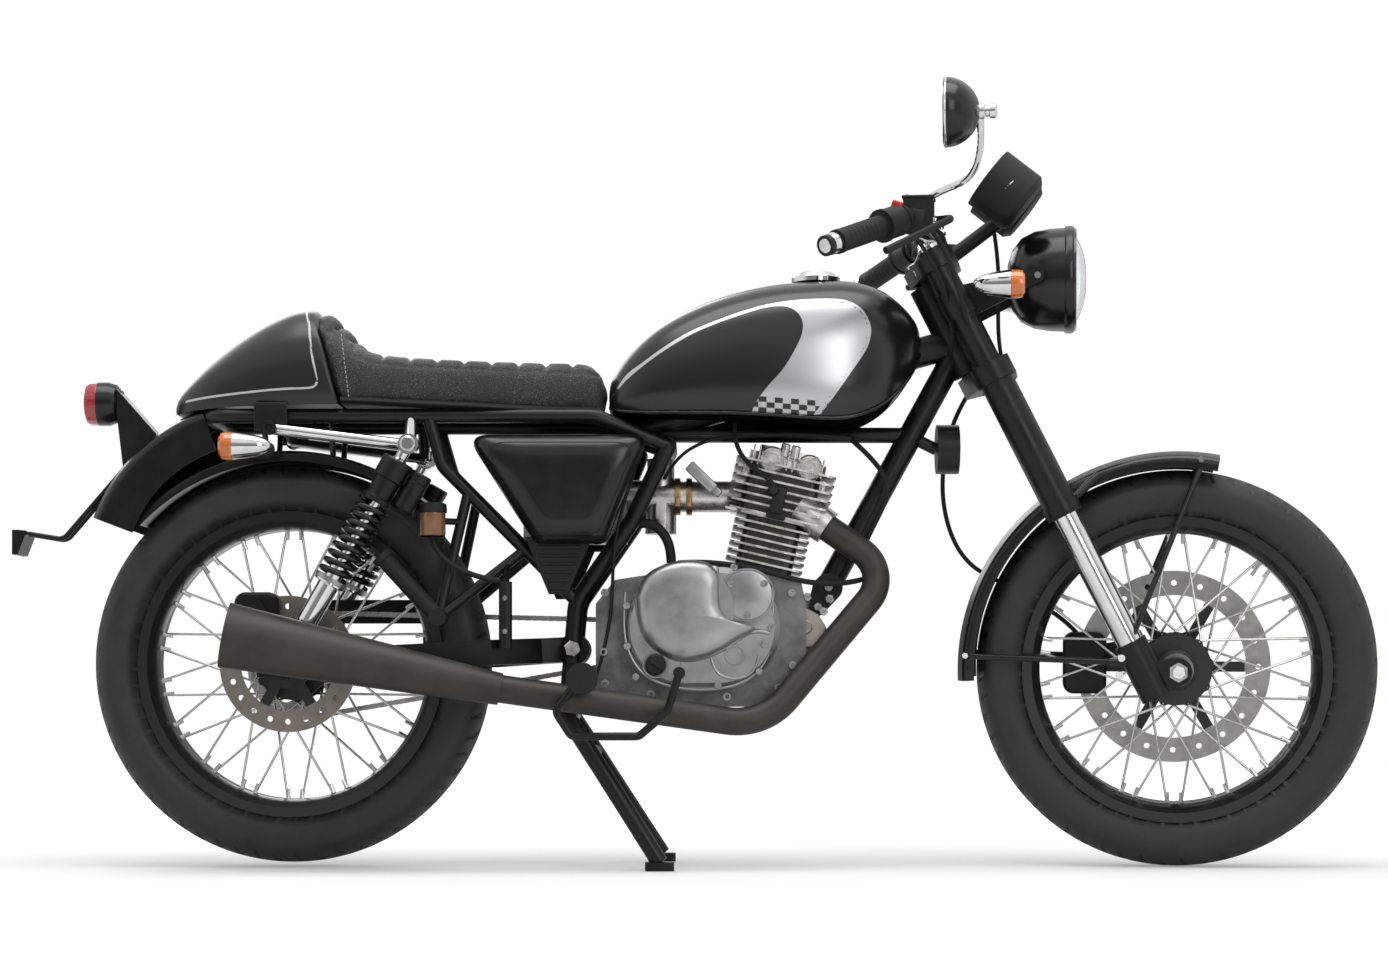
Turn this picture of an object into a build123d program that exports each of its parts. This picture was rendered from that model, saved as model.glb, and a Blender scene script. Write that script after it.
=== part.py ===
from build123d import *
from math import asin, cos, pi, radians, sin
import os

# Cafe racer motorcycle, in millimetres: X forward, Y to the rider's left, Z up.
# The origin is on the ground, midway between the rear reflector and the front tyre.

# Stance and steering geometry
front_axle_x = 744.0
tyre_radius = 306.0
rear_wheel_lift = 6.0
swingarm_pivot_x = -185.0
swingarm_pivot_z = 335.0
swingarm_reach = 435.0
rake_angle = 27.0
fork_offset = 74.0
leg_offset = 30.0
steering_rest_angle = -8.0
running_gap = 0.4
cut_overrun = 5.0

# Wheels: tyre, rim, spokes and hub
front_tyre_width = 115.0
rear_tyre_width = 128.0
tyre_bead_radius = 229.0
rim_flange_radius = 235.0
rim_well_radius = 208.0
rim_half_width = 45.0
rim_floor_half_width = 24.0
rim_wall = 5.0
spoke_radius = 1.9
spoke_groups = 9
spoke_lead_angle = 52.0
hub_flange_radius = 55.0
hub_flange_width = 5.0
hub_barrel_radius = 32.0
front_hub_half_length = 52.0
rear_hub_half_length = 58.0
spoke_flange_offset = 32.0
axle_radius = 8.5
axle_nut_radius = 15.0

# Brake discs and sprockets
front_disc_radius = 150.0
front_disc_inner_radius = 112.0
front_disc_offset = 62.0
rear_disc_radius = 104.0
rear_disc_inner_radius = 72.0
rear_disc_offset = 70.0
disc_thickness = 4.5
disc_carrier_radius = 38.0
disc_arm_width = 16.0
disc_arm_count = 6
disc_hole_radius = 4.5
disc_hole_count = 20
sprocket_radius = 83.0
sprocket_offset = 86.0
sprocket_thickness = 7.0
sprocket_tooth_count = 44
sprocket_tooth_depth = 5.0
front_sprocket_x = -84.0
front_sprocket_z = 352.0
front_sprocket_radius = 30.0
chain_width = 11.0
chain_depth = 10.0
chain_gap = 1.0
chain_pocket = 15.0
chain_link_count = 94
chain_notch_radius = 3.4

# Frame tubes, rails and mounts
head_tube_low = 514.0
head_tube_high = 665.0
head_tube_radius = 27.0
stem_radius = 16.0
stem_clearance = 0.5
backbone_radius = 23.0
backbone_head_station = 566.0
backbone_rear_x = -112.0
backbone_rear_z = 668.0
brace_radius = 12.0
brace_z = 667.0
downtube_radius = 19.0
downtube_head_station = 556.0
downtube_low_x = 206.0
downtube_low_z = 430.0
engine_plate_thickness = 6.0
engine_plate_half_gap = 34.0
engine_lug_x = 190.0
engine_lug_z = 400.0
engine_lug_radius = 13.0
tank_pad_radius = 12.0
tank_pad_share = 0.24
rail_radius = 11.0
rail_half_track = 92.0
rail_z = 688.0
rail_bend_x = -150.0
rail_rear_x = -742.0
rail_corner = 38.0
lower_rail_radius = 9.0
lower_rail_half_track = 112.0
lower_rail_rear_x = -640.0
lower_rail_rear_z = 667.0
shock_top_x = -429.0
shock_top_z = 641.0
rear_tube_radius = 13.0
rear_tube_half_track = 62.0
rear_tube_top_x = -40.0
rear_tube_top_z = 646.0
rear_tube_bend_x = -95.0
rear_tube_bend_z = 530.0
rear_tube_low_x = -180.0
rear_tube_low_z = 408.0
strut_radius = 10.0
strut_top_x = -404.0
strut_bend_x = -382.0
strut_bend_z = 612.0
peg_bracket_x = -386.0
peg_bracket_z = 381.0
bracket_stay_rear_z = 573.0
bracket_stay_front_z = 486.0

# Engine
crankcase_rear_x = -150.0
crankcase_front_x = 170.0
crankcase_low_z = 250.0
crankcase_deck_z = 452.0
crankcase_half_width = 78.0
cover_depth = 38.0
cover_edge = 9.0
clutch_cover_x = 12.0
clutch_cover_z = 366.0
clutch_cover_half_length = 118.0
clutch_cover_half_height = 92.0
clutch_dome_x = -10.0
clutch_dome_z = 393.0
clutch_dome_radius = 70.0
filter_cap_x = 80.0
filter_cap_z = 415.0
filter_cap_radius = 41.0
oil_cap_x = -58.0
oil_cap_z = 310.0
oil_cap_radius = 15.0
starter_x = 180.0
starter_z = 346.0
starter_radius = 30.0
starter_half_length = 62.0
cylinder_lean_angle = 13.0
cylinder_base_x = 104.0
barrel_half_length = 60.0
barrel_half_width = 62.0
barrel_height = 86.0
barrel_fin_count = 8
barrel_core_share = 0.74
head_half_length = 78.0
head_half_width = 74.0
head_height = 80.0
head_fin_count = 7
fin_thickness = 3.2
fin_corner = 16.0
head_cover_height = 26.0
head_cover_half_length = 48.0
head_cover_half_width = 56.0
intake_radius = 24.0
intake_rear_x = -52.0
intake_z = 572.0
carburettor_half_length = 26.0
carburettor_radius = 30.0
carburettor_bowl_drop = 58.0
air_box_front_x = -104.0
air_box_rear_x = -262.0
air_box_half_width = 46.0
air_box_low_z = 500.0
air_box_high_z = 660.0

# Exhaust, each bend place with its distance to the right of the centre plane
header_radius = 21.0
header_port_x = 204.0
header_port_z = 521.0
header_port_y = 46.0
header_port_radius = 27.0
header_front_x = 302.0
header_front_z = 452.0
header_front_y = 60.0
header_low_x = 104.0
header_low_z = 218.0
header_low_y = 132.0
header_front_bend = 55.0
header_low_bend = 100.0
muffler_front_radius = 24.0
muffler_rear_radius = 49.0
muffler_front_x = -289.0
muffler_front_z = 273.0
muffler_front_y = 165.0
muffler_rear_x = -694.0
muffler_rear_z = 353.0
muffler_rear_y = 200.0
muffler_wall = 3.0
muffler_recess = 60.0

# Fuel tank
tank_rear_x = -132.0
tank_length = 482.0
tank_base_z = 688.0
tank_height = 215.0
tank_half_width = 135.0
tank_tunnel_half_width = 40.0
tank_cap_x = 188.0
tank_cap_radius = 38.0
tank_cap_height = 16.0
# Columns: distance from the rear tip over the length, floor, roof, half width
tank_section_shares = (
    (0.000, 0.030, 0.270, 0.62),
    (0.120, 0.020, 0.600, 0.80),
    (0.300, 0.000, 0.855, 0.93),
    (0.540, 0.000, 0.975, 1.00),
    (0.770, 0.000, 1.000, 0.96),
    (0.905, 0.170, 0.880, 0.72),
    (0.985, 0.400, 0.700, 0.36),
)
# Columns: distance from the centre plane over the half width, height over the section's height
tank_outline_shares = ((0.86, 0.0), (1.0, 0.34), (0.95, 0.62), (0.78, 0.82), (0.50, 0.95), (0.0, 1.0))
pad_outline_shares = ((0.97, 0.0), (1.0, 0.4), (0.98, 0.74), (0.93, 0.90), (0.80, 0.97), (0.0, 1.0))
cowl_outline_shares = ((0.96, 0.0), (1.0, 0.22), (0.97, 0.48), (0.86, 0.72), (0.60, 0.91), (0.0, 1.0))

# Saddle pad, hump and tail cowl
saddle_front_gap = 2.0
seat_gap = 0.3
saddle_length = 404.0
saddle_height = 74.0
saddle_half_width = 122.0
hump_lean_angle = 15.0
hump_height = 158.0
saddle_channel_radius = 4.0
saddle_channel_pitch = 41.0
saddle_channel_count = 7
saddle_channel_front_x = -186.0
# Columns: distance from the front end over the length, floor, roof, half width
saddle_section_shares = (
    (0.000, 0.05, 0.95, 0.60),
    (0.300, 0.00, 0.90, 0.82),
    (0.620, 0.00, 0.94, 0.98),
    (0.890, 0.00, 1.16, 1.00),
    (0.960, 0.00, 1.50, 0.98),
)
cowl_length = 262.0
# Columns: distance from the joint over the length, height and half width over those of the joint
cowl_section_shares = (
    (0.32, 0.92, 0.98),
    (0.62, 0.72, 0.86),
    (0.86, 0.42, 0.66),
    (0.99, 0.10, 0.40),
)
side_panel_inner_y = 98.0
side_panel_depth = 50.0
# Columns: depth of each layer over the whole depth, slope of its edge in degrees
side_panel_layer_shares = ((0.34, 9.0), (0.36, 34.0), (0.30, 58.0))
side_panel_front_x = -68.0
side_panel_rear_x = -344.0
side_panel_low_front_x = -130.0
side_panel_low_rear_x = -241.0
side_panel_high_z = 661.0
side_panel_low_z = 490.0
side_panel_corner = 18.0
lower_cover_half_top = 52.0
lower_cover_half_low = 15.0
lower_cover_high_z = 504.0
lower_cover_low_z = 416.0
lower_cover_x = -205.0
lower_cover_depth = 14.0
lower_cover_rib_count = 5

# Rear mudguards, lamp and plate arm
guard_centre_x = -653.0
guard_centre_z = 434.0
guard_radius = 286.0
guard_skirt_depth = 70.0
guard_half_width = 84.0
guard_wall = 4.0
guard_corner = 30.0
guard_start_angle = 110.0
guard_end_angle = 159.0
inner_guard_radius = 322.0
inner_guard_half_width = 70.0
inner_guard_start_angle = 52.0
inner_guard_end_angle = 138.0
inner_guard_stay_angles = (78.0, 96.0)
tail_lamp_x = -914.0
tail_lamp_z = 716.0
tail_lamp_radius = 34.0
tail_lamp_length = 56.0
tail_lens_length = 22.0
tail_bracket_half_width = 26.0
tail_bracket_thickness = 4.0
tail_bracket_foot_angle = 127.0
tail_bracket_heel_angle = 142.0
plate_arm_radius = 4.0
plate_arm_low_x = -975.0
plate_arm_low_z = 505.0
plate_arm_end_x = -1030.0
plate_arm_end_z = 514.0
reflector_x = -1050.0
reflector_z = 500.0
reflector_height = 38.0
reflector_half_width = 32.0
reflector_thickness = 9.0
indicator_radius = 22.0
indicator_length = 78.0
indicator_stem_share = 0.86
indicator_stem_radius = 6.0
rear_indicator_x = -710.0
rear_indicator_z = 636.0
rear_indicator_y = 160.0
front_indicator_x = 514.0
front_indicator_z = 888.0
front_indicator_y = 142.0

# Suspension and drive
swingarm_half_track = 116.0
swingarm_arm_width = 22.0
swingarm_arm_height = 38.0
swingarm_pivot_radius = 24.0
swingarm_pivot_half_length = 47.0
shock_half_track = 134.0
shock_low_x = -592.0
shock_low_z = 355.0
shock_eye_radius = 17.0
shock_eye_width = 22.0
shock_pin_radius = 6.0
shock_cap_radius = 24.0
shock_cap_length = 74.0
shock_body_radius = 17.0
spring_radius = 27.0
spring_length = 176.0
spring_coil_count = 10
reservoir_radius = 17.0
reservoir_length = 62.0
reservoir_offset = 40.0
chain_guard_front_x = -410.0
chain_guard_rear_x = -642.0
chain_guard_z = 412.0
chain_guard_width = 17.0
chain_guard_depth = 34.0
chain_guard_wall = 3.0

# Pegs, pedals and controls on the frame
rider_peg_x = -163.0
rider_peg_z = 288.0
rider_peg_inner_y = 188.0
rider_peg_outer_y = 262.0
rider_peg_radius = 18.0
rider_peg_end_radius = 23.0
peg_arm_radius = 9.0
peg_arm_bend_y = 118.0
right_peg_arm_z = 304.0
left_peg_arm_z = 272.0
passenger_peg_end_x = -466.0
passenger_peg_end_z = 468.0
passenger_peg_radius = 13.0
passenger_peg_y = 124.0
peg_bracket_y = 112.0
pedal_pad_x = -22.0
pedal_pad_z = 297.0
pedal_y = 190.0
pedal_low_z = 203.0
pedal_bar_radius = 6.0
pedal_pivot_x = -206.0
pedal_pivot_z = 240.0
gear_shaft_x = -72.0
gear_shaft_z = 296.0
gear_lever_y = 158.0
gear_pad_x = 34.0
gear_pad_z = 304.0
gear_pad_length = 48.0
fluid_reservoir_x = -394.0
fluid_reservoir_z = 527.0
fluid_reservoir_radius = 19.0
fluid_reservoir_height = 48.0
fluid_reservoir_y = 122.0
rear_master_y = 126.0
rear_master_x = -284.0
rear_master_z = 385.0
rear_master_length = 100.0
rear_master_radius = 10.0
horn_x = 375.0
horn_z = 645.0
horn_radius = 38.0
horn_depth = 34.0

# Fork, along the steering axis from the level of the front axle's height
fork_leg_half_track = 95.0
fork_foot_low = -58.0
fork_foot_high = 35.0
stanchion_high = 255.0
stanchion_radius = 20.5
foot_radius = 25.0
outer_tube_radius = 26.0
lower_clamp_height = 30.0
lower_clamp_centre = 494.0
upper_tube_radius = 21.0
upper_clamp_height = 24.0
upper_clamp_centre = 682.0
clamp_boss_radius = 33.0
clamp_stem_boss_radius = 24.0
fork_cap_height = 8.0
ear_station = 116.0
front_stay_angle = 84.0
rear_stay_angle = 176.0
guard_bridge_angle = 112.0
guard_bridge_station = 262.0
front_guard_radius = 334.0
front_guard_half_width = 66.0
front_guard_wall = 4.0
front_guard_lip = 26.0
front_guard_start_angle = 79.0
front_guard_end_angle = 183.0
guard_stay_radius = 4.5

# Handlebar, grips and mirror
bar_radius = 11.0
bar_centre_x = 372.0
bar_centre_z = 962.0
bar_clamp_half_track = 45.0
bar_bend_y = 96.0
grip_inner_x = 335.0
grip_inner_y = 228.0
grip_inner_z = 978.0
grip_outer_x = 246.0
grip_outer_y = 344.0
grip_outer_z = 934.0
grip_radius = 16.5
bar_end_radius = 15.0
bar_end_length = 26.0
switch_radius = 23.0
switch_length = 34.0
lever_radius = 5.5
brake_master_half_x = 22.0
brake_master_half_y = 28.0
brake_master_height = 40.0
mirror_x = 398.0
mirror_y = 318.0
mirror_z = 1118.0
mirror_half_width = 62.0
mirror_half_height = 51.0
mirror_depth = 52.0
mirror_stem_radius = 6.5
instrument_radius = 49.0
instrument_depth = 72.0
instrument_half_track = 58.0
instrument_x = 484.0
instrument_z = 1034.0
instrument_tilt_angle = 38.0

# Headlight
headlight_x = 578.0
headlight_z = 905.0
headlight_radius = 82.0
headlight_shell_depth = 94.0
headlight_rim_depth = 14.0
headlight_rim_wall = 6.0
headlight_lens_bulge = 30.0
headlight_ear_thickness = 6.0

# Front brake
front_caliper_x = 606.0
front_caliper_z = 312.0
front_caliper_half_height = 48.0
front_caliper_half_length = 34.0
front_caliper_half_width = 24.0
disc_clearance = 3.0

# Rear caliper
rear_caliper_angle = 118.0
rear_caliper_half_height = 24.0
rear_caliper_half_length = 34.0
rear_caliper_half_width = 22.0

# Centre stand
stand_pivot_x = -195.0
stand_pivot_z = 236.0
stand_foot_x = -52.0
stand_leg_radius = 13.0
stand_pivot_half_track = 93.0
stand_eye_length = 26.0
stand_foot_half_track = 128.0
stand_foot_length = 44.0
stand_pivot_radius = 17.0
stand_pin_radius = 9.0
stand_cross_share = 0.27

# Places that follow from the sizes above
rear_axle_z = tyre_radius + rear_wheel_lift
rear_axle_x = swingarm_pivot_x - (swingarm_reach**2 - (swingarm_pivot_z - rear_axle_z) ** 2) ** 0.5
rake = radians(rake_angle)
steering_up = Vector(-sin(rake), 0, cos(rake))
steering_forward = Vector(cos(rake), 0, sin(rake))
front_axle = Vector(front_axle_x, 0, tyre_radius)
steering_foot = Vector(front_axle_x - fork_offset / cos(rake), 0, tyre_radius)
rear_axle = Vector(rear_axle_x, 0, rear_axle_z)
steering_axis = Axis((steering_foot.X, steering_foot.Y, steering_foot.Z), (steering_up.X, 0, steering_up.Z))
pieces = {}
steered_pieces = {}


def on_fork(station, forward=0, left=0):
    """A place by its distance up the steering axis, ahead of it and to the left."""
    return steering_foot + steering_up * station + steering_forward * forward + Vector(0, left, 0)


def around(axle, radius, angle, left=0):
    """A place on a circle about an axle, its angle measured from straight ahead upwards."""
    return axle + Vector(radius * cos(radians(angle)), left, radius * sin(radians(angle)))


def rod(start, end, radius, mode=Mode.ADD):
    """A round bar from one place to another, in the piece being built."""
    run = Vector(end) - Vector(start)
    with Locations(Plane(origin=start, z_dir=run)):
        Cylinder(radius, run.length, align=(Align.CENTER, Align.CENTER, Align.MIN), mode=mode)


def bent_tube(places, bend, radius):
    """A round tube along straight runs joined by arcs, in the piece being built."""
    with BuildLine() as route:
        FilletPolyline(*places, radius=bend)
    with BuildSketch(Plane(origin=route.line @ 0, z_dir=route.line % 0)) as ring:
        Circle(radius)
    sweep(sections=ring.sketch, path=route.line)


def side_plate(places, middle, thickness, mode=Mode.ADD):
    """A flat plate whose outline is given as (x, z), centred at a distance to the left."""
    with BuildSketch(Plane.XZ.offset(-middle)) as outline:
        with BuildLine():
            Polyline(*places, close=True)
        make_face()
    extrude(to_extrude=outline.sketch, amount=thickness / 2, both=True, mode=mode)


def link_plate(places, radii, middle, thickness):
    """A plate that wraps round bosses given as (x, z) with a radius each."""
    with BuildSketch(Plane.XZ.offset(-middle)) as outline:
        for place, radius in zip(places, radii):
            with Locations(place):
                Circle(radius)
        make_hull()
    extrude(to_extrude=outline.sketch, amount=thickness / 2, both=True)


def body_section(plane, half_width, height, shares):
    """A closed outline with a flat floor, bowed sides, round shoulders and a crowned top."""
    right = [Vector(half_width * across, height * up) for across, up in shares]
    left = [Vector(-place.X, place.Y) for place in right]
    with BuildSketch(plane) as outline:
        with BuildLine():
            Line(left[0], right[0])
            ThreePointArc(right[0], right[1], right[2])
            ThreePointArc(right[2], right[3], right[4])
            ThreePointArc(right[4], right[5], left[4])
            ThreePointArc(left[4], left[3], left[2])
            ThreePointArc(left[2], left[1], left[0])
        make_face()
    return outline.sketch


def upright_plane(x, z, lean=0):
    """A plane across the machine, its top leant back by an angle."""
    return Plane(origin=(x, 0, z), x_dir=(0, 1, 0), z_dir=(cos(radians(lean)), 0, sin(radians(lean))))


def built_tyre(axle, width):
    """A round-crowned tyre about an axle that runs left to right."""
    bead_half = rim_half_width - rim_wall
    shoulder = Vector(0.40 * width, tyre_radius - 0.12 * width)
    flank = Vector(width / 2, tyre_bead_radius + 0.48 * (tyre_radius - tyre_bead_radius))
    with BuildPart() as tyre:
        with BuildSketch(Plane(origin=axle, x_dir=(0, 1, 0), z_dir=(1, 0, 0))):
            with BuildLine():
                Polyline((0, tyre_bead_radius), (bead_half, tyre_bead_radius), (bead_half, rim_flange_radius))
                ThreePointArc((bead_half, rim_flange_radius), flank, shoulder)
                ThreePointArc(shoulder, (shoulder.X / 2, tyre_radius - 0.03 * width), (0, tyre_radius))
                mirror(about=Plane.YZ)
            make_face()
        revolve(axis=Axis(tuple(axle), (0, 1, 0)))
    return tyre


def built_wire_wheel(axle, hub_half_length):
    """A channel rim laced to a flanged hub with crossed spokes."""
    seat_half = rim_half_width - rim_wall
    spokes = []
    for group in range(spoke_groups):
        for side in (-1, 1):
            for lead in (-1, 1):
                hole_angle = (group + 0.25 * side + 0.125 * lead) * 360 / spoke_groups
                hole = around(
                    axle, hub_flange_radius - 3 * spoke_radius, hole_angle, side * spoke_flange_offset
                )
                nipple_angle = hole_angle + lead * spoke_lead_angle
                nipple = around(axle, rim_well_radius + rim_wall / 2, nipple_angle, side * 2 * spoke_radius)
                spokes.append((hole, nipple - hole))
    with BuildPart() as wheel:
        with BuildSketch(Plane(origin=axle, x_dir=(0, 1, 0), z_dir=(1, 0, 0))):
            with BuildLine():
                Polyline(
                    (0, rim_well_radius),
                    (rim_floor_half_width, rim_well_radius),
                    (rim_half_width, rim_flange_radius - 3 * rim_wall),
                    (rim_half_width, rim_flange_radius),
                    (seat_half, rim_flange_radius),
                    (seat_half, tyre_bead_radius),
                    (rim_floor_half_width, rim_well_radius + rim_wall),
                    (0, rim_well_radius + rim_wall),
                )
                mirror(about=Plane.YZ)
            make_face()
        revolve(axis=Axis(tuple(axle), (0, 1, 0)))
        with BuildSketch(Plane(origin=axle, x_dir=(0, 1, 0), z_dir=(1, 0, 0))):
            with BuildLine():
                flange_near = spoke_flange_offset - hub_flange_width / 2
                flange_far = spoke_flange_offset + hub_flange_width / 2
                Polyline(
                    (0, axle_radius + running_gap),
                    (hub_half_length, axle_radius + running_gap),
                    (hub_half_length, 0.8 * hub_barrel_radius),
                    (flange_far, hub_barrel_radius),
                    (flange_far, hub_flange_radius),
                    (flange_near, hub_flange_radius),
                    (flange_near, hub_barrel_radius),
                    (0, 0.85 * hub_barrel_radius),
                )
                mirror(about=Plane.YZ)
            make_face()
        revolve(axis=Axis(tuple(axle), (0, 1, 0)))
        with Locations(*[Plane(origin=hole, z_dir=run) for hole, run in spokes]):
            Cylinder(spoke_radius, spokes[0][1].length, align=(Align.CENTER, Align.CENTER, Align.MIN))
    return wheel


def built_disc(axle, side, radius, inner_radius, offset_left, hub_half_length):
    """A drilled brake disc on a carrier with arms, bolted to one end of the hub."""
    middle = Plane(origin=axle + Vector(0, side * offset_left, 0), x_dir=(1, 0, 0), z_dir=(0, -side, 0))
    with BuildPart() as disc:
        with BuildSketch(middle) as ring:
            Circle(radius)
            Circle(inner_radius, mode=Mode.SUBTRACT)
            with PolarLocations((radius + inner_radius) / 2, disc_hole_count):
                Circle(disc_hole_radius, mode=Mode.SUBTRACT)
            with PolarLocations((disc_carrier_radius + inner_radius) / 2, disc_arm_count):
                Rectangle(inner_radius - disc_carrier_radius + disc_arm_width, disc_arm_width)
            Circle(disc_carrier_radius)
            Circle(axle_nut_radius + running_gap, mode=Mode.SUBTRACT)
        extrude(amount=disc_thickness / 2, both=True)
        with BuildSketch(middle):
            Circle(0.8 * hub_barrel_radius)
            Circle(axle_nut_radius + running_gap, mode=Mode.SUBTRACT)
        extrude(amount=offset_left - hub_half_length)
    return disc


# Wheels
front_tyre = built_tyre(front_axle, front_tyre_width)
rear_tyre = built_tyre(rear_axle, rear_tyre_width)
front_rim = built_wire_wheel(front_axle, front_hub_half_length)
rear_rim = built_wire_wheel(rear_axle, rear_hub_half_length)
front_disc = built_disc(
    front_axle, 1, front_disc_radius, front_disc_inner_radius, front_disc_offset, front_hub_half_length
)
rear_disc = built_disc(
    rear_axle, -1, rear_disc_radius, rear_disc_inner_radius, rear_disc_offset, rear_hub_half_length
)
steered_pieces.update(front_tyre=front_tyre, front_rim=front_rim, front_disc=front_disc)
pieces.update(rear_tyre=rear_tyre, rear_rim=rear_rim, rear_disc=rear_disc)

# Rear sprocket, with teeth as a ring of notches
sprocket_plane = Plane(origin=rear_axle + Vector(0, sprocket_offset, 0), x_dir=(1, 0, 0), z_dir=(0, -1, 0))
tooth_pitch = 2 * pi * sprocket_radius / sprocket_tooth_count
with BuildPart() as rear_sprocket:
    with BuildSketch(sprocket_plane):
        Circle(sprocket_radius - sprocket_tooth_depth)
        with PolarLocations(sprocket_radius - sprocket_tooth_depth, sprocket_tooth_count):
            Rectangle(2 * sprocket_tooth_depth, tooth_pitch / 2)
        with PolarLocations(0.62 * sprocket_radius, disc_arm_count):
            Circle(0.17 * sprocket_radius, mode=Mode.SUBTRACT)
        Circle(axle_nut_radius + running_gap, mode=Mode.SUBTRACT)
    extrude(amount=sprocket_thickness / 2, both=True)
    with BuildSketch(sprocket_plane):
        Circle(hub_barrel_radius)
        Circle(axle_nut_radius + running_gap, mode=Mode.SUBTRACT)
    extrude(amount=sprocket_offset - rear_hub_half_length)
pieces["rear_sprocket"] = rear_sprocket

# Chain, a closed run of links round the two sprockets
front_sprocket = Vector(front_sprocket_x, 0, front_sprocket_z)
chain_plane = Plane.XZ.offset(-sprocket_offset)
with BuildPart() as chain:
    for grow, mode in ((chain_gap + chain_depth, Mode.ADD), (chain_gap, Mode.SUBTRACT)):
        with BuildSketch(chain_plane) as loop:
            with Locations((rear_axle.X, rear_axle.Z)):
                Circle(sprocket_radius + grow)
            with Locations((front_sprocket.X, front_sprocket.Z)):
                Circle(front_sprocket_radius + grow)
            make_hull()
        extrude(to_extrude=loop.sketch, amount=chain_width / 2, both=True, mode=mode)
        if mode == Mode.ADD:
            link_edge = loop.sketch.faces()[0].outer_wire()
    gaps = []
    for link in range(chain_link_count):
        gaps.append(chain_plane.to_local_coords(link_edge @ (link / chain_link_count)))
    with BuildSketch(chain_plane) as notches:
        with Locations(*[(gap.X, gap.Y) for gap in gaps]):
            Circle(chain_notch_radius)
    extrude(to_extrude=notches.sketch, amount=chain_width / 2, both=True, mode=Mode.SUBTRACT)
pieces["chain"] = chain

# Frame spine: head tube, backbone and the brace above the engine
backbone_rear = Vector(backbone_rear_x, 0, backbone_rear_z)
downtube_head = on_fork(downtube_head_station)
downtube_low = Vector(downtube_low_x, 0, downtube_low_z)
brace_share = (downtube_head.Z - brace_z) / (downtube_head.Z - downtube_low_z)
plate_reach = Vector(0, engine_plate_half_gap, 0)
tank_pad = on_fork(backbone_head_station) + (backbone_rear - on_fork(backbone_head_station)) * tank_pad_share
brace_front = downtube_head + (downtube_low - downtube_head) * brace_share
with BuildPart() as frame_spine:
    rod(on_fork(head_tube_low), on_fork(head_tube_high), head_tube_radius)
    rod(on_fork(backbone_head_station), backbone_rear, backbone_radius)
    rod(downtube_head, downtube_low, downtube_radius)
    rod(brace_front, backbone_rear, brace_radius)
    for side in (-1, 1):
        plate_y = side * (engine_plate_half_gap + engine_plate_thickness / 2)
        link_plate(
            ((downtube_low_x, downtube_low_z), (engine_lug_x, engine_lug_z)),
            (downtube_radius + engine_plate_thickness / 2, engine_lug_radius),
            plate_y,
            engine_plate_thickness,
        )
    rod(downtube_low - plate_reach, downtube_low + plate_reach, engine_lug_radius)
    for side in (-1, 1):
        rod(tank_pad, tank_pad + Vector(0, side * (tank_tunnel_half_width - seat_gap), 0), tank_pad_radius)
    bore_low = on_fork(head_tube_low - cut_overrun)
    rod(bore_low, on_fork(head_tube_high + cut_overrun), stem_radius + stem_clearance, Mode.SUBTRACT)
pieces["frame_spine"] = frame_spine

# Rear frame tubes with the stand's pivot brackets
with BuildPart() as rear_tubes:
    for side in (-1, 1):
        tube_y = side * rear_tube_half_track
        bent_tube(
            (
                (rear_tube_top_x, tube_y, rear_tube_top_z),
                (rear_tube_bend_x, tube_y, rear_tube_bend_z),
                (rear_tube_low_x, tube_y, rear_tube_low_z),
                (stand_pivot_x, tube_y, stand_pivot_z),
            ),
            4 * rear_tube_radius,
            rear_tube_radius,
        )
    for place_x, place_z, radius in (
        (rear_tube_top_x, rear_tube_top_z, rear_tube_radius),
        (stand_pivot_x, stand_pivot_z, stand_pivot_radius),
    ):
        rod((place_x, -rear_tube_half_track, place_z), (place_x, rear_tube_half_track, place_z), radius)
    rod(
        (stand_pivot_x, -rear_tube_half_track - 2 * rear_tube_radius, stand_pivot_z),
        (stand_pivot_x, rear_tube_half_track + 2 * rear_tube_radius, stand_pivot_z),
        stand_pin_radius + running_gap,
        Mode.SUBTRACT,
    )
    rod(
        (swingarm_pivot_x, -rear_tube_half_track - 2 * rear_tube_radius, swingarm_pivot_z),
        (swingarm_pivot_x, rear_tube_half_track + 2 * rear_tube_radius, swingarm_pivot_z),
        axle_radius,
        Mode.SUBTRACT,
    )
    add(frame_spine.part, mode=Mode.SUBTRACT)
pieces["rear_tubes"] = rear_tubes

# Rails under the saddle, with the chrome lower rails and the stays of the passenger pegs
with BuildPart() as rails:
    bent_tube(
        (
            (rear_tube_top_x, rear_tube_half_track, rear_tube_top_z),
            (rail_bend_x, rail_half_track, rail_z),
            (rail_rear_x, rail_half_track, rail_z),
            (rail_rear_x, -rail_half_track, rail_z),
            (rail_bend_x, -rail_half_track, rail_z),
            (rear_tube_top_x, -rear_tube_half_track, rear_tube_top_z),
        ),
        rail_corner,
        rail_radius,
    )
    for side in (-1, 1):
        low_y = side * lower_rail_half_track
        rod(
            (lower_rail_rear_x, low_y, lower_rail_rear_z),
            (shock_top_x, low_y, shock_top_z),
            lower_rail_radius,
        )
        for x, z in ((lower_rail_rear_x, lower_rail_rear_z), (shock_top_x, shock_top_z)):
            rod((x, side * rail_half_track, rail_z), (x, low_y, z), lower_rail_radius)
        pin_end = side * (shock_half_track + shock_eye_width / 2)
        rod((shock_top_x, low_y, shock_top_z), (shock_top_x, pin_end, shock_top_z), shock_pin_radius)
    add(rear_tubes.part, mode=Mode.SUBTRACT)
    add(frame_spine.part, mode=Mode.SUBTRACT)
pieces["rails"] = rails


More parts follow.
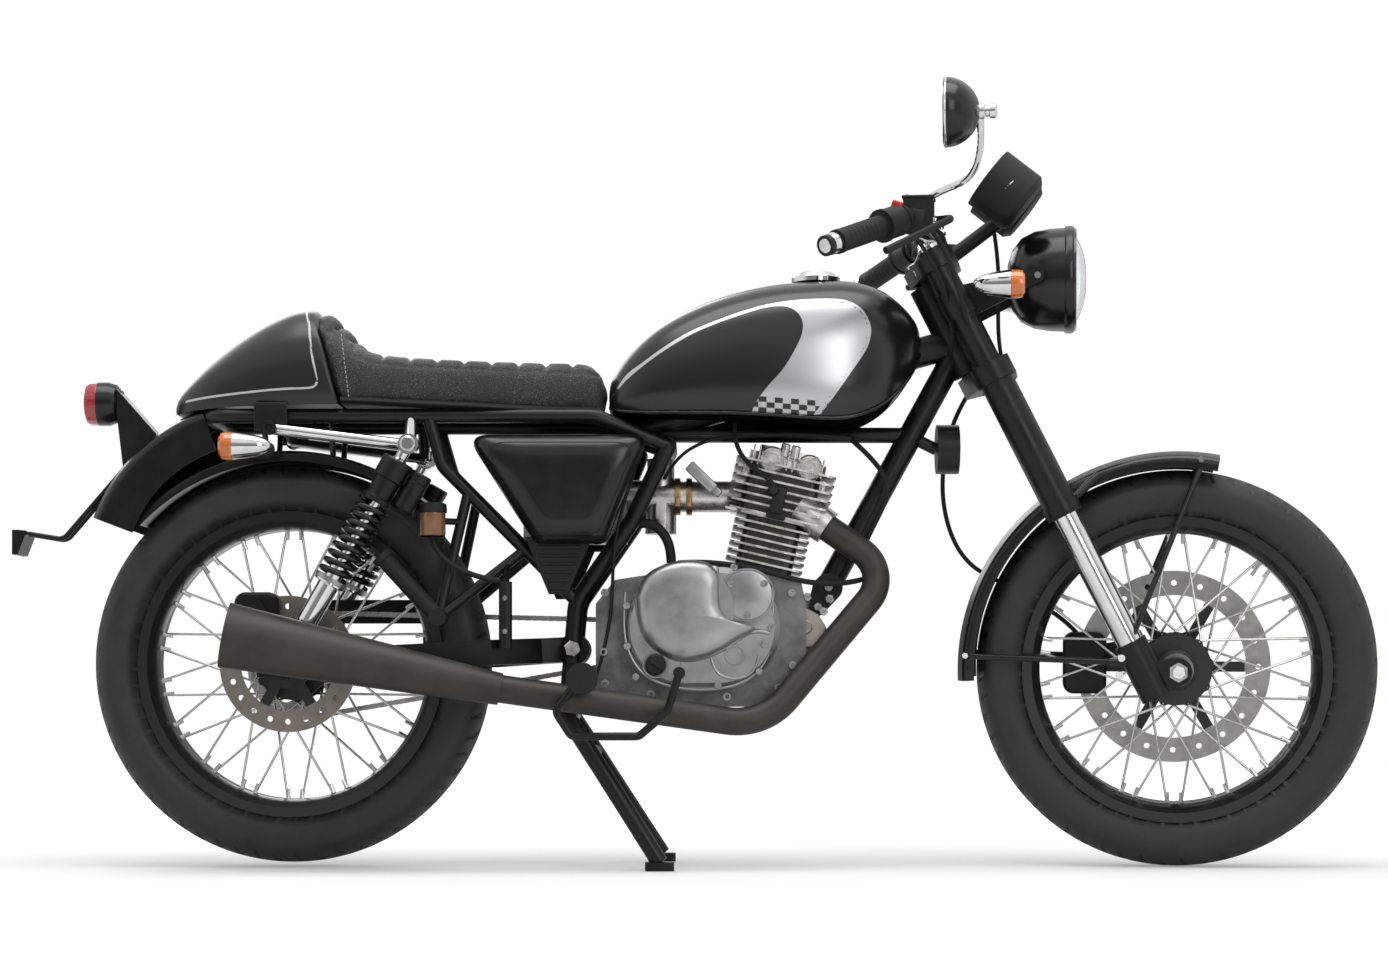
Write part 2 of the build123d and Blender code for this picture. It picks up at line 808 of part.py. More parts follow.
def strut_place(z, side):
    """A place at a height on the sloping part of a strut."""
    bend = Vector(strut_bend_x, side * rail_half_track, strut_bend_z)
    low = Vector(rear_tube_low_x, side * rear_tube_half_track, rear_tube_low_z)
    return bend + (low - bend) * ((strut_bend_z - z) / (strut_bend_z - rear_tube_low_z))


with BuildPart() as struts:
    for side in (-1, 1):
        top = Vector(strut_top_x, side * rail_half_track, rail_z)
        bend = strut_place(strut_bend_z, side)
        low = strut_place(rear_tube_low_z, side)
        bent_tube((top, bend, low), 3 * strut_radius, strut_radius)
        bracket = Vector(peg_bracket_x, side * peg_bracket_y, peg_bracket_z)
        for z in (bracket_stay_rear_z, bracket_stay_front_z):
            rod(strut_place(z, side), bracket, 0.8 * strut_radius)
        rod(
            bracket - Vector(0, side * strut_radius, 0),
            bracket + Vector(0, side * (passenger_peg_y - peg_bracket_y), 0),
            1.4 * strut_radius,
        )
    add(rear_tubes.part, mode=Mode.SUBTRACT)
    add(rails.part, mode=Mode.SUBTRACT)
pieces["struts"] = struts

# Engine: the case, whose deck leans with the cylinder
lean = radians(cylinder_lean_angle)
deck = Plane(
    origin=(cylinder_base_x, 0, crankcase_deck_z),
    x_dir=(cos(lean), 0, -sin(lean)),
    z_dir=(sin(lean), 0, cos(lean)),
)
deck_rear = deck.from_local_coords(Vector(-barrel_half_length, 0, 0))
deck_front = deck.from_local_coords(Vector(barrel_half_length, 0, 0))
case_corner = 0.12 * (crankcase_deck_z - crankcase_low_z)
with BuildPart() as crankcase:
    side_plate(
        (
            (crankcase_rear_x, crankcase_low_z + case_corner),
            (crankcase_rear_x, crankcase_deck_z - 2 * case_corner),
            (crankcase_rear_x + 1.2 * case_corner, crankcase_deck_z - case_corner / 2),
            (deck_rear.X, deck_rear.Z),
            (deck_front.X, deck_front.Z),
            (crankcase_front_x, crankcase_deck_z - 2 * case_corner),
            (crankcase_front_x, crankcase_low_z + 2 * case_corner),
            (crankcase_front_x - 2 * case_corner, crankcase_low_z),
            (crankcase_rear_x + case_corner, crankcase_low_z),
        ),
        0,
        2 * crankcase_half_width,
    )
    link_plate(
        ((crankcase_front_x - 2 * engine_lug_radius, engine_lug_z), (engine_lug_x, engine_lug_z)),
        (engine_lug_radius, engine_lug_radius),
        0,
        2 * engine_plate_half_gap,
    )
    sprocket_face = Vector(0, sprocket_offset + sprocket_thickness / 2, 0)
    rod(front_sprocket, front_sprocket + sprocket_face, front_sprocket_radius - chain_gap)
    add(frame_spine.part, mode=Mode.SUBTRACT)

with BuildPart() as starter:
    starter_end = Vector(0, starter_half_length, 0)
    starter_middle = Vector(starter_x, 0, starter_z)
    rod(starter_middle - starter_end, starter_middle + starter_end, starter_radius)
    add(crankcase.part)
pieces["crankcase"] = starter


def built_case_cover(side, dome_radius):
    """An oval side cover of the engine with a raised round over the clutch or generator."""
    face = Plane.XZ.offset(-side * crankcase_half_width)
    with BuildPart() as cover:
        with BuildSketch(face) as oval:
            with Locations((clutch_cover_x, clutch_cover_z)):
                SlotOverall(2 * clutch_cover_half_length, 2 * clutch_cover_half_height)
        extrude(to_extrude=oval.sketch, amount=-side * cover_depth)
        outer = cover.faces().sort_by(Axis.Y)[-1 if side > 0 else 0]
        chamfer(outer.edges(), cover_edge)
        with BuildSketch(face) as dome:
            with Locations((clutch_dome_x, clutch_dome_z)):
                Circle(dome_radius)
        extrude(to_extrude=dome.sketch, amount=-side * (cover_depth + cover_edge))
        with BuildSketch(face) as caps:
            with Locations((filter_cap_x, filter_cap_z)):
                Circle(filter_cap_radius)
            with Locations((oil_cap_x, oil_cap_z)):
                Circle(oil_cap_radius)
        extrude(to_extrude=caps.sketch, amount=-side * (cover_depth + cover_edge / 2))
        if side > 0:
            with BuildSketch(face) as pocket:
                with Locations((rear_axle.X, rear_axle.Z)):
                    Circle(sprocket_radius + chain_pocket)
                with Locations((front_sprocket.X, front_sprocket.Z)):
                    Circle(front_sprocket_radius + chain_pocket)
                make_hull()
            pocket_depth = sprocket_offset - crankcase_half_width + chain_width / 2 + chain_gap
            extrude(to_extrude=pocket.sketch, amount=-pocket_depth, mode=Mode.SUBTRACT)
    return cover


clutch_cover = built_case_cover(-1, clutch_dome_radius)
generator_cover = built_case_cover(1, 0.9 * clutch_dome_radius)
with BuildPart() as engine_covers:
    add(clutch_cover.part)
    add(generator_cover.part)
pieces["engine_covers"] = engine_covers


def built_fins(low, height, half_length, half_width, count):
    """A finned block, its fins evenly spaced round a narrower core."""
    with BuildPart() as block:
        with BuildSketch(deck.offset(low)):
            RectangleRounded(
                2 * barrel_core_share * half_length, 2 * barrel_core_share * half_width, fin_corner
            )
        extrude(amount=height)
        pitch = (height - fin_thickness) / (count - 1)
        for level in range(count):
            with BuildSketch(deck.offset(low + level * pitch)):
                RectangleRounded(2 * half_length, 2 * half_width, fin_corner)
            extrude(amount=fin_thickness)
    return block


barrel = built_fins(0, barrel_height, barrel_half_length, barrel_half_width, barrel_fin_count)
cylinder_head = built_fins(barrel_height, head_height, head_half_length, head_half_width, head_fin_count)
header_port = Vector(header_port_x, -header_port_y, header_port_z)
header_front = Vector(header_front_x, -header_front_y, header_front_z)
header_low = Vector(header_low_x, -header_low_y, header_low_z)
muffler_front = Vector(muffler_front_x, -muffler_front_y, muffler_front_z)
muffler_rear = Vector(muffler_rear_x, -muffler_rear_y, muffler_rear_z)
head_bottom = deck.offset(barrel_height)
intake_front = Vector(header_port_x - head_half_length, 0, intake_z)
intake_rear = Vector(intake_rear_x + carburettor_half_length, 0, intake_z)
with BuildPart() as cylinder_head_piece:
    add(cylinder_head.part)
    with BuildSketch(head_bottom.offset(head_height)):
        RectangleRounded(2 * head_cover_half_length, 2 * head_cover_half_width, fin_corner)
    extrude(amount=head_cover_height, taper=rake_angle / 4)
    port_run = (header_port - header_front).normalized()
    rod(header_port + port_run * 2 * header_port_radius, header_port, header_port_radius)
    rod(intake_front, intake_rear, intake_radius)
    add(barrel.part, mode=Mode.SUBTRACT)
pieces.update(barrel=barrel, cylinder_head=cylinder_head_piece)

with BuildPart() as carburettor:
    bore_rear = Vector(air_box_front_x, 0, intake_z)
    middle = Vector(intake_rear_x, 0, intake_z)
    rod(intake_rear, bore_rear, 0.85 * carburettor_radius)
    rod(middle - Vector(0, 0, carburettor_bowl_drop), middle, 0.8 * carburettor_radius)
    rod(middle, middle + Vector(0, 0, carburettor_bowl_drop), 0.7 * carburettor_radius)

with BuildPart() as air_box:
    with BuildSketch(Plane.XY.offset(air_box_low_z)):
        with Locations(((air_box_front_x + air_box_rear_x) / 2, 0)):
            Rectangle(air_box_front_x - air_box_rear_x, 2 * air_box_half_width)
    extrude(amount=air_box_high_z - air_box_low_z)
    add(carburettor.part)
    add(frame_spine.part, mode=Mode.SUBTRACT)
    add(rear_tubes.part, mode=Mode.SUBTRACT)
pieces["intake"] = air_box

# Exhaust
muffler_run = (muffler_rear - muffler_front).normalized()
with BuildPart() as muffler:
    with BuildSketch(Plane(origin=muffler_front, z_dir=muffler_run)):
        Circle(muffler_front_radius)
    with BuildSketch(Plane(origin=muffler_rear, z_dir=muffler_run)):
        Circle(muffler_rear_radius)
    loft()
    rod(
        muffler_rear - muffler_run * muffler_recess,
        muffler_rear,
        muffler_rear_radius - 3 * muffler_wall,
        Mode.SUBTRACT,
    )
pieces["muffler"] = muffler

with BuildPart() as header_pipe:
    header_end = muffler_front + muffler_run * header_radius / 2
    bends = (header_front_bend, header_low_bend)
    bent_tube((header_port, header_front, header_low, header_end), bends, header_radius)
    add(muffler.part, mode=Mode.SUBTRACT)
    add(cylinder_head_piece.part, mode=Mode.SUBTRACT)
pieces["header_pipe"] = header_pipe

# Swingarm, its shape drawn in the plane of its two arms
arm_run = (rear_axle - Vector(swingarm_pivot_x, 0, swingarm_pivot_z)).normalized()
arm_plane = Plane(
    origin=(swingarm_pivot_x, 0, swingarm_pivot_z), x_dir=tuple(-arm_run), z_dir=(arm_run.Z, 0, -arm_run.X)
)
arm_in = swingarm_half_track - swingarm_arm_width / 2
arm_out = swingarm_half_track + swingarm_arm_width / 2
arm_tail = swingarm_reach + 1.8 * swingarm_arm_width
arm_neck = 2 * swingarm_pivot_radius
arm_knee = 5 * swingarm_pivot_radius
shock_low = Vector(shock_low_x, 0, shock_low_z)
with BuildPart() as swingarm:
    with BuildSketch(arm_plane):
        with BuildLine():
            Polyline(
                (0, 0),
                (0, swingarm_pivot_half_length),
                (-arm_neck, swingarm_pivot_half_length + swingarm_arm_width / 2),
                (-arm_knee, arm_out),
                (-arm_tail, arm_out),
                (-arm_tail, arm_in),
                (-arm_knee, arm_in),
                (-1.15 * arm_neck, swingarm_pivot_half_length - swingarm_arm_width),
                (-arm_neck, 0),
            )
            mirror(about=Plane.XZ)
        make_face()
    extrude(amount=swingarm_arm_height / 2, both=True)
    pivot = Vector(swingarm_pivot_x, 0, swingarm_pivot_z)
    pivot_end = Vector(0, swingarm_pivot_half_length, 0)
    rod(pivot - pivot_end, pivot + pivot_end, swingarm_pivot_radius)
    bolt_end = Vector(0, rear_tube_half_track + rear_tube_radius + axle_radius, 0)
    rod(pivot - bolt_end, pivot + bolt_end, axle_radius)
    for side in (-1, 1):
        lug = Vector(0, side * arm_in, 0)
        lug_foot = rear_axle + (pivot - rear_axle) * ((shock_low_x - rear_axle.X) / (pivot.X - rear_axle.X))
        link_plate(
            ((shock_low.X, shock_low.Z), (lug_foot.X, lug_foot.Z)),
            (shock_eye_radius, shock_eye_radius),
            side * (arm_in + swingarm_arm_width / 4),
            swingarm_arm_width / 2,
        )
        pin_end = Vector(0, side * (shock_half_track + shock_eye_width / 2), 0)
        rod(shock_low + lug, shock_low + pin_end, shock_pin_radius)
    axle_hole = Vector(0, 2 * swingarm_half_track, 0)
    rod(rear_axle - axle_hole, rear_axle + axle_hole, axle_radius, Mode.SUBTRACT)
pieces["swingarm"] = swingarm


def built_axle(axle, arm_face, arm_outer, spacer_start_left, spacer_start_right):
    """A spindle through both arms, with nuts outside them and spacers against the hub."""
    with BuildPart() as spindle:
        nut_end = Vector(0, arm_outer + axle_radius, 0)
        rod(axle - nut_end, axle + nut_end, axle_radius)
        for side, start in ((1, spacer_start_left), (-1, spacer_start_right)):
            rod(
                axle + Vector(0, side * start, 0),
                axle + Vector(0, side * arm_face, 0),
                0.85 * axle_nut_radius,
            )
            nut = Plane(origin=axle + Vector(0, side * arm_outer, 0), z_dir=(0, side, 0))
            with BuildSketch(nut):
                RegularPolygon(axle_nut_radius, 6)
            extrude(amount=axle_radius)
    return spindle


rear_axle_piece = built_axle(
    rear_axle,
    arm_in,
    arm_out,
    rear_hub_half_length + running_gap,
    rear_hub_half_length + running_gap,
)
pieces["rear_axle"] = rear_axle_piece


# Shock absorbers
shock_run = Vector(shock_low_x - shock_top_x, 0, shock_low_z - shock_top_z)
shock_run = shock_run.normalized()
shocks = []
for side in (-1, 1):
    eye = Vector(0, shock_eye_width / 2, 0)
    top = Vector(shock_top_x, side * shock_half_track, shock_top_z)
    low = Vector(shock_low_x, side * shock_half_track, shock_low_z)
    spring_top = top + shock_run * (shock_eye_radius + 2 * shock_pin_radius + shock_cap_length)
    with BuildPart() as shock:
        for place in (top, low):
            rod(place - eye, place + eye, shock_eye_radius)
        rod(top, low, 0.55 * shock_body_radius)
        rod(top + shock_run * (shock_eye_radius + 2 * shock_pin_radius), spring_top, shock_cap_radius)
        rod(spring_top + shock_run * spring_length, low - shock_run * shock_eye_radius, shock_body_radius)
        coil_pitch = spring_length / spring_coil_count
        with BuildSketch(
            Plane(origin=spring_top, x_dir=(0, 1, 0), z_dir=tuple(Vector(0, 1, 0).cross(shock_run)))
        ):
            with BuildLine():
                points = [(0, 0)]
                for coil in range(spring_coil_count):
                    points.append((spring_radius - coil_pitch / 3, coil * coil_pitch))
                    points.append((spring_radius, (coil + 0.3) * coil_pitch))
                    points.append((spring_radius, (coil + 0.7) * coil_pitch))
                points.append((spring_radius - coil_pitch / 3, spring_length))
                points.append((0, spring_length))
                Polyline(*points, close=True)
            make_face()
        revolve(axis=Axis(tuple(spring_top), tuple(shock_run)))
        can_side = Vector(-shock_run.Z, 0, shock_run.X)
        can = top + shock_run * (shock_eye_radius + 2 * shock_pin_radius) + can_side * reservoir_offset
        rod(can, can + shock_run * reservoir_length, reservoir_radius)
        for place in (top, low):
            rod(place - 2 * eye, place + 2 * eye, shock_pin_radius, Mode.SUBTRACT)
    shocks.append(shock.part)
with BuildPart() as shock_pair:
    add(shocks)
pieces["shocks"] = shock_pair

# Fuel tank, hollowed underneath for the backbone, and its cap
backbone_front = on_fork(backbone_head_station)
with BuildPart() as fuel_tank:
    sections = []
    for along, floor, roof, wide in tank_section_shares:
        low = tank_base_z + tank_height * floor
        high = tank_base_z + tank_height * roof
        plane = upright_plane(tank_rear_x + tank_length * along, low)
        sections.append(body_section(plane, tank_half_width * wide, high - low, tank_outline_shares))
    loft(sections=sections)
    with BuildSketch(Plane.XZ) as tunnel:
        with BuildLine():
            Polyline(
                (backbone_rear.X - tank_length, backbone_rear.Z - tank_height),
                (backbone_rear.X - tank_length, backbone_rear.Z + 1.2 * backbone_radius),
                (backbone_rear.X, backbone_rear.Z + 1.2 * backbone_radius),
                (backbone_front.X, backbone_front.Z + 1.2 * backbone_radius),
                (backbone_front.X, backbone_rear.Z - tank_height),
                close=True,
            )
        make_face()
    extrude(to_extrude=tunnel.sketch, amount=tank_tunnel_half_width, both=True, mode=Mode.SUBTRACT)
pieces["fuel_tank"] = fuel_tank

tank_top = tank_base_z + tank_height
with BuildPart() as tank_cap:
    with BuildSketch(Plane.XY.offset(tank_top - tank_cap_height)):
        with Locations((tank_cap_x, 0)):
            Circle(tank_cap_radius)
    extrude(amount=2 * tank_cap_height)
    chamfer(tank_cap.edges().group_by(Axis.Z)[-1], tank_cap_height / 4)
    with BuildSketch(Plane.XY.offset(tank_top + tank_cap_height)):
        with Locations((tank_cap_x, 0)):
            Circle(0.62 * tank_cap_radius)
    extrude(amount=-tank_cap_height / 5, mode=Mode.SUBTRACT)
    add(fuel_tank.part, mode=Mode.SUBTRACT)
pieces["tank_cap"] = tank_cap

# Saddle pad rising into the hump's pad, and the tail cowl behind it
saddle_front_x = tank_rear_x - saddle_front_gap
saddle_base_z = rail_z + rail_radius + seat_gap
hump_x = saddle_front_x - saddle_length
with BuildPart() as saddle:
    sections = []
    for along, floor, roof, wide in saddle_section_shares:
        low = saddle_base_z + saddle_height * floor
        height = saddle_height * (roof - floor)
        plane = upright_plane(saddle_front_x - saddle_length * along, low, hump_lean_angle * along**4)
        sections.append(body_section(plane, saddle_half_width * wide, height, pad_outline_shares))
    hump_plane = upright_plane(hump_x, saddle_base_z, hump_lean_angle)
    sections.append(body_section(hump_plane, 0.97 * saddle_half_width, hump_height, cowl_outline_shares))
    loft(sections=sections)
    for channel in range(saddle_channel_count):
        channel_x = saddle_channel_front_x - channel * saddle_channel_pitch
        along = (saddle_front_x - channel_x) / saddle_length
        for near, far in zip(saddle_section_shares, saddle_section_shares[1:]):
            if near[0] <= along <= far[0]:
                roof = near[2] + (far[2] - near[2]) * (along - near[0]) / (far[0] - near[0])
        channel_z = saddle_base_z + saddle_height * roof
        across = Vector(0, saddle_half_width, 0)
        middle = Vector(channel_x, 0, channel_z)
        rod(middle - across, middle + across, saddle_channel_radius, Mode.SUBTRACT)
pieces["saddle"] = saddle

with BuildPart() as tail_cowl:
    joint = upright_plane(hump_x - saddle_front_gap, saddle_base_z, hump_lean_angle)
    sections = [body_section(joint, saddle_half_width, hump_height, cowl_outline_shares)]
    for along, high, wide in cowl_section_shares:
        section_x = hump_x - saddle_front_gap - cowl_length * along
        plane = upright_plane(section_x, saddle_base_z, hump_lean_angle * (1 - along))
        sections.append(
            body_section(plane, saddle_half_width * wide, hump_height * high, cowl_outline_shares)
        )
    loft(sections=sections)
pieces["tail_cowl"] = tail_cowl

# Side panels with the ribbed covers below them
with BuildPart() as side_panels:
    for side in (-1, 1):
        inner_face = Plane.XZ.offset(-side * side_panel_inner_y)
        with BuildSketch(inner_face) as panel:
            with BuildLine():
                FilletPolyline(
                    (side_panel_front_x, side_panel_high_z),
                    (side_panel_rear_x, side_panel_high_z),
                    (side_panel_low_rear_x, side_panel_low_z),
                    (side_panel_low_front_x, side_panel_low_z),
                    radius=side_panel_corner,
                    close=True,
                )
            make_face()
        layer_base = panel.sketch
        for share, slope in side_panel_layer_shares:
            extrude(to_extrude=layer_base, amount=share * side_panel_depth, dir=(0, side, 0), taper=slope)
            layer_base = side_panels.faces().sort_by(Axis.Y)[-1 if side > 0 else 0]
        with BuildSketch(inner_face) as lower_cover:
            with BuildLine():
                Polyline(
                    (lower_cover_x - lower_cover_half_top, lower_cover_high_z),
                    (lower_cover_x + lower_cover_half_top, lower_cover_high_z),
                    (lower_cover_x + lower_cover_half_low, lower_cover_low_z),
                    (lower_cover_x - lower_cover_half_low, lower_cover_low_z),
                    close=True,
                )
            make_face()
        extrude(to_extrude=lower_cover.sketch, amount=-side * lower_cover_depth)
        cover_height = lower_cover_high_z - lower_cover_low_z
        rib_pitch = cover_height / (lower_cover_rib_count + 1)
        for rib in range(lower_cover_rib_count):
            rib_z = lower_cover_low_z + (rib + 0.8) * rib_pitch
            rib_share = (rib + 0.3) / lower_cover_rib_count
            rib_half = lower_cover_half_low + (lower_cover_half_top - lower_cover_half_low) * rib_share
            with BuildSketch(inner_face.offset(-side * lower_cover_depth)) as slat:
                with Locations((lower_cover_x, rib_z)):
                    Rectangle(1.7 * rib_half, rib_pitch / 3)
            extrude(to_extrude=slat.sketch, amount=-side * rib_pitch / 5)
        peg_x = (side_panel_rear_x + side_panel_front_x) / 2
        peg_z = (side_panel_high_z + side_panel_low_z) / 2
        rod(
            (peg_x, side * air_box_half_width, peg_z),
            (peg_x, side * (side_panel_inner_y + cut_overrun), peg_z),
            cut_overrun,
        )
pieces["side_panels"] = side_panels


def built_guard(centre, radius, half_width, wall, depth, corner, start_angle, end_angle):
    """A mudguard: a rounded channel swept through an arc about a centre line across the machine."""
    start = Plane(
        origin=around(centre, radius, start_angle),
        x_dir=(0, 1, 0),
        z_dir=(sin(radians(start_angle)), 0, -cos(radians(start_angle))),
    )
    with BuildPart() as guard:
        with BuildSketch(start):
            with BuildLine():
                FilletPolyline(
                    (half_width, -depth),
                    (half_width, -corner / 3),
                    (half_width - corner, 0),
                    (corner - half_width, 0),
                    (-half_width, -corner / 3),
                    (-half_width, -depth),
                    radius=corner / 2,
                )
                offset(amount=wall, side=Side.LEFT)
            make_face()
        revolve(axis=Axis(tuple(centre), (0, -1, 0)), revolution_arc=end_angle - start_angle)
    return guard


guard_centre = Vector(guard_centre_x, 0, guard_centre_z)
with BuildPart() as rear_guard:
    shell = built_guard(
        guard_centre,
        guard_radius,
        guard_half_width,
        guard_wall,
        guard_skirt_depth,
        guard_corner,
        guard_start_angle,
        guard_end_angle,
    )
    add(shell.part)
    add(rails.part, mode=Mode.SUBTRACT)
    add(tail_cowl.part, mode=Mode.SUBTRACT)

with BuildPart() as inner_guard:
    shell = built_guard(
        rear_axle,
        inner_guard_radius + guard_wall,
        inner_guard_half_width,
        guard_wall,
        4 * guard_wall,
        2 * guard_wall,
        inner_guard_start_angle,
        inner_guard_end_angle,
    )
    add(shell.part)
    for side in (-1, 1):
        for angle in inner_guard_stay_angles:
            hanger = around(rear_axle, inner_guard_radius + guard_wall, angle)
            low = hanger + Vector(0, side * (inner_guard_half_width - 2 * guard_wall), 0)
            rod(low, (hanger.X, side * rail_half_track, rail_z), guard_stay_radius)
    add(rails.part, mode=Mode.SUBTRACT)
with BuildPart() as rear_guards:
    add(inner_guard.part)
    add(rear_guard.part)
pieces["rear_guards"] = rear_guards

# Rear lamp on its bracket, and the arm that carries the plate and reflector
bracket_foot = around(guard_centre, guard_radius + tail_bracket_thickness / 2, tail_bracket_foot_angle)
bracket_heel = around(guard_centre, guard_radius + tail_bracket_thickness / 2, tail_bracket_heel_angle)
lamp_front_x = tail_lamp_x + tail_lamp_length / 2
with BuildPart() as tail_bracket:
    side_plate(
        (
            (bracket_foot.X, bracket_foot.Z),
            (lamp_front_x - tail_bracket_thickness, tail_lamp_z + 0.6 * tail_lamp_radius),
            (lamp_front_x - tail_bracket_thickness, tail_lamp_z - 0.6 * tail_lamp_radius),
            (bracket_heel.X, bracket_heel.Z),
        ),
        0,
        2 * tail_bracket_half_width,
    )
    add(rear_guard.part, mode=Mode.SUBTRACT)
    for side in (-1, 1):
        bent_tube(
            (
                (bracket_heel.X, side * tail_bracket_half_width / 2, bracket_heel.Z + plate_arm_radius),
                (plate_arm_low_x, side * tail_bracket_half_width / 2, plate_arm_low_z),
                (plate_arm_end_x, side * tail_bracket_half_width / 2, plate_arm_end_z),
            ),
            4 * plate_arm_radius,
            plate_arm_radius,
        )
    cross_end = Vector(0, reflector_half_width, 0)
    arm_end = Vector(plate_arm_end_x, 0, plate_arm_end_z)
    rod(arm_end - cross_end, arm_end + cross_end, plate_arm_radius)
    side_plate(
        (
            (plate_arm_end_x, plate_arm_end_z + plate_arm_radius),
            (reflector_x + reflector_thickness, reflector_z + reflector_height / 2),
            (reflector_x, reflector_z + reflector_height / 2),
            (reflector_x, reflector_z - reflector_height / 2),
            (reflector_x + reflector_thickness, reflector_z - reflector_height / 2),
            (plate_arm_end_x, plate_arm_end_z - plate_arm_radius),
        ),
        0,
        2 * reflector_half_width,
    )
pieces["tail_bracket"] = tail_bracket

lamp_back_x = lamp_front_x - tail_lamp_length
with BuildPart() as tail_lamp:
    rod((lamp_front_x, 0, tail_lamp_z), (lamp_back_x + tail_lens_length, 0, tail_lamp_z), tail_lamp_radius)
    chamfer(tail_lamp.edges().group_by(Axis.X)[-1], tail_lamp_radius / 3)
    rod(
        (lamp_back_x + tail_lens_length, 0, tail_lamp_z),
        (lamp_back_x, 0, tail_lamp_z),
        0.96 * tail_lamp_radius,
    )
    chamfer(tail_lamp.edges().group_by(Axis.X)[0], tail_lens_length / 3)
    add(tail_bracket.part, mode=Mode.SUBTRACT)
pieces["tail_lamp"] = tail_lamp


def built_indicator(x, y, z, forward, inner_y):
    """A bullet indicator with its lens at one end, on a stem from its carrier."""
    end = Vector(x, y, z)
    body = end - Vector(forward * indicator_length, 0, 0)
    with BuildPart() as lamp:
        rod(end, body, indicator_radius)
        tip = lamp.edges().group_by(Axis.X)[0 if forward > 0 else -1]
        chamfer(tip, 1.6 * indicator_radius / 2, indicator_radius / 2)
        stem_x = x - forward * indicator_stem_share * indicator_length
        rod((stem_x, y, z), (stem_x, inner_y, z), indicator_stem_radius)
    return lamp


with BuildPart() as rear_indicators:
    for side in (-1, 1):
        lamp = built_indicator(
            rear_indicator_x, side * rear_indicator_y, rear_indicator_z, -1, side * lower_rail_half_track
        )
        add(lamp.part)
        stem_x = rear_indicator_x + indicator_stem_share * indicator_length
        low_y = side * lower_rail_half_track
        rod(
            (stem_x, low_y, rear_indicator_z),
            (lower_rail_rear_x, low_y, lower_rail_rear_z),
            indicator_stem_radius,
        )
    add(rails.part, mode=Mode.SUBTRACT)
pieces["rear_indicators"] = rear_indicators

# Chain guard
with BuildPart() as chain_guard:
    guard_length = chain_guard_front_x - chain_guard_rear_x
    guard_middle_x = (chain_guard_front_x + chain_guard_rear_x) / 2
    with BuildSketch(Plane.XY.offset(chain_guard_z)):
        with Locations((guard_middle_x, sprocket_offset)):
            Rectangle(guard_length, chain_guard_width)
    extrude(amount=chain_guard_wall)
    with BuildSketch(Plane.XY.offset(chain_guard_z)):
        with Locations((guard_middle_x, sprocket_offset + (chain_guard_width - chain_guard_wall) / 2)):
            Rectangle(guard_length, chain_guard_wall)
    extrude(amount=-chain_guard_depth)
    tab_y = sprocket_offset + chain_guard_width / 2 - chain_guard_wall / 2
    tab_z = chain_guard_z - chain_guard_depth / 2
    for tab_x in (chain_guard_front_x - chain_guard_width, rear_axle_x + 4 * axle_nut_radius):
        arm_top = Vector(tab_x, swingarm_half_track, rear_axle.Z)
        rod((tab_x, tab_y + guard_stay_radius, tab_z), arm_top, guard_stay_radius)
    add(swingarm.part, mode=Mode.SUBTRACT)
pieces["chain_guard"] = chain_guard

# Pegs and pedals
with BuildPart() as rider_pegs:
    for side, arm_z in ((-1, right_peg_arm_z), (1, left_peg_arm_z)):
        bent_tube(
            (
                (stand_pivot_x + 2 * stem_clearance, side * rear_tube_half_track, arm_z),
                (rider_peg_x, side * peg_arm_bend_y, arm_z),
                (rider_peg_x, side * rider_peg_inner_y, rider_peg_z),
                (rider_peg_x, side * rider_peg_outer_y, rider_peg_z),
            ),
            2 * peg_arm_radius,
            peg_arm_radius,
        )
        inner = Vector(rider_peg_x, side * rider_peg_inner_y, rider_peg_z)
        outer = Vector(rider_peg_x, side * rider_peg_outer_y, rider_peg_z)
        rod(inner, outer, rider_peg_radius)
        rod(outer, outer + Vector(0, side * peg_arm_radius, 0), rider_peg_end_radius)
    add(rear_tubes.part, mode=Mode.SUBTRACT)

with BuildPart() as passenger_pegs:
    for side in (-1, 1):
        foot = Vector(peg_bracket_x, side * passenger_peg_y, peg_bracket_z)
        tip = Vector(passenger_peg_end_x, side * passenger_peg_y, passenger_peg_end_z)
        rod(foot, tip, passenger_peg_radius)
        rod(tip, tip + (tip - foot).normalized() * peg_arm_radius, 1.25 * passenger_peg_radius)
        rod(foot, foot + Vector(0, side * passenger_peg_radius, 0), passenger_peg_radius)
    add(struts.part, mode=Mode.SUBTRACT)
with BuildPart() as pegs:
    add(rider_pegs.part)
    add(passenger_pegs.part)
pieces["pegs"] = pegs

with BuildPart() as brake_pedal:
    bent_tube(
        (
            (rider_peg_x - peg_arm_radius, -pedal_y + pedal_bar_radius, rider_peg_z),
            (pedal_pivot_x, -pedal_y, pedal_pivot_z),
            (pedal_pivot_x + 4 * pedal_bar_radius, -pedal_y, pedal_low_z),
            (pedal_pad_x - 10 * pedal_bar_radius, -pedal_y, pedal_low_z),
            (pedal_pad_x - 3 * pedal_bar_radius, -pedal_y, pedal_low_z + 6 * pedal_bar_radius),
            (pedal_pad_x, -pedal_y, pedal_pad_z),
        ),
        2 * pedal_bar_radius,
        pedal_bar_radius,
    )
    rod(
        (pedal_pad_x, -pedal_y - 3 * pedal_bar_radius, pedal_pad_z),
        (pedal_pad_x, -pedal_y + 2 * pedal_bar_radius, pedal_pad_z),
        1.5 * pedal_bar_radius,
    )
    add(rider_pegs.part, mode=Mode.SUBTRACT)

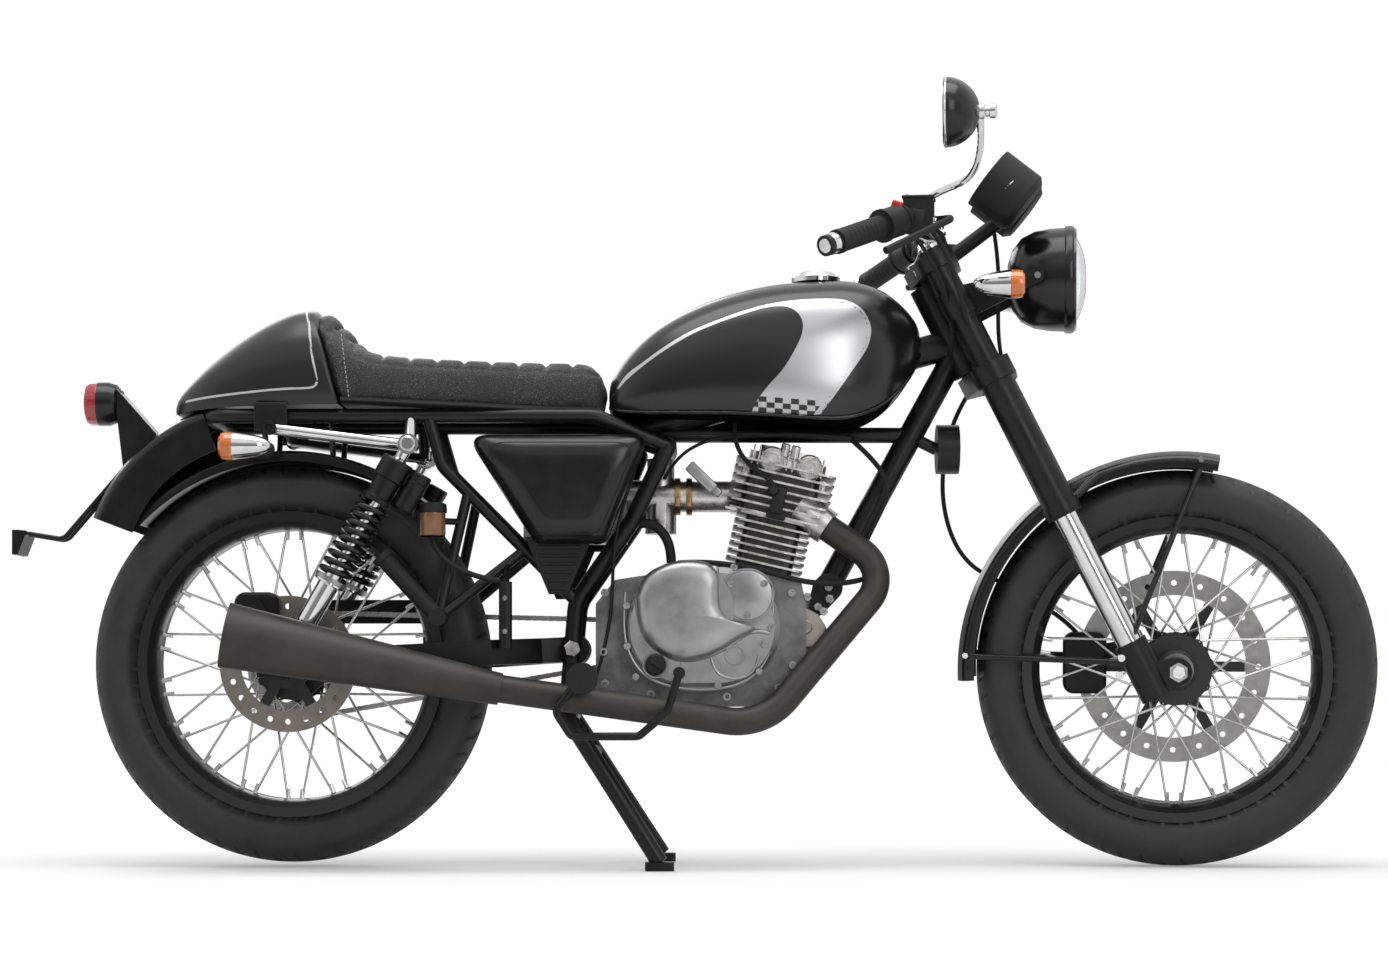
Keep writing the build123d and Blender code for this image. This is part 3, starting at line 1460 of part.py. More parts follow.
with BuildPart() as gear_lever:
    cover_face = crankcase_half_width + cover_depth
    rod(
        (gear_shaft_x, cover_face - cover_edge, gear_shaft_z),
        (gear_shaft_x, gear_lever_y, gear_shaft_z),
        pedal_bar_radius,
    )
    bent_tube(
        (
            (gear_shaft_x - pedal_bar_radius, gear_lever_y, gear_shaft_z),
            (gear_shaft_x + 4 * pedal_bar_radius, gear_lever_y, gear_shaft_z - 2 * pedal_bar_radius),
            (gear_pad_x, gear_lever_y, gear_pad_z),
        ),
        2 * pedal_bar_radius,
        pedal_bar_radius,
    )
    rod(
        (gear_pad_x, gear_lever_y, gear_pad_z),
        (gear_pad_x, gear_lever_y + gear_pad_length, gear_pad_z),
        1.5 * pedal_bar_radius,
    )
    add(generator_cover.part, mode=Mode.SUBTRACT)
with BuildPart() as foot_controls:
    add(brake_pedal.part)
    add(gear_lever.part)
pieces["foot_controls"] = foot_controls

# Rear brake: master cylinder, fluid bottle and caliper
with BuildPart() as rear_hydraulics:
    bottle = Vector(fluid_reservoir_x, -fluid_reservoir_y, fluid_reservoir_z)
    half = Vector(0, 0, fluid_reservoir_height / 2)
    rod(bottle - half, bottle + 0.55 * half, fluid_reservoir_radius)
    rod(bottle + 0.55 * half, bottle + half, 1.1 * fluid_reservoir_radius)
    stay_foot = Vector(peg_bracket_x, -peg_bracket_y, peg_bracket_z)
    stay_head = strut_place(bracket_stay_rear_z, -1)
    stay_share = (bracket_stay_rear_z - fluid_reservoir_z) / (bracket_stay_rear_z - peg_bracket_z)
    rod(bottle, stay_head + (stay_foot - stay_head) * stay_share, cut_overrun)
    add(struts.part, mode=Mode.SUBTRACT)
    master = Vector(rear_master_x, -rear_master_y, rear_master_z)
    half = Vector(0, 0, rear_master_length / 2)
    rod(master - half, master + half, rear_master_radius)
    stay_head = strut_place(bracket_stay_front_z, -1)
    hold_share = (stay_head.X - rear_master_x) / (stay_head.X - stay_foot.X)
    rod(master + half * 0.8, stay_head + (stay_foot - stay_head) * hold_share, cut_overrun)
    add(struts.part, mode=Mode.SUBTRACT)
pieces["rear_hydraulics"] = rear_hydraulics

with BuildPart() as horn:
    horn_middle = Vector(horn_x, 0, horn_z)
    rod(horn_middle, horn_middle + Vector(horn_depth, 0, 0), horn_radius)
    rod(horn_middle - Vector(horn_depth, 0, -horn_depth / 2), horn_middle, horn_radius / 4)
    add(frame_spine.part, mode=Mode.SUBTRACT)
pieces["horn"] = horn


def built_caliper(axle, side, disc_offset, disc_radius, x, z, half_length, half_height, half_width):
    """A caliper block with a slot that the disc runs through."""
    with BuildPart() as block:
        with BuildSketch(Plane.XZ.offset(-side * disc_offset)) as outline:
            with Locations((x, z)):
                RectangleRounded(2 * half_length, 2 * half_height, half_length / 2)
        extrude(to_extrude=outline.sketch, amount=half_width, both=True)
        chamfer(block.faces().sort_by(Axis.Y)[-1].edges(), half_width / 5)
        chamfer(block.faces().sort_by(Axis.Y)[0].edges(), half_width / 5)
        slot_half = disc_thickness / 2 + disc_clearance
        with BuildSketch(Plane.XZ.offset(-side * disc_offset)) as slot:
            with Locations((axle.X, axle.Z)):
                Circle(disc_radius + disc_clearance)
        extrude(to_extrude=slot.sketch, amount=slot_half, both=True, mode=Mode.SUBTRACT)
    return block


# Rear caliper, above the disc on a bracket round the axle
rear_caliper_angle_place = around(
    rear_axle, rear_disc_radius - rear_caliper_half_height / 3, rear_caliper_angle
)
with BuildPart() as rear_caliper:
    block = built_caliper(
        rear_axle,
        -1,
        rear_disc_offset,
        rear_disc_radius,
        rear_caliper_angle_place.X,
        rear_caliper_angle_place.Z,
        rear_caliper_half_length,
        rear_caliper_half_height,
        rear_caliper_half_width,
    )
    add(block.part)
    plate_y = -(arm_in + rear_disc_offset + rear_caliper_half_width) / 2
    link_plate(
        ((rear_axle.X, rear_axle.Z), (rear_caliper_angle_place.X, rear_caliper_angle_place.Z)),
        (1.6 * axle_nut_radius, rear_caliper_half_height / 2),
        plate_y,
        arm_in - rear_disc_offset - rear_caliper_half_width,
    )
    add(rear_axle_piece.part, mode=Mode.SUBTRACT)
    add(swingarm.part, mode=Mode.SUBTRACT)
pieces["rear_caliper"] = rear_caliper

# Fork: feet, stanchions, tubes and the clamps joined by the stem
with BuildPart() as fork_feet:
    for side in (-1, 1):
        leg_y = side * fork_leg_half_track
        rod(
            on_fork(fork_foot_low, leg_offset, leg_y), on_fork(fork_foot_high, leg_offset, leg_y), foot_radius
        )
        leg_place = on_fork(0, leg_offset)
        foot_place = on_fork(fork_foot_low / 2, leg_offset)
        link_plate(
            ((front_axle.X, front_axle.Z), (foot_place.X, foot_place.Z)),
            (1.4 * axle_nut_radius, foot_radius),
            leg_y,
            1.2 * foot_radius,
        )
    axle_reach = Vector(0, 2 * fork_leg_half_track, 0)
    rod(front_axle - axle_reach, front_axle + axle_reach, axle_radius, Mode.SUBTRACT)
steered_pieces["fork_feet"] = fork_feet

foot_inner = fork_leg_half_track - 0.6 * foot_radius
foot_outer = fork_leg_half_track + 0.6 * foot_radius
front_axle_piece = built_axle(
    front_axle,
    foot_inner,
    foot_outer,
    front_disc_offset + disc_thickness / 2 + running_gap,
    front_hub_half_length + running_gap,
)
steered_pieces["front_axle"] = front_axle_piece

with BuildPart() as stanchions:
    for side in (-1, 1):
        leg_y = side * fork_leg_half_track
        rod(
            on_fork(fork_foot_high, leg_offset, leg_y),
            on_fork(stanchion_high, leg_offset, leg_y),
            stanchion_radius,
        )
steered_pieces["stanchions"] = stanchions

clamp_bottom = lower_clamp_centre - lower_clamp_height / 2
clamp_top = upper_clamp_centre + upper_clamp_height / 2
with BuildPart() as fork_tubes:
    for side in (-1, 1):
        leg_y = side * fork_leg_half_track
        rod(
            on_fork(stanchion_high, leg_offset, leg_y),
            on_fork(clamp_bottom, leg_offset, leg_y),
            outer_tube_radius,
        )
        rod(
            on_fork(stanchion_high, leg_offset, leg_y),
            on_fork(clamp_top + fork_cap_height, leg_offset, leg_y),
            upper_tube_radius,
        )
        seal_top = stanchion_high + 2 * fork_cap_height
        rod(
            on_fork(stanchion_high, leg_offset, leg_y),
            on_fork(seal_top, leg_offset, leg_y),
            1.12 * outer_tube_radius,
        )
steered_pieces["fork_tubes"] = fork_tubes


def fork_plane(station):
    """A plane square to the steering axis, its x ahead and its y to the left."""
    return Plane(origin=on_fork(station), x_dir=tuple(steering_forward), z_dir=tuple(steering_up))


def clamp_outline(plane, stem_boss, leg_boss):
    """The outline of a fork clamp round the stem and both legs."""
    with BuildSketch(plane) as outline:
        Circle(stem_boss)
        with Locations((leg_offset, fork_leg_half_track), (leg_offset, -fork_leg_half_track)):
            Circle(leg_boss)
        make_hull()
    return outline.sketch


with BuildPart() as fork_clamps:
    lower = clamp_outline(fork_plane(clamp_bottom), clamp_stem_boss_radius, clamp_boss_radius)
    extrude(to_extrude=lower, amount=lower_clamp_height)
    upper = clamp_outline(
        fork_plane(clamp_top - upper_clamp_height), clamp_stem_boss_radius, 0.92 * clamp_boss_radius
    )
    extrude(to_extrude=upper, amount=upper_clamp_height)
    rod(on_fork(clamp_bottom), on_fork(clamp_top + fork_cap_height), stem_radius)
    rod(on_fork(clamp_top), on_fork(clamp_top + fork_cap_height / 2), 1.3 * stem_radius)
    for side in (-1, 1):
        riser_foot = on_fork(clamp_top - upper_clamp_height / 2, 0, side * bar_clamp_half_track)
        riser_top = Vector(bar_centre_x, side * bar_clamp_half_track, bar_centre_z)
        rod(riser_foot, riser_top, 1.3 * bar_radius)
        half = Vector(0, bar_radius, 0)
        rod(riser_top - half, riser_top + half, 1.8 * bar_radius)
    bar_half = Vector(0, bar_bend_y, 0)
    bar_centre = Vector(bar_centre_x, 0, bar_centre_z)
    rod(bar_centre - bar_half, bar_centre + bar_half, bar_radius, Mode.SUBTRACT)
    add(fork_tubes.part, mode=Mode.SUBTRACT)
steered_pieces["fork_clamps"] = fork_clamps

# Handlebar with grips, switches, levers and the front brake's master cylinder
with BuildPart() as handlebar:
    bent_tube(
        (
            (grip_outer_x, -grip_outer_y, grip_outer_z),
            (grip_inner_x, -grip_inner_y, grip_inner_z),
            (bar_centre_x, -bar_bend_y, bar_centre_z),
            (bar_centre_x, bar_bend_y, bar_centre_z),
            (grip_inner_x, grip_inner_y, grip_inner_z),
            (grip_outer_x, grip_outer_y, grip_outer_z),
        ),
        3 * bar_radius,
        bar_radius,
    )
steered_pieces["handlebar"] = handlebar

with BuildPart() as bar_controls:
    for side in (-1, 1):
        inner = Vector(grip_inner_x, side * grip_inner_y, grip_inner_z)
        outer = Vector(grip_outer_x, side * grip_outer_y, grip_outer_z)
        run = (outer - inner).normalized()
        switch_start = inner + run * bar_radius
        rod(inner - run * bar_radius, switch_start, 1.5 * bar_radius)
        grip_start = switch_start + run * switch_length
        rod(switch_start, grip_start, switch_radius)
        rod(grip_start, grip_start + run * bar_radius / 2, 1.5 * grip_radius)
        rod(grip_start, outer - run * bar_radius / 2, grip_radius)
        rod(outer - run * bar_radius / 2, outer + run * bar_end_length, bar_end_radius)
        pivot = inner + Vector(2.2 * switch_radius, -side * switch_radius, 0)
        knee = pivot + Vector(switch_radius, side * switch_radius, 0)
        tip = outer + Vector(3 * switch_radius, -side * switch_radius, -bar_radius)
        bent_tube((inner, pivot, knee, tip), switch_radius / 2, lever_radius)
    master = Vector(grip_inner_x + brake_master_half_x, brake_master_half_y - grip_inner_y, grip_inner_z)
    with BuildSketch(Plane.XY.offset(grip_inner_z - brake_master_height / 4)):
        with Locations((master.X, master.Y)):
            Rectangle(2 * brake_master_half_x, 2 * brake_master_half_y)
    extrude(amount=brake_master_height)
    add(handlebar.part, mode=Mode.SUBTRACT)
steered_pieces["bar_controls"] = bar_controls

with BuildPart() as mirror_piece:
    mirror_centre = Vector(mirror_x, -mirror_y, mirror_z)
    stem_foot = Vector(
        master.X + brake_master_half_x / 2, master.Y, grip_inner_z + 0.75 * brake_master_height
    )
    bent_tube(
        (
            stem_foot,
            stem_foot + Vector(2 * brake_master_half_x, -brake_master_half_x, brake_master_half_x / 2),
            (mirror_x + mirror_depth, -mirror_y + mirror_half_width / 4, mirror_z),
            mirror_centre + Vector(mirror_depth / 2, 0, 0),
        ),
        1.4 * mirror_stem_radius,
        mirror_stem_radius,
    )
    with BuildSketch(Plane(origin=mirror_centre, x_dir=(0, 1, 0), z_dir=(1, 0, 0))):
        Ellipse(mirror_half_width, mirror_half_height)
    with BuildSketch(
        Plane(origin=mirror_centre + Vector(mirror_depth / 2, 0, 0), x_dir=(0, 1, 0), z_dir=(1, 0, 0))
    ):
        Ellipse(0.72 * mirror_half_width, 0.72 * mirror_half_height)
    with BuildSketch(
        Plane(origin=mirror_centre + Vector(mirror_depth, 0, 0), x_dir=(0, 1, 0), z_dir=(1, 0, 0))
    ):
        Ellipse(0.2 * mirror_half_width, 0.2 * mirror_half_height)
    loft()
    add(bar_controls.part, mode=Mode.SUBTRACT)
steered_pieces["mirror"] = mirror_piece

# Instruments on a bracket from the upper clamp
face_up = Vector(-cos(radians(instrument_tilt_angle)), 0, sin(radians(instrument_tilt_angle)))
with BuildPart() as instruments:
    for side in (-1, 1):
        middle = Vector(instrument_x, side * instrument_half_track, instrument_z)
        low = middle - face_up * instrument_depth / 2
        rod(low, middle + face_up * instrument_depth / 2, instrument_radius)
    chamfer(instruments.faces().filter_by(GeomType.PLANE).sort_by(Axis.X)[-1].edges(), instrument_radius / 6)
    chamfer(instruments.faces().filter_by(GeomType.PLANE).sort_by(Axis.X)[-1].edges(), instrument_radius / 6)
    bracket_low = on_fork(clamp_top - upper_clamp_height / 2, leg_offset)
    bracket_high = Vector(instrument_x, 0, instrument_z) - face_up * instrument_depth / 3
    rod(bracket_low, bracket_high, bar_radius)
    arm = Vector(0, instrument_half_track, 0)
    rod(bracket_high - arm, bracket_high + arm, bar_radius)
    add(fork_clamps.part, mode=Mode.SUBTRACT)
steered_pieces["instruments"] = instruments

# Headlight: a domed bowl, its ring, and the bulged lens, on ears from the fork tubes
lamp_axis = Axis((headlight_x, 0, headlight_z), (1, 0, 0))
lens_radius = headlight_radius - headlight_rim_wall
lens_sphere = (lens_radius**2 + headlight_lens_bulge**2) / (2 * headlight_lens_bulge)
lens_centre_x = headlight_x + headlight_lens_bulge - lens_sphere
lens_angle = asin(lens_radius / lens_sphere)
with BuildPart() as headlight:
    with BuildSketch(Plane.XZ):
        with BuildLine():
            rim_back = headlight_x - headlight_rim_depth
            dome_back = headlight_x - headlight_shell_depth
            Polyline(
                (dome_back, headlight_z),
                (dome_back, headlight_z + 0.25 * headlight_radius),
            )
            ThreePointArc(
                (dome_back, headlight_z + 0.25 * headlight_radius),
                (dome_back + 0.36 * headlight_shell_depth, headlight_z + 0.76 * headlight_radius),
                (rim_back, headlight_z + headlight_radius - headlight_rim_wall),
            )
            Polyline(
                (rim_back, headlight_z + headlight_radius - headlight_rim_wall),
                (rim_back, headlight_z + headlight_radius),
                (headlight_x, headlight_z + headlight_radius),
                (headlight_x, headlight_z + headlight_radius - headlight_rim_wall),
            )
            ThreePointArc(
                (headlight_x, headlight_z + lens_radius),
                (lens_centre_x + lens_sphere * cos(lens_angle / 2), headlight_z + lens_sphere * sin(lens_angle / 2)),
                (headlight_x + headlight_lens_bulge, headlight_z),
            )
            Line((headlight_x + headlight_lens_bulge, headlight_z), (dome_back, headlight_z))
        make_face()
    revolve(axis=lamp_axis)
steered_pieces["headlight"] = headlight

ear_rear = on_fork(lower_clamp_centre + ear_station, leg_offset)
ear_y = headlight_radius + headlight_ear_thickness
with BuildPart() as headlight_ears:
    for side in (-1, 1):
        link_plate(
            ((ear_rear.X, ear_rear.Z), (headlight_x - headlight_shell_depth / 2, headlight_z)),
            (upper_tube_radius + headlight_ear_thickness, upper_tube_radius / 2),
            side * ear_y,
            headlight_ear_thickness,
        )
        bolt_x = headlight_x - headlight_shell_depth / 2
        bolt_end = Vector(bolt_x, side * ear_y, headlight_z)
        rod(bolt_end - Vector(0, side * headlight_radius / 2, 0), bolt_end, headlight_ear_thickness)
        rod(
            on_fork(
                lower_clamp_centre + ear_station - upper_tube_radius, leg_offset, side * fork_leg_half_track
            ),
            on_fork(
                lower_clamp_centre + ear_station + upper_tube_radius, leg_offset, side * fork_leg_half_track
            ),
            upper_tube_radius + headlight_ear_thickness / 2,
        )
    add(fork_tubes.part, mode=Mode.SUBTRACT)
    add(headlight.part, mode=Mode.SUBTRACT)
steered_pieces["headlight_ears"] = headlight_ears

with BuildPart() as front_indicators:
    for side in (-1, 1):
        stem_inner = side * (ear_y + headlight_ear_thickness / 2)
        lamp = built_indicator(front_indicator_x, side * front_indicator_y, front_indicator_z, 1, stem_inner)
        add(lamp.part)
    add(headlight_ears.part, mode=Mode.SUBTRACT)
    add(fork_tubes.part, mode=Mode.SUBTRACT)
steered_pieces["front_indicators"] = front_indicators

# Front mudguard with its stays
with BuildPart() as front_guard:
    shell = built_guard(
        front_axle,
        front_guard_radius,
        front_guard_half_width,
        front_guard_wall,
        front_guard_lip,
        front_guard_lip,
        front_guard_start_angle,
        front_guard_end_angle,
    )
    add(shell.part)
    for side in (-1, 1):
        leg_y = side * (fork_leg_half_track + 0.6 * foot_radius)
        for angle, station in ((front_stay_angle, fork_foot_high), (rear_stay_angle, 0)):
            hold = around(
                front_axle, front_guard_radius - front_guard_lip, angle, side * front_guard_half_width
            )
            rod(hold, on_fork(station, leg_offset, leg_y), guard_stay_radius)
        bridge = around(
            front_axle,
            front_guard_radius - front_guard_lip / 2,
            guard_bridge_angle,
            side * front_guard_half_width,
        )
        rod(
            bridge,
            on_fork(guard_bridge_station, leg_offset, side * fork_leg_half_track),
            1.5 * guard_stay_radius,
        )
    add(fork_feet.part, mode=Mode.SUBTRACT)
    add(stanchions.part, mode=Mode.SUBTRACT)
    add(fork_tubes.part, mode=Mode.SUBTRACT)
steered_pieces["front_guard"] = front_guard

with BuildPart() as front_caliper:
    block = built_caliper(
        front_axle,
        1,
        front_disc_offset,
        front_disc_radius,
        front_caliper_x,
        front_caliper_z,
        front_caliper_half_length,
        front_caliper_half_height,
        front_caliper_half_width,
    )
    add(block.part)
    leg_place = on_fork(fork_foot_high / 2, leg_offset)
    link_plate(
        ((front_caliper_x, front_caliper_z), (leg_place.X, leg_place.Z)),
        (front_caliper_half_height / 2, foot_radius / 2),
        fork_leg_half_track - foot_radius / 2,
        foot_radius / 2,
    )
    add(fork_feet.part, mode=Mode.SUBTRACT)
    add(stanchions.part, mode=Mode.SUBTRACT)
    add(front_guard.part, mode=Mode.SUBTRACT)
steered_pieces["front_caliper"] = front_caliper

# Centre stand, down: two splayed legs with feet, a cross bar and its pivot pin
stand_pivot = Vector(stand_pivot_x, 0, stand_pivot_z)
stand_foot = Vector(stand_foot_x, 0, stand_leg_radius)
stand_run = stand_foot - stand_pivot
with BuildPart() as centre_stand:
    for side in (-1, 1):
        hip = stand_pivot + Vector(0, side * stand_pivot_half_track, 0)
        foot = stand_foot + Vector(0, side * stand_foot_half_track, 0)
        rod(hip, foot, stand_leg_radius)
        eye = Vector(0, stand_eye_length / 2, 0)
        rod(hip - eye, hip + eye, stand_pivot_radius)
        with BuildSketch(Plane.XY):
            with Locations((stand_foot_x, side * stand_foot_half_track)):
                RectangleRounded(stand_foot_length, 2 * stand_leg_radius, stand_leg_radius / 2)
        extrude(amount=stand_leg_radius)
    cross = stand_pivot + stand_run * stand_cross_share
    spread = stand_pivot_half_track + (stand_foot_half_track - stand_pivot_half_track) * stand_cross_share
    rod(cross - Vector(0, spread, 0), cross + Vector(0, spread, 0), 0.8 * stand_leg_radius)
    pin_end = Vector(0, stand_pivot_half_track, 0)
    rod(stand_pivot - pin_end, stand_pivot + pin_end, stand_pin_radius)
    with BuildSketch(Plane.XY.offset(-tyre_radius)):
        with Locations((stand_foot_x, 0)):
            Rectangle(tyre_radius, 4 * stand_foot_half_track)
    extrude(amount=tyre_radius, mode=Mode.SUBTRACT)
pieces["centre_stand"] = centre_stand

os.makedirs("parts", exist_ok=True)
for name, piece in pieces.items():
    piece.part.label = name
    export_step(piece.part, f"parts/{name}.step")
for name, piece in steered_pieces.items():
    turned = piece.part.rotate(steering_axis, steering_rest_angle)
    turned.label = name
    export_step(turned, f"parts/{name}.step")
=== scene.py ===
import math
import bpy
import bmesh
from mathutils import Matrix, Vector


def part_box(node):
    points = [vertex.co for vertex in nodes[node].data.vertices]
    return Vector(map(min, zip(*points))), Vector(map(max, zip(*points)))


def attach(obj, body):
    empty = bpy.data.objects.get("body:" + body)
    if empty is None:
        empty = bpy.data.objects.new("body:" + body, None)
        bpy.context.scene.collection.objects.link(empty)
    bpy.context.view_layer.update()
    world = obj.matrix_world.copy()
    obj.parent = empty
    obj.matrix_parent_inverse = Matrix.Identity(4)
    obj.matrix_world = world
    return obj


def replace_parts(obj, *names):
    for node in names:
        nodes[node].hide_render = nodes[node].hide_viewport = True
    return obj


# A cafe racer motorcycle in metres: X forward, Y to the rider's left, Z up.
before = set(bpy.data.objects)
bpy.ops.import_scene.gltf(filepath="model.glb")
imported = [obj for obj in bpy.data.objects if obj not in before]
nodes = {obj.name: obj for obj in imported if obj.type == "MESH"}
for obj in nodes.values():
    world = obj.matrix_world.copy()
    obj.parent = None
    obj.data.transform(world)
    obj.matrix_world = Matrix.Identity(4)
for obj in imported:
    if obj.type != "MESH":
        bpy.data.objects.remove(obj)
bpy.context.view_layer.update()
MM = 0.001

# Sizes that the drawn pieces share with the frame, in millimetres
TYRE_RADIUS = 306.0
FRONT_TYRE_WIDTH = 115.0
REAR_TYRE_WIDTH = 128.0
RIM_FLANGE_RADIUS = 235.0
REAR_AXLE = Vector((-619.4, 0.0, 312.0))
FORK_FOOT = Vector((660.95, 0.0, 306.0))
RAKE = math.radians(27.0)
STEERED_BY = math.radians(-8.0)
FORK_UP = Vector((-math.sin(RAKE), 0.0, math.cos(RAKE)))
FORK_FORWARD = Vector((math.cos(RAKE), 0.0, math.sin(RAKE)))
LEG_Y = 95.0
LEG_FORWARD = 30.0
RIGHT, LEFT = Vector((0, -1, 0)), Vector((0, 1, 0))
AHEAD, BACK, UP = Vector((1, 0, 0)), Vector((-1, 0, 0)), Vector((0, 0, 1))

# The leaning engine: the middle of its deck, and the fins that stand on it
DECK_LEAN_DEGREES = 13
DECK_LEAN = math.radians(DECK_LEAN_DEGREES)
DECK = Vector((104, 0, 452))
DECK_UP = Vector((math.sin(DECK_LEAN), 0, math.cos(DECK_LEAN)))
DECK_ALONG = Vector((math.cos(DECK_LEAN), 0, -math.sin(DECK_LEAN)))
FIN_THICKNESS = 3.4
FIN_HALF_LENGTH = 58.6
FIN_HALF_WIDTH = 55.6
# Columns: lowest height over the deck, highest height, pitch of the fins
FIN_BANDS = ((0, 86, 11.83), (86, 166, 12.8))


def steering_turn():
    """The turn of the steered pieces from straight ahead to how the machine is parked."""
    pivot = Matrix.Translation(FORK_FOOT * MM)
    return pivot @ Matrix.Rotation(STEERED_BY, 4, FORK_UP) @ pivot.inverted()


STEERED = steering_turn()


def on_fork(station, forward=0.0, left=0.0):
    """A place by its distance up the steering axis, ahead of it and to the left, in millimetres."""
    return FORK_FOOT + FORK_UP * station + FORK_FORWARD * forward + Vector((0, left, 0))


FRONT_AXLE = Vector((744.0, 0.0, 306.0))


# Materials
def material(name):
    """A new node material with its shader."""
    made = bpy.data.materials.new(name)
    made.use_nodes = True
    tree = made.node_tree
    shader = tree.nodes["Principled BSDF"]
    return made, tree, shader


def add_node(tree, kind, **values):
    """A shader node with its settings."""
    node = tree.nodes.new(kind)
    for key, value in values.items():
        setattr(node, key, value)
    return node


def math_node(tree, operation, first, second=None, third=None):
    """A maths node's output, each input a number or another output."""
    node = add_node(tree, "ShaderNodeMath", operation=operation)
    for index, value in enumerate((first, second, third)):
        if value is None:
            continue
        if isinstance(value, (int, float)):
            node.inputs[index].default_value = value
        else:
            tree.links.new(value, node.inputs[index])
    return node.outputs[0]


def object_output(tree):
    """The shaded point's place in the object's own space, in metres."""
    return add_node(tree, "ShaderNodeTexCoord").outputs["Object"]


def object_axes(tree):
    """That place's three outputs, named X, Y and Z."""
    split = add_node(tree, "ShaderNodeSeparateXYZ")
    tree.links.new(object_output(tree), split.inputs[0])
    return split.outputs


def vector_node(tree, operation, source, value=None):
    """A vector maths node's output, its second input a constant."""
    node = add_node(tree, "ShaderNodeVectorMath", operation=operation)
    tree.links.new(source, node.inputs[0])
    if value is not None:
        node.inputs[1].default_value = value
    return node.outputs["Value" if operation in ("DOT_PRODUCT", "LENGTH") else "Vector"]


def noise_output(tree, scale, detail=3.0, roughness=0.55):
    """Noise over the object's own space, its features about one over scale in metres."""
    noise = add_node(tree, "ShaderNodeTexNoise")
    for key, value in (("Scale", scale), ("Detail", detail), ("Roughness", roughness)):
        noise.inputs[key].default_value = value
    tree.links.new(object_output(tree), noise.inputs["Vector"])
    return noise.outputs["Fac"]


def between(tree, source, low, high, start=0.35, end=0.65):
    """The source mapped from start..end to low..high."""
    node = add_node(tree, "ShaderNodeMapRange")
    for key, value in (("From Min", start), ("From Max", end), ("To Min", low), ("To Max", high)):
        node.inputs[key].default_value = value
    tree.links.new(source, node.inputs["Value"])
    return node.outputs["Result"]


def mixed(tree, factor, first, second):
    """A colour mixed from two, each a tuple or another output."""
    node = add_node(tree, "ShaderNodeMix", data_type="RGBA")
    for socket, value in ((node.inputs[6], first), (node.inputs[7], second)):
        if isinstance(value, tuple):
            socket.default_value = (*value, 1.0)
        else:
            tree.links.new(value, socket)
    tree.links.new(factor, node.inputs[0])
    return node.outputs[2]


def blended(tree, share, before, after):
    """A number mixed from two, each a number or another output."""
    rest = math_node(tree, "SUBTRACT", 1.0, share)
    shown = math_node(tree, "MULTIPLY", share, after)
    return math_node(tree, "ADD", shown, math_node(tree, "MULTIPLY", rest, before))


def bumped(tree, shader, height, strength, distance):
    """Bump from a height output, its distance in millimetres."""
    node = add_node(tree, "ShaderNodeBump")
    node.inputs["Strength"].default_value = strength
    node.inputs["Distance"].default_value = distance * MM
    tree.links.new(height, node.inputs["Height"])
    tree.links.new(node.outputs["Normal"], shader.inputs["Normal"])


def grey(level):
    """A neutral colour."""
    return (level, level, level)


COAT_ROUGHNESS = 0.06


def finish(name, dark, light, rough, metal=0.0, patch=25.0, grain=900.0, bump=0.1, coat=0.0, gleam=0.5):
    """A finish that varies between two colours and two roughnesses, with a fine grain in its bump."""
    made, tree, shader = material(name)
    shader.inputs["Specular IOR Level"].default_value = gleam
    patches = noise_output(tree, patch, 4.0, 0.6)
    grains = noise_output(tree, grain, 2.0, 0.5)
    tree.links.new(mixed(tree, between(tree, patches, 0, 1), dark, light), shader.inputs["Base Color"])
    tree.links.new(between(tree, patches, *rough), shader.inputs["Roughness"])
    shader.inputs["Metallic"].default_value = metal
    if coat:
        shader.inputs["Coat Weight"].default_value = coat
        shader.inputs["Coat Roughness"].default_value = COAT_ROUGHNESS
    bumped(tree, shader, grains, bump, 0.2)
    return made


# Columns of a finish: name, dark and light colour, roughness from and to, metal
satin_black = finish("satin_black", grey(0.005), (0.010, 0.010, 0.011), (0.30, 0.42), grain=1400, gleam=0.3)
gloss_black = finish("gloss_black", (0.005, 0.005, 0.006), (0.009, 0.009, 0.010), (0.20, 0.27), grain=300,
                     bump=0.02, gleam=0.4)
plastic_black = finish("plastic_black", grey(0.007), grey(0.013), (0.45, 0.6), grain=1800, bump=0.25,
                       gleam=0.3)
# Painted shade for faces that turn downward: darker than the paint above them and with no reflection
painted_underside_shade = finish("painted_underside_shade", grey(0.004), grey(0.007), (0.7, 0.8), grain=900, gleam=0.0)
rubber = finish("rubber", grey(0.010), grey(0.018), (0.6, 0.75), grain=1200, bump=0.2, gleam=0.3)
cast_alloy = finish("cast_alloy", (0.31, 0.31, 0.315), (0.42, 0.42, 0.425), (0.30, 0.40), 0.92, patch=18,
                    grain=1500, bump=0.35)
case_alloy = finish("case_alloy", (0.11, 0.11, 0.112), grey(0.24), (0.42, 0.56), 0.7, patch=22,
                    grain=1500, bump=0.4)
fin_alloy = finish("fin_alloy", (0.42, 0.415, 0.40), (0.72, 0.71, 0.69), (0.24, 0.38), 0.92, patch=60,
                   grain=1500, bump=0.45)


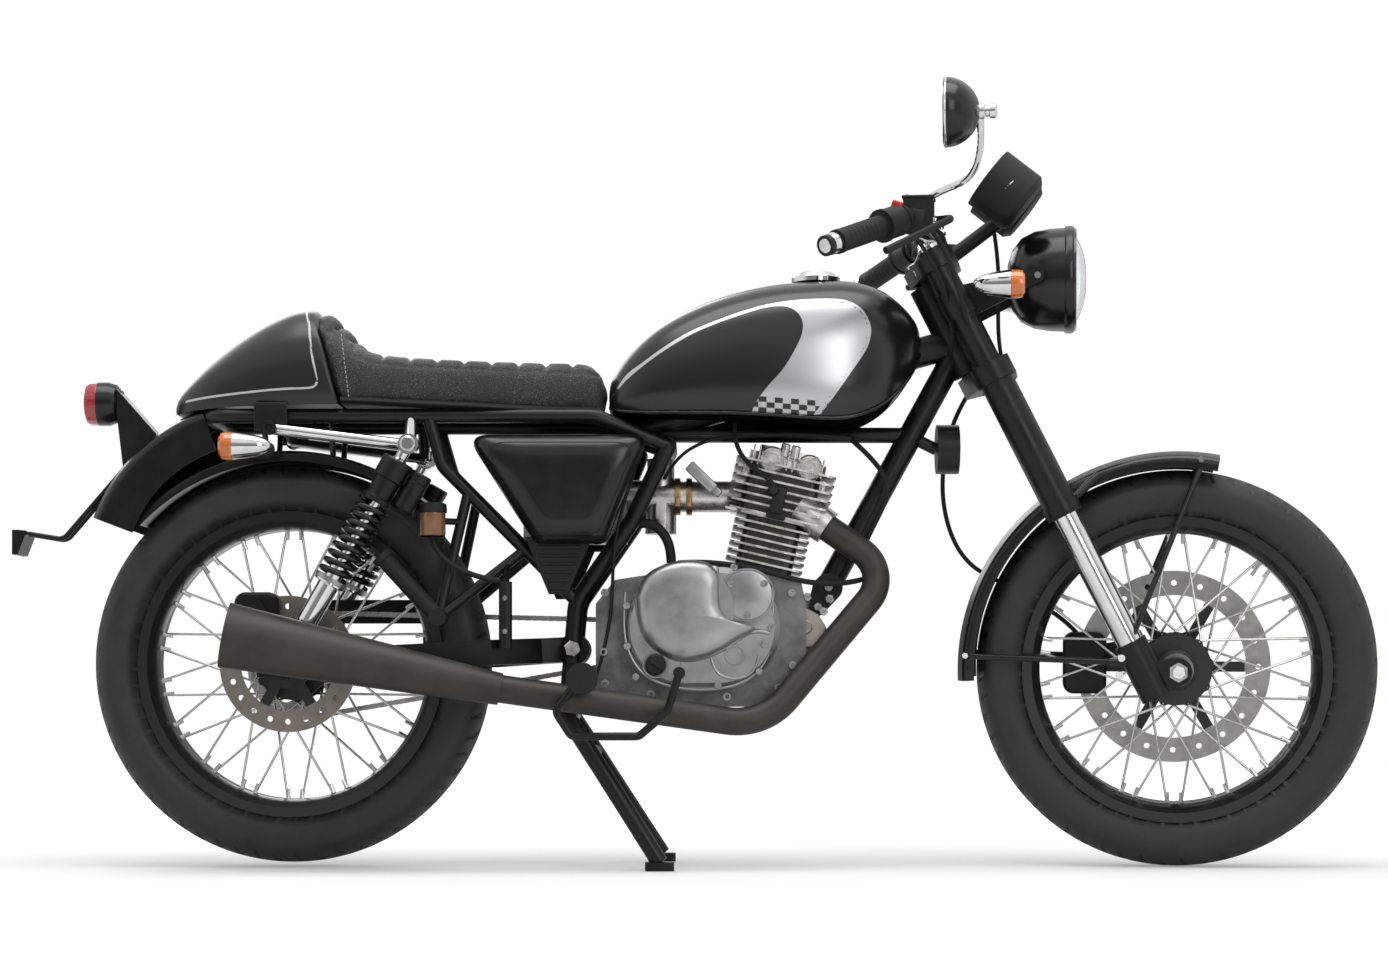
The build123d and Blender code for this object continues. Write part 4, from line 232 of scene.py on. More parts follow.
def finned(name):
    """Bright alloy with painted shade on the walls between the fins, around the leaning cylinder."""
    made, tree, shader = material(name)
    offset = vector_node(tree, "SUBTRACT", object_output(tree), DECK * MM)
    axes = (DECK_UP, DECK_ALONG, LEFT)
    height, forward, left = [vector_node(tree, "DOT_PRODUCT", offset, axis / MM) for axis in axes]
    # The mask of painted shade: the walls between the fins, where shade falls
    dark = 0.0
    for lowest, highest, pitch in FIN_BANDS:
        over = math_node(tree, "SUBTRACT", height, lowest)
        level = math_node(tree, "FRACT", math_node(tree, "DIVIDE", over, pitch))
        shaded_gap = math_node(tree, "GREATER_THAN", level, FIN_THICKNESS / pitch)
        above = math_node(tree, "GREATER_THAN", height, lowest)
        inside = math_node(tree, "MULTIPLY", above, math_node(tree, "LESS_THAN", height, highest))
        dark = math_node(tree, "ADD", math_node(tree, "MULTIPLY", shaded_gap, inside), dark)
    for side, half in ((forward, FIN_HALF_LENGTH), (left, FIN_HALF_WIDTH)):
        near = math_node(tree, "LESS_THAN", math_node(tree, "ABSOLUTE", side), half)
        dark = math_node(tree, "MULTIPLY", dark, near)
    patches = noise_output(tree, 60.0, 4.0, 0.6)
    bright = mixed(tree, between(tree, patches, 0, 1), (0.46, 0.455, 0.44), (0.74, 0.73, 0.71))
    # Painted shade: a near-black colour on the walls between the fins
    tree.links.new(mixed(tree, dark, bright, (0.075, 0.073, 0.070)), shader.inputs["Base Color"])
    tree.links.new(between(tree, patches, 0.24, 0.38), shader.inputs["Roughness"])
    shader.inputs["Metallic"].default_value = 0.92
    bumped(tree, shader, noise_output(tree, 1500.0), 0.45, 0.2)
    return made


alloy_with_painted_fin_shade = finned("alloy_with_painted_fin_shade")
starter_paint = finish("starter_paint", (0.34, 0.30, 0.27), (0.42, 0.37, 0.34), (0.4, 0.5), 0.6,
                       grain=1500, bump=0.3)
chrome = finish("chrome", grey(0.62), grey(0.72), (0.05, 0.13), 1.0, patch=40, grain=200, bump=0.01)
steel = finish("steel", (0.36, 0.355, 0.35), (0.52, 0.51, 0.50), (0.24, 0.36), 1.0, patch=80, grain=1600,
               bump=0.1)
exhaust = finish("exhaust", (0.034, 0.032, 0.028), (0.058, 0.054, 0.048), (0.45, 0.58), 0.45, patch=14,
                 grain=1400, bump=0.15)
brass = finish("brass", (0.32, 0.19, 0.08), (0.46, 0.30, 0.14), (0.3, 0.45), 1.0, patch=120)
red_plastic = finish("red_plastic", (0.55, 0.01, 0.01), (0.65, 0.02, 0.02), (0.3, 0.4))
white_paint = finish("white_paint", grey(0.55), grey(0.62), (0.3, 0.4))
fluid = finish("fluid", (0.20, 0.085, 0.028), (0.28, 0.125, 0.045), (0.2, 0.3), coat=0.5)


def lens(name, colour, ribs):
    """A moulded lens, clear enough to light up, with fine ribs inside."""
    made, tree, shader = material(name)
    patches = noise_output(tree, 30.0)
    deep = tuple(0.75 * channel for channel in colour)
    tree.links.new(mixed(tree, between(tree, patches, 0, 1), deep, colour), shader.inputs["Base Color"])
    shader.inputs["Roughness"].default_value = 0.12
    shader.inputs["Transmission Weight"].default_value = 0.15
    shader.inputs["Coat Weight"].default_value = 1.0
    wave = add_node(tree, "ShaderNodeTexWave", bands_direction="Z")
    wave.inputs["Scale"].default_value = ribs
    tree.links.new(object_output(tree), wave.inputs["Vector"])
    bumped(tree, shader, wave.outputs["Fac"], 0.35, 0.6)
    return made


orange_lens = lens("orange_lens", (0.95, 0.22, 0.01), 60.0)
red_lens = lens("red_lens", (0.55, 0.012, 0.02), 60.0)


def clear_glass(name):
    """Clear glass with a faint ripple."""
    made, tree, shader = material(name)
    shader.inputs["Base Color"].default_value = (0.95, 0.96, 0.97, 1)
    shader.inputs["Roughness"].default_value = 0.03
    shader.inputs["Transmission Weight"].default_value = 1.0
    shader.inputs["IOR"].default_value = 1.3
    bumped(tree, shader, noise_output(tree, 60.0), 0.06, 0.5)
    return made


glass = clear_glass("glass")


def mirror_glass(name):
    """Silvered glass with a faint haze."""
    made, tree, shader = material(name)
    shader.inputs["Base Color"].default_value = (0.85, 0.87, 0.88, 1)
    shader.inputs["Metallic"].default_value = 1.0
    tree.links.new(between(tree, noise_output(tree, 30.0), 0.02, 0.06), shader.inputs["Roughness"])
    return made


silvered = mirror_glass("silvered")


def leather(name):
    """Black grained cover with a painted sheen of pale flecks on the grain's crests."""
    made, tree, shader = material(name)
    cells = add_node(tree, "ShaderNodeTexVoronoi", feature="DISTANCE_TO_EDGE")
    cells.inputs["Scale"].default_value = 380.0
    tree.links.new(object_output(tree), cells.inputs["Vector"])
    grain = between(tree, cells.outputs["Distance"], 0, 1, 0.0, 0.35)
    flecks = noise_output(tree, 520.0, 2.0, 0.6)
    sheen_fleck = between(tree, flecks, 0, 1, 0.50, 0.64)
    patches = between(tree, noise_output(tree, 16.0, 4.0), 0.25, 1.0)
    # Painted sheen: pale flecks on the grain's crests stand in for light caught by the grain
    painted_sheen = math_node(tree, "MULTIPLY", math_node(tree, "MULTIPLY", sheen_fleck, grain), patches)
    tree.links.new(mixed(tree, painted_sheen, grey(0.007), (0.23, 0.225, 0.215)), shader.inputs["Base Color"])
    tree.links.new(between(tree, grain, 0.58, 0.34, 0, 1), shader.inputs["Roughness"])
    shader.inputs["Sheen Weight"].default_value = 0.05
    bumped(tree, shader, math_node(tree, "ADD", grain, flecks), 0.7, 0.8)
    return made


grained_cover = leather("grained_cover")


def tyre_rubber(name):
    """Tyre rubber: dusty charcoal with a fine grain in its bump."""
    made, tree, shader = material(name)
    dust = noise_output(tree, 22.0, 5.0, 0.65)
    colour = mixed(tree, between(tree, dust, 0, 1), grey(0.011), (0.026, 0.026, 0.027))
    tree.links.new(colour, shader.inputs["Base Color"])
    tree.links.new(between(tree, dust, 0.52, 0.68), shader.inputs["Roughness"])
    bumped(tree, shader, noise_output(tree, 1300.0), 0.25, 0.3)
    return made


tread_rubber = tyre_rubber("tread_rubber")


def banded(name, centre, axis, bands, bump=0.1):
    """A finish by the distance from an axle. Columns of bands: outer radius, colour, metal, roughness."""
    made, tree, shader = material(name)
    offset = vector_node(tree, "SUBTRACT", object_output(tree), centre)
    along = math_node(tree, "ABSOLUTE", vector_node(tree, "DOT_PRODUCT", offset, axis))
    length = vector_node(tree, "LENGTH", offset)
    squares = [math_node(tree, "POWER", value, 2.0) for value in (length, along)]
    radius = math_node(tree, "SQRT", math_node(tree, "MAXIMUM", math_node(tree, "SUBTRACT", *squares), 0.0))
    patches = between(tree, noise_output(tree, 60.0, 4.0), 0.82, 1.0)
    _, colour, metal, rough = bands[0]
    for before, (_, next_colour, next_metal, next_rough) in zip(bands, bands[1:]):
        beyond = math_node(tree, "GREATER_THAN", radius, before[0] * MM)
        colour = mixed(tree, beyond, colour, next_colour)
        metal = blended(tree, beyond, metal, next_metal)
        rough = blended(tree, beyond, rough, next_rough)
    tree.links.new(mixed(tree, patches, grey(0.004), colour), shader.inputs["Base Color"])
    tree.links.new(metal, shader.inputs["Metallic"])
    tree.links.new(rough, shader.inputs["Roughness"])
    bumped(tree, shader, noise_output(tree, 1500.0), bump, 0.15)
    return made


def marked(name, base, metal, rough, marks):
    """Paint whose marks show where a distance stored on the mesh is above zero.
    Columns of marks: stored distance, colour, metal, roughness."""
    made, tree, shader = material(name)
    patches = noise_output(tree, 8.0, 4.0, 0.6)
    colour = mixed(tree, between(tree, patches, 0, 1), tuple(0.85 * c for c in base), base)
    for stored, mark_colour, mark_metal, mark_rough in marks:
        inside = add_node(tree, "ShaderNodeAttribute", attribute_name=stored)
        shown = between(tree, inside.outputs["Fac"], 0, 1, -0.2, 0.2)
        colour = mixed(tree, shown, colour, mark_colour)
        metal = blended(tree, shown, metal, mark_metal)
        rough = blended(tree, shown, rough, mark_rough)
    tree.links.new(colour, shader.inputs["Base Color"])
    tree.links.new(metal, shader.inputs["Metallic"])
    tree.links.new(rough, shader.inputs["Roughness"])
    bumped(tree, shader, noise_output(tree, 700.0), 0.03, 0.1)
    return made, tree


# Shapes
def settle(obj, body, finish_of, smooth=30.0):
    """Puts a finished object in the scene on its body, with its material."""
    bpy.context.scene.collection.objects.link(obj)
    obj.data.materials.append(finish_of)
    if obj.type == "MESH" and smooth:
        obj.data.polygons.foreach_set("use_smooth", [True] * len(obj.data.polygons))
        split = obj.modifiers.new("edges", "EDGE_SPLIT")
        split.split_angle = math.radians(smooth)
    if body in ("steering", "front_wheel"):
        obj.data.transform(STEERED)
    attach(obj, body)
    return obj


def mesh_object(name, verts, faces):
    """An object from vertices in millimetres and faces."""
    mesh = bpy.data.meshes.new(name)
    mesh.from_pydata([Vector(place) * MM for place in verts], [], faces)
    mesh.validate()
    fixed = bmesh.new()
    fixed.from_mesh(mesh)
    bmesh.ops.recalc_face_normals(fixed, faces=fixed.faces)
    fixed.to_mesh(mesh)
    fixed.free()
    return bpy.data.objects.new(name, mesh)


def loft_object(name, rings, closed=True, caps=True):
    """A skin over rings of places, with flat ends."""
    count = len(rings[0])
    verts = [place for ring in rings for place in ring]
    faces = []
    for row in range(len(rings) - 1):
        for column in range(count if closed else count - 1):
            here = row * count + column
            across = row * count + (column + 1) % count
            faces.append((here, across, across + count, here + count))
    if caps and closed:
        faces.append(tuple(range(count)))
        faces.append(tuple(range(len(verts) - count, len(verts))))
    return mesh_object(name, verts, faces)


# A point on a lathe's axis is drawn as a ring of this radius
LEAST_RADIUS = 0.01


def ring_angles(count):
    """The angles of so many places round a circle, in radians."""
    return [2 * math.pi * step / count for step in range(count)]


def turned_object(name, profile, start, axis, segments=48):
    """A lathe shape. Columns of profile: radius, distance along the axis.
    It closes where a radius is zero, and is a ring where the profile ends as it starts."""
    axis = Vector(axis).normalized()
    side = axis.orthogonal().normalized()
    other = axis.cross(side)
    start = Vector(start)
    outward = [side * math.cos(angle) + other * math.sin(angle) for angle in ring_angles(segments)]
    rings = [
        [start + axis * along + out * max(radius, LEAST_RADIUS) for out in outward]
        for radius, along in profile
    ]
    return loft_object(name, rings, caps=profile[0] != profile[-1])


def evaluated_mesh(obj):
    """The mesh that an object's modifiers make of it."""
    graph = bpy.context.evaluated_depsgraph_get()
    return bpy.data.meshes.new_from_object(obj.evaluated_get(graph))


def tube_object(name, places, radius, curved=True, cyclic=False):
    """A round tube along places, curved through them or straight between them, made into a mesh."""
    curve = bpy.data.curves.new(name, "CURVE")
    curve.dimensions = "3D"
    spline = curve.splines.new("NURBS" if curved else "POLY")
    spline.points.add(len(places) - 1)
    for point, place in zip(spline.points, places):
        point.co = (*(Vector(place) * MM), 1.0)
    spline.use_cyclic_u = cyclic
    if curved:
        spline.order_u = 4
        spline.use_endpoint_u = not cyclic
        spline.resolution_u = 8
    curve.bevel_depth = radius * MM
    curve.bevel_resolution = 4
    curve.use_fill_caps = True
    made = bpy.data.objects.new(name + "_path", curve)
    bpy.context.scene.collection.objects.link(made)
    bpy.context.view_layer.update()
    mesh = evaluated_mesh(made)
    bpy.data.objects.remove(made)
    bpy.data.curves.remove(curve)
    return bpy.data.objects.new(name, mesh)


def block_object(name, middle, size, round_by=2.0, turn=0.0):
    """A block with rounded edges, turned about the left-to-right axis by degrees."""
    shape = bmesh.new()
    bmesh.ops.create_cube(shape, size=1.0)
    bmesh.ops.scale(shape, vec=Vector(size) * MM, verts=shape.verts)
    bmesh.ops.bevel(shape, geom=shape.edges[:], offset=round_by * MM, segments=3, affect="EDGES", profile=0.5)
    mesh = bpy.data.meshes.new(name)
    shape.to_mesh(mesh)
    shape.free()
    mesh.transform(Matrix.Translation(Vector(middle) * MM) @ Matrix.Rotation(math.radians(turn), 4, "Y"))
    return bpy.data.objects.new(name, mesh)


def joined(name, objects):
    """Several mesh objects made into one."""
    whole = bmesh.new()
    for obj in objects:
        obj.data.transform(obj.matrix_world)
        whole.from_mesh(obj.data)
    mesh = bpy.data.meshes.new(name)
    whole.to_mesh(mesh)
    whole.free()
    for obj in objects:
        bpy.data.objects.remove(obj)
    return bpy.data.objects.new(name, mesh)


def bolt_parts(places, axis, radius, height, sides=12, socket=0.5):
    """Screw heads at places, each with a recess in its end as wide as the socket's share of it."""
    rim, recess, floor = radius * 0.92, radius * socket, height * 0.45
    profile = [(0, 0), (radius, 0), (radius, height * 0.75), (rim, height), (recess, height)]
    profile += [(recess, floor), (0, floor)]
    return [turned_object("head", profile, place, axis, sides) for place in places]


def side_bolts(spots, y, radius, height, sides=12, socket=0.5):
    """Screw heads at (x, z) spots on an upright face at y, towards that side of the machine."""
    places = [Vector((x, y, z)) for x, z in spots]
    return bolt_parts(places, LEFT if y > 0 else RIGHT, radius, height, sides, socket)


def wheel_point(centre, radius, angle):
    """A place on an upright circle that faces the side, by its angle in radians."""
    return centre + Vector((math.cos(angle), 0, math.sin(angle))) * radius


def smooth_rows(rows, steps):
    """Rows of a table with smooth rows put between them."""
    result = []
    for index in range(len(rows) - 1):
        before = rows[max(index - 1, 0)]
        here, there = rows[index], rows[index + 1]
        after = rows[min(index + 2, len(rows) - 1)]
        for step in range(steps):
            t = step / steps
            row = []
            for a, b, c, d in zip(before, here, there, after):
                square = (2 * a - 5 * b + 4 * c - d) * t * t
                cube = (3 * b - a - 3 * c + d) * t ** 3
                row.append(0.5 * (2 * b + (c - a) * t + square + cube))
            result.append(tuple(row))
    result.append(tuple(rows[-1]))
    return result


FLOOR_STEPS = 8


def body_ring(x, floor, roof, half_width, shares, steps=5, lean=0.0):
    """A closed ring across the machine: a flat floor, bowed sides and a crowned top.
    Columns of shares: share of the half width, share of the height."""
    whole = list(shares) + [(-across, up) for across, up in reversed(shares[:-1])]
    side = smooth_rows(whole, steps)[:(len(shares) - 1) * steps + 1]
    right = [(half_width * across, (roof - floor) * up) for across, up in side]
    edge = right[0][0]
    under = [(edge * (2 * step / FLOOR_STEPS - 1), 0.0) for step in range(1, FLOOR_STEPS)]
    ring = [(-across, up) for across, up in reversed(right[:-1])] + under + right
    slope = math.tan(math.radians(lean))
    return [Vector((x - slope * up, across, floor + up)) for across, up in ring]


def outline_distance(outline, x, z, closed=True):
    """The distance in millimetres inside a closed outline of (x, z), or from an open line."""
    inside = False
    nearest = 1e9
    count = len(outline) if closed else len(outline) - 1
    for index in range(count):
        ax, az = outline[index]
        bx, bz = outline[(index + 1) % len(outline)]
        run_x, run_z = bx - ax, bz - az
        share = ((x - ax) * run_x + (z - az) * run_z) / (run_x * run_x + run_z * run_z + 1e-9)
        share = max(0.0, min(1.0, share))
        nearest = min(nearest, math.hypot(x - ax - run_x * share, z - az - run_z * share))
        if closed and (az > z) != (bz > z) and x < ax + run_x * (z - az) / (bz - az):
            inside = not inside
    return nearest if inside else -nearest


def store(obj, name, measure):
    """Stores measure(x, y, z), in millimetres, at each vertex."""
    stored = obj.data.attributes.new(name, "FLOAT", "POINT")
    values = [measure(*(vertex.co / MM)) for vertex in obj.data.vertices]
    stored.data.foreach_set("value", values)


# Finishes of the frame's own pieces
def dress(name, finish_of, smooth=30.0):
    """Gives a node of the frame its finish and smooth shading."""
    node = nodes[name]
    node.data.materials.clear()
    node.data.materials.append(finish_of)
    node.data.polygons.foreach_set("use_smooth", [True] * len(node.data.polygons))
    weld = node.modifiers.new("weld", "WELD")
    weld.merge_threshold = 0.00002
    split = node.modifiers.new("edges", "EDGE_SPLIT")
    split.split_angle = math.radians(smooth)


SPOKE = (0.60, 0.60, 0.58)
BLACK = grey(0.012)
front_axis = STEERED.to_3x3() @ Vector((0, 1, 0))
front_centre = STEERED @ (FRONT_AXLE * MM)
WHEEL_BANDS = (
    (31.0, (0.30, 0.30, 0.29), 0.9, 0.35),
    (58.0, BLACK, 0.0, 0.35),
    (204.0, SPOKE, 1.0, 0.2),
    (400.0, BLACK, 0.0, 0.22),
)
front_wheel_finish = banded("front_wheel_finish", front_centre, front_axis, WHEEL_BANDS)
rear_wheel_finish = banded("rear_wheel_finish", REAR_AXLE * MM, Vector((0, 1, 0)), WHEEL_BANDS)
front_disc_finish = banded(
    "front_disc_finish", front_centre, front_axis,
    ((110.0, BLACK, 0.0, 0.35), (400.0, (0.36, 0.355, 0.35), 1.0, 0.30)),
)
rear_disc_finish = banded(
    "rear_disc_finish", REAR_AXLE * MM, Vector((0, 1, 0)),
    ((71.0, BLACK, 0.0, 0.35), (400.0, (0.30, 0.27, 0.24), 1.0, 0.33)),
)


def two_tone(name, half_track):
    """Satin black near the centre plane and chrome beyond a distance from it."""
    made, tree, shader = material(name)
    outward = math_node(tree, "ABSOLUTE", object_axes(tree)["Y"])
    bright = math_node(tree, "GREATER_THAN", outward, half_track * MM)
    patches = noise_output(tree, 30.0, 4.0)
    chrome_colour = mixed(tree, between(tree, patches, 0, 1), grey(0.55), grey(0.70))
    tree.links.new(mixed(tree, bright, grey(0.007), chrome_colour), shader.inputs["Base Color"])
    tree.links.new(bright, shader.inputs["Metallic"])
    tree.links.new(math_node(tree, "MULTIPLY_ADD", bright, -0.26, 0.36), shader.inputs["Roughness"])
    shader.inputs["Specular IOR Level"].default_value = 0.35
    bumped(tree, shader, noise_output(tree, 900.0), 0.03, 0.1)
    return made


RAIL_BRIGHT_FROM_Y = 103.4
rail_finish = two_tone("rail_finish", RAIL_BRIGHT_FROM_Y)
NODE_FINISHES = (
    (satin_black, ("frame_spine", "rear_tubes", "struts", "swingarm", "centre_stand", "fork_clamps",
                   "fork_tubes", "headlight_ears", "tail_bracket", "front_caliper", "rear_caliper", "horn",
                   "foot_controls", "fork_feet", "rear_hydraulics")),
    (gloss_black, ("rear_guards", "front_guard")),
    (case_alloy, ("crankcase",)),
    (cast_alloy, ("engine_covers",)),
    (alloy_with_painted_fin_shade, ("barrel", "cylinder_head")),
    (steel, ("intake", "rear_axle", "front_axle", "rear_sprocket")),
    (chrome, ("tank_cap", "handlebar", "stanchions")),
    (rail_finish, ("rails",)),
    (exhaust, ("header_pipe", "muffler")),
    (front_wheel_finish, ("front_rim",)),
    (rear_wheel_finish, ("rear_rim",)),
    (front_disc_finish, ("front_disc",)),
    (rear_disc_finish, ("rear_disc",)),
    (plastic_black, ("chain_guard", "bar_controls", "mirror", "instruments", "headlight", "side_panels",
                     "tail_lamp", "front_indicators", "rear_indicators")),
    (rubber, ("pegs",)),
)
for finish_of, names in NODE_FINISHES:
    for name in names:
        dress(name, finish_of)

BODY_SHARES = ((0.90, 0.0), (0.985, 0.16), (1.0, 0.34), (0.95, 0.60), (0.80, 0.82), (0.52, 0.95), (0.0, 1.0))
PAD_SHARES = ((0.94, 0.0), (0.99, 0.2), (1.0, 0.45), (0.98, 0.72), (0.90, 0.90), (0.72, 0.965), (0.0, 1.0))

# Tank. Columns: x, floor, roof, half width
TANK_ROWS = (
    (-131, 716, 726, 30),
    (-129, 703, 742, 62),
    (-120, 696, 764, 84),
    (-98, 692, 795, 100),
    (-60, 690, 829, 114),
    (-10, 689, 858, 124),
    (50, 688, 881, 131),
    (120, 684, 897, 135),
    (190, 680, 903, 133),
    (240, 683, 903, 125),
    (285, 702, 891, 108),
    (318, 733, 868, 82),
    (340, 768, 843, 52),
    (348, 792, 824, 22),
)
# The silver panel's outline with the stripe that runs back from it, as (x, z)
SILVER_OUTER = (
    (-127, 716), (-104, 749), (-78, 768), (-45, 791), (-6, 814), (43, 834), (75, 845), (111, 855),
    (157, 862), (203, 864), (232, 861), (255, 847), (267, 820), (263, 794), (253, 775), (235, 749),
    (212, 716), (178, 672),
)
SILVER_INNER = (
    (80, 672), (92, 703), (111, 729), (134, 755), (152, 785), (162, 808), (163, 827), (154, 843),
    (137, 851), (111, 850), (79, 841), (33, 825), (-6, 808), (-45, 785), (-78, 762), (-104, 741),
)
SILVER_FRONT = SILVER_OUTER[9:]
PIN_INSET = 4.6
PIN_HALF_WIDTH = 0.7
# What a stored distance says where there is no mark
UNMARKED = -9.0
CAP_X = 188.0
CAP_HEIGHT = 16.0
CAP_PROFILE = (
    (0, 0), (37, 0), (37.5, 7), (36, 9), (31, 9.6), (30, 12), (29, 13.6), (26, 15.4), (8, 16),
    (7.6, 15), (0, 15),
)
CAP_SCREW_CIRCLE = 33.5
CAP_SCREW_ANGLES = (0.3, 1.56, 2.8, 4.1, 5.3)
PANEL_FOOT_Z = 686.5
CHECK_LEFT_X = 60.0
CHECK_TOP_Z = 716.5
CHECK_WIDTH = 12.2
CHECK_HEIGHT = 7.9
CHECK_SLOPE = 0.075


def tank_paint():
    """Black paint with a silver panel, its pinstripe and a chequered foot."""
    made, tree = marked("tank_paint", (0.010, 0.010, 0.011), 0.0, 0.24, (
        ("silver", (0.50, 0.50, 0.51), 0.72, 0.30),
        ("pin", BLACK, 0.0, 0.25),
    ))
    shader = tree.nodes["Principled BSDF"]
    axes = object_axes(tree)
    from_left = math_node(tree, "SUBTRACT", axes["X"], CHECK_LEFT_X * MM)
    over_top = math_node(tree, "SUBTRACT", axes["Z"], CHECK_TOP_Z * MM)
    across = math_node(tree, "DIVIDE", from_left, CHECK_WIDTH * MM)
    drop = math_node(tree, "MULTIPLY_ADD", from_left, CHECK_SLOPE, over_top)
    down = math_node(tree, "DIVIDE", drop, -CHECK_HEIGHT * MM)
    cell = add_node(tree, "ShaderNodeCombineXYZ")
    tree.links.new(across, cell.inputs[0])
    tree.links.new(down, cell.inputs[1])
    cell.inputs[2].default_value = 0.5
    checks = add_node(tree, "ShaderNodeTexChecker")
    checks.inputs["Scale"].default_value = 1.0
    tree.links.new(cell.outputs[0], checks.inputs["Vector"])
    panel = add_node(tree, "ShaderNodeAttribute", attribute_name="silver")
    pin = add_node(tree, "ShaderNodeAttribute", attribute_name="pin")
    shown = checks.outputs["Fac"]
    for limit in (
        math_node(tree, "GREATER_THAN", down, 0.0),
        math_node(tree, "GREATER_THAN", panel.outputs["Fac"], 0.0),
        math_node(tree, "LESS_THAN", pin.outputs["Fac"], -2.4),
    ):
        shown = math_node(tree, "MULTIPLY", shown, limit)
    painted = shader.inputs["Base Color"].links[0].from_socket
    tree.links.new(mixed(tree, shown, painted, BLACK), shader.inputs["Base Color"])
    metal = shader.inputs["Metallic"].links[0].from_socket
    unchecked = math_node(tree, "SUBTRACT", 1.0, shown)
    tree.links.new(math_node(tree, "MULTIPLY", metal, unchecked), shader.inputs["Metallic"])
    return made


def tank():
    """The painted tank, its folded lip and its cap."""
    rings = [body_ring(*row[:4], BODY_SHARES, 7) for row in smooth_rows(TANK_ROWS, 8)]
    shell = loft_object("tank_shell", rings)
    outline = smooth_rows(SILVER_OUTER, 5) + smooth_rows(SILVER_INNER, 5)
    pin_line = smooth_rows(SILVER_FRONT, 5)
    smooth_skin = shell.modifiers.new("skin", "SUBSURF")
    smooth_skin.levels = smooth_skin.render_levels = 1
    bpy.context.scene.collection.objects.link(shell)
    bpy.context.view_layer.update()
    mesh = evaluated_mesh(shell)
    bpy.data.objects.remove(shell)
    shell = bpy.data.objects.new("tank_shell", mesh)

    def inside_panel(x, y, z):
        return outline_distance(outline, x, z) if abs(y) > 8 and z > PANEL_FOOT_Z else UNMARKED

    def on_pin(x, y, z):
        if x <= 60:
            return UNMARKED
        return PIN_HALF_WIDTH - abs(PIN_INSET + outline_distance(pin_line, x, z, False))

    store(shell, "silver", inside_panel)
    store(shell, "pin", on_pin)
    settle(shell, "frame", tank_paint(), 60)
    # Faces that turn downward take the darker underside colour as painted shade
    shell.data.materials.append(painted_underside_shade)
    for polygon in shell.data.polygons:
        if polygon.normal.z < -0.7:
            polygon.material_index = 1
    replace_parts(shell, "fuel_tank")
    lip = [(x, -0.93 * half, floor + 2.0) for x, floor, _, half in smooth_rows(TANK_ROWS[1:], 3)]
    lip += [(x, -y, z) for x, y, z in reversed(lip)]
    settle(tube_object("tank_lip", lip, 2.6, True, True), "frame", gloss_black)
    middle = Vector((CAP_X, 0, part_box("tank_cap")[1].z / MM - CAP_HEIGHT))
    cap = turned_object("cap_body", CAP_PROFILE, middle, UP, 64)
    screws = []
    for angle in CAP_SCREW_ANGLES:
        across = CAP_SCREW_CIRCLE * math.sin(angle)
        screws.append(middle + Vector((CAP_SCREW_CIRCLE * math.cos(angle), across, 9)))
    whole = joined("tank_cap_detail", [cap] + bolt_parts(screws, UP, 2.3, 1.8))
    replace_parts(settle(whole, "frame", chrome), "tank_cap")


tank()


# Saddle. Columns: x, floor, roof, half width, lean of its top to the rear in degrees
PAD_ROWS = (
    (-138, 700, 758, 74, 0),
    (-150, 699, 766, 80, 0),
    (-175, 699, 768, 86, 0),
    (-250, 700, 769, 99, 0),
    (-340, 702, 771, 110, 0),
    (-420, 705, 775, 116, 1),
    (-478, 708, 782, 118, 5),
    (-505, 709, 797, 118, 9),
    (-527, 710, 821, 117, 12),
    (-537, 711, 846, 116, 15),
)
CHANNEL_PITCH = 41.0
CHANNEL_DEPTH = 6.5
CHANNEL_FRONT_X = -186.0
CHANNEL_SOFTNESS = 4.2
SEAM_DEPTH = 2.0
PUFF_LIMIT = 5.0
CLOTH_STEPS = 20
VOXEL = 6.0
BASE_SHARES = ((0.9, 0), (1.0, 0.3), (1.0, 0.6), (0.97, 0.9), (0.8, 1.0), (0, 1.0))
# Columns: x, floor, half width
BASE_ROWS = (
    (-140, 692, 72), (-165, 692, 82), (-250, 693, 96), (-340, 697, 107), (-420, 700, 113),
    (-480, 703, 115), (-534, 705, 115),
)
BASE_HEIGHT = 12
STITCHES = 14


def puffed(pad, limit):
    """The pad swollen by air pressure inside its cover, no vertex moved further than the limit."""
    bpy.context.scene.collection.objects.link(pad)
    bpy.context.view_layer.objects.active = pad
    remesh = pad.modifiers.new("remesh", "REMESH")
    remesh.mode = "VOXEL"
    remesh.voxel_size = VOXEL * MM
    bpy.context.view_layer.update()
    mesh = evaluated_mesh(pad)
    pad.modifiers.clear()
    pad.data = mesh
    start = [vertex.co.copy() for vertex in mesh.vertices]
    cloth = pad.modifiers.new("cloth", "CLOTH")
    cloth.settings.use_pressure = True
    cloth.settings.uniform_pressure_force = 4.0
    cloth.settings.effector_weights.gravity = 0.0
    cloth.settings.quality = 4
    for step in range(CLOTH_STEPS):
        bpy.context.scene.frame_set(step + 1)
    swollen = evaluated_mesh(pad)
    bpy.context.scene.frame_set(1)
    pad.modifiers.clear()
    for vertex, was in zip(swollen.vertices, start):
        move = vertex.co - was
        if move.length > limit * MM:
            vertex.co = was + move.normalized() * limit * MM
    pad.data = swollen
    finer = pad.modifiers.new("finer", "SUBSURF")
    finer.levels = finer.render_levels = 1
    bpy.context.view_layer.update()
    mesh = evaluated_mesh(pad)
    bpy.data.objects.remove(pad)
    return bpy.data.objects.new("saddle_pad", mesh)


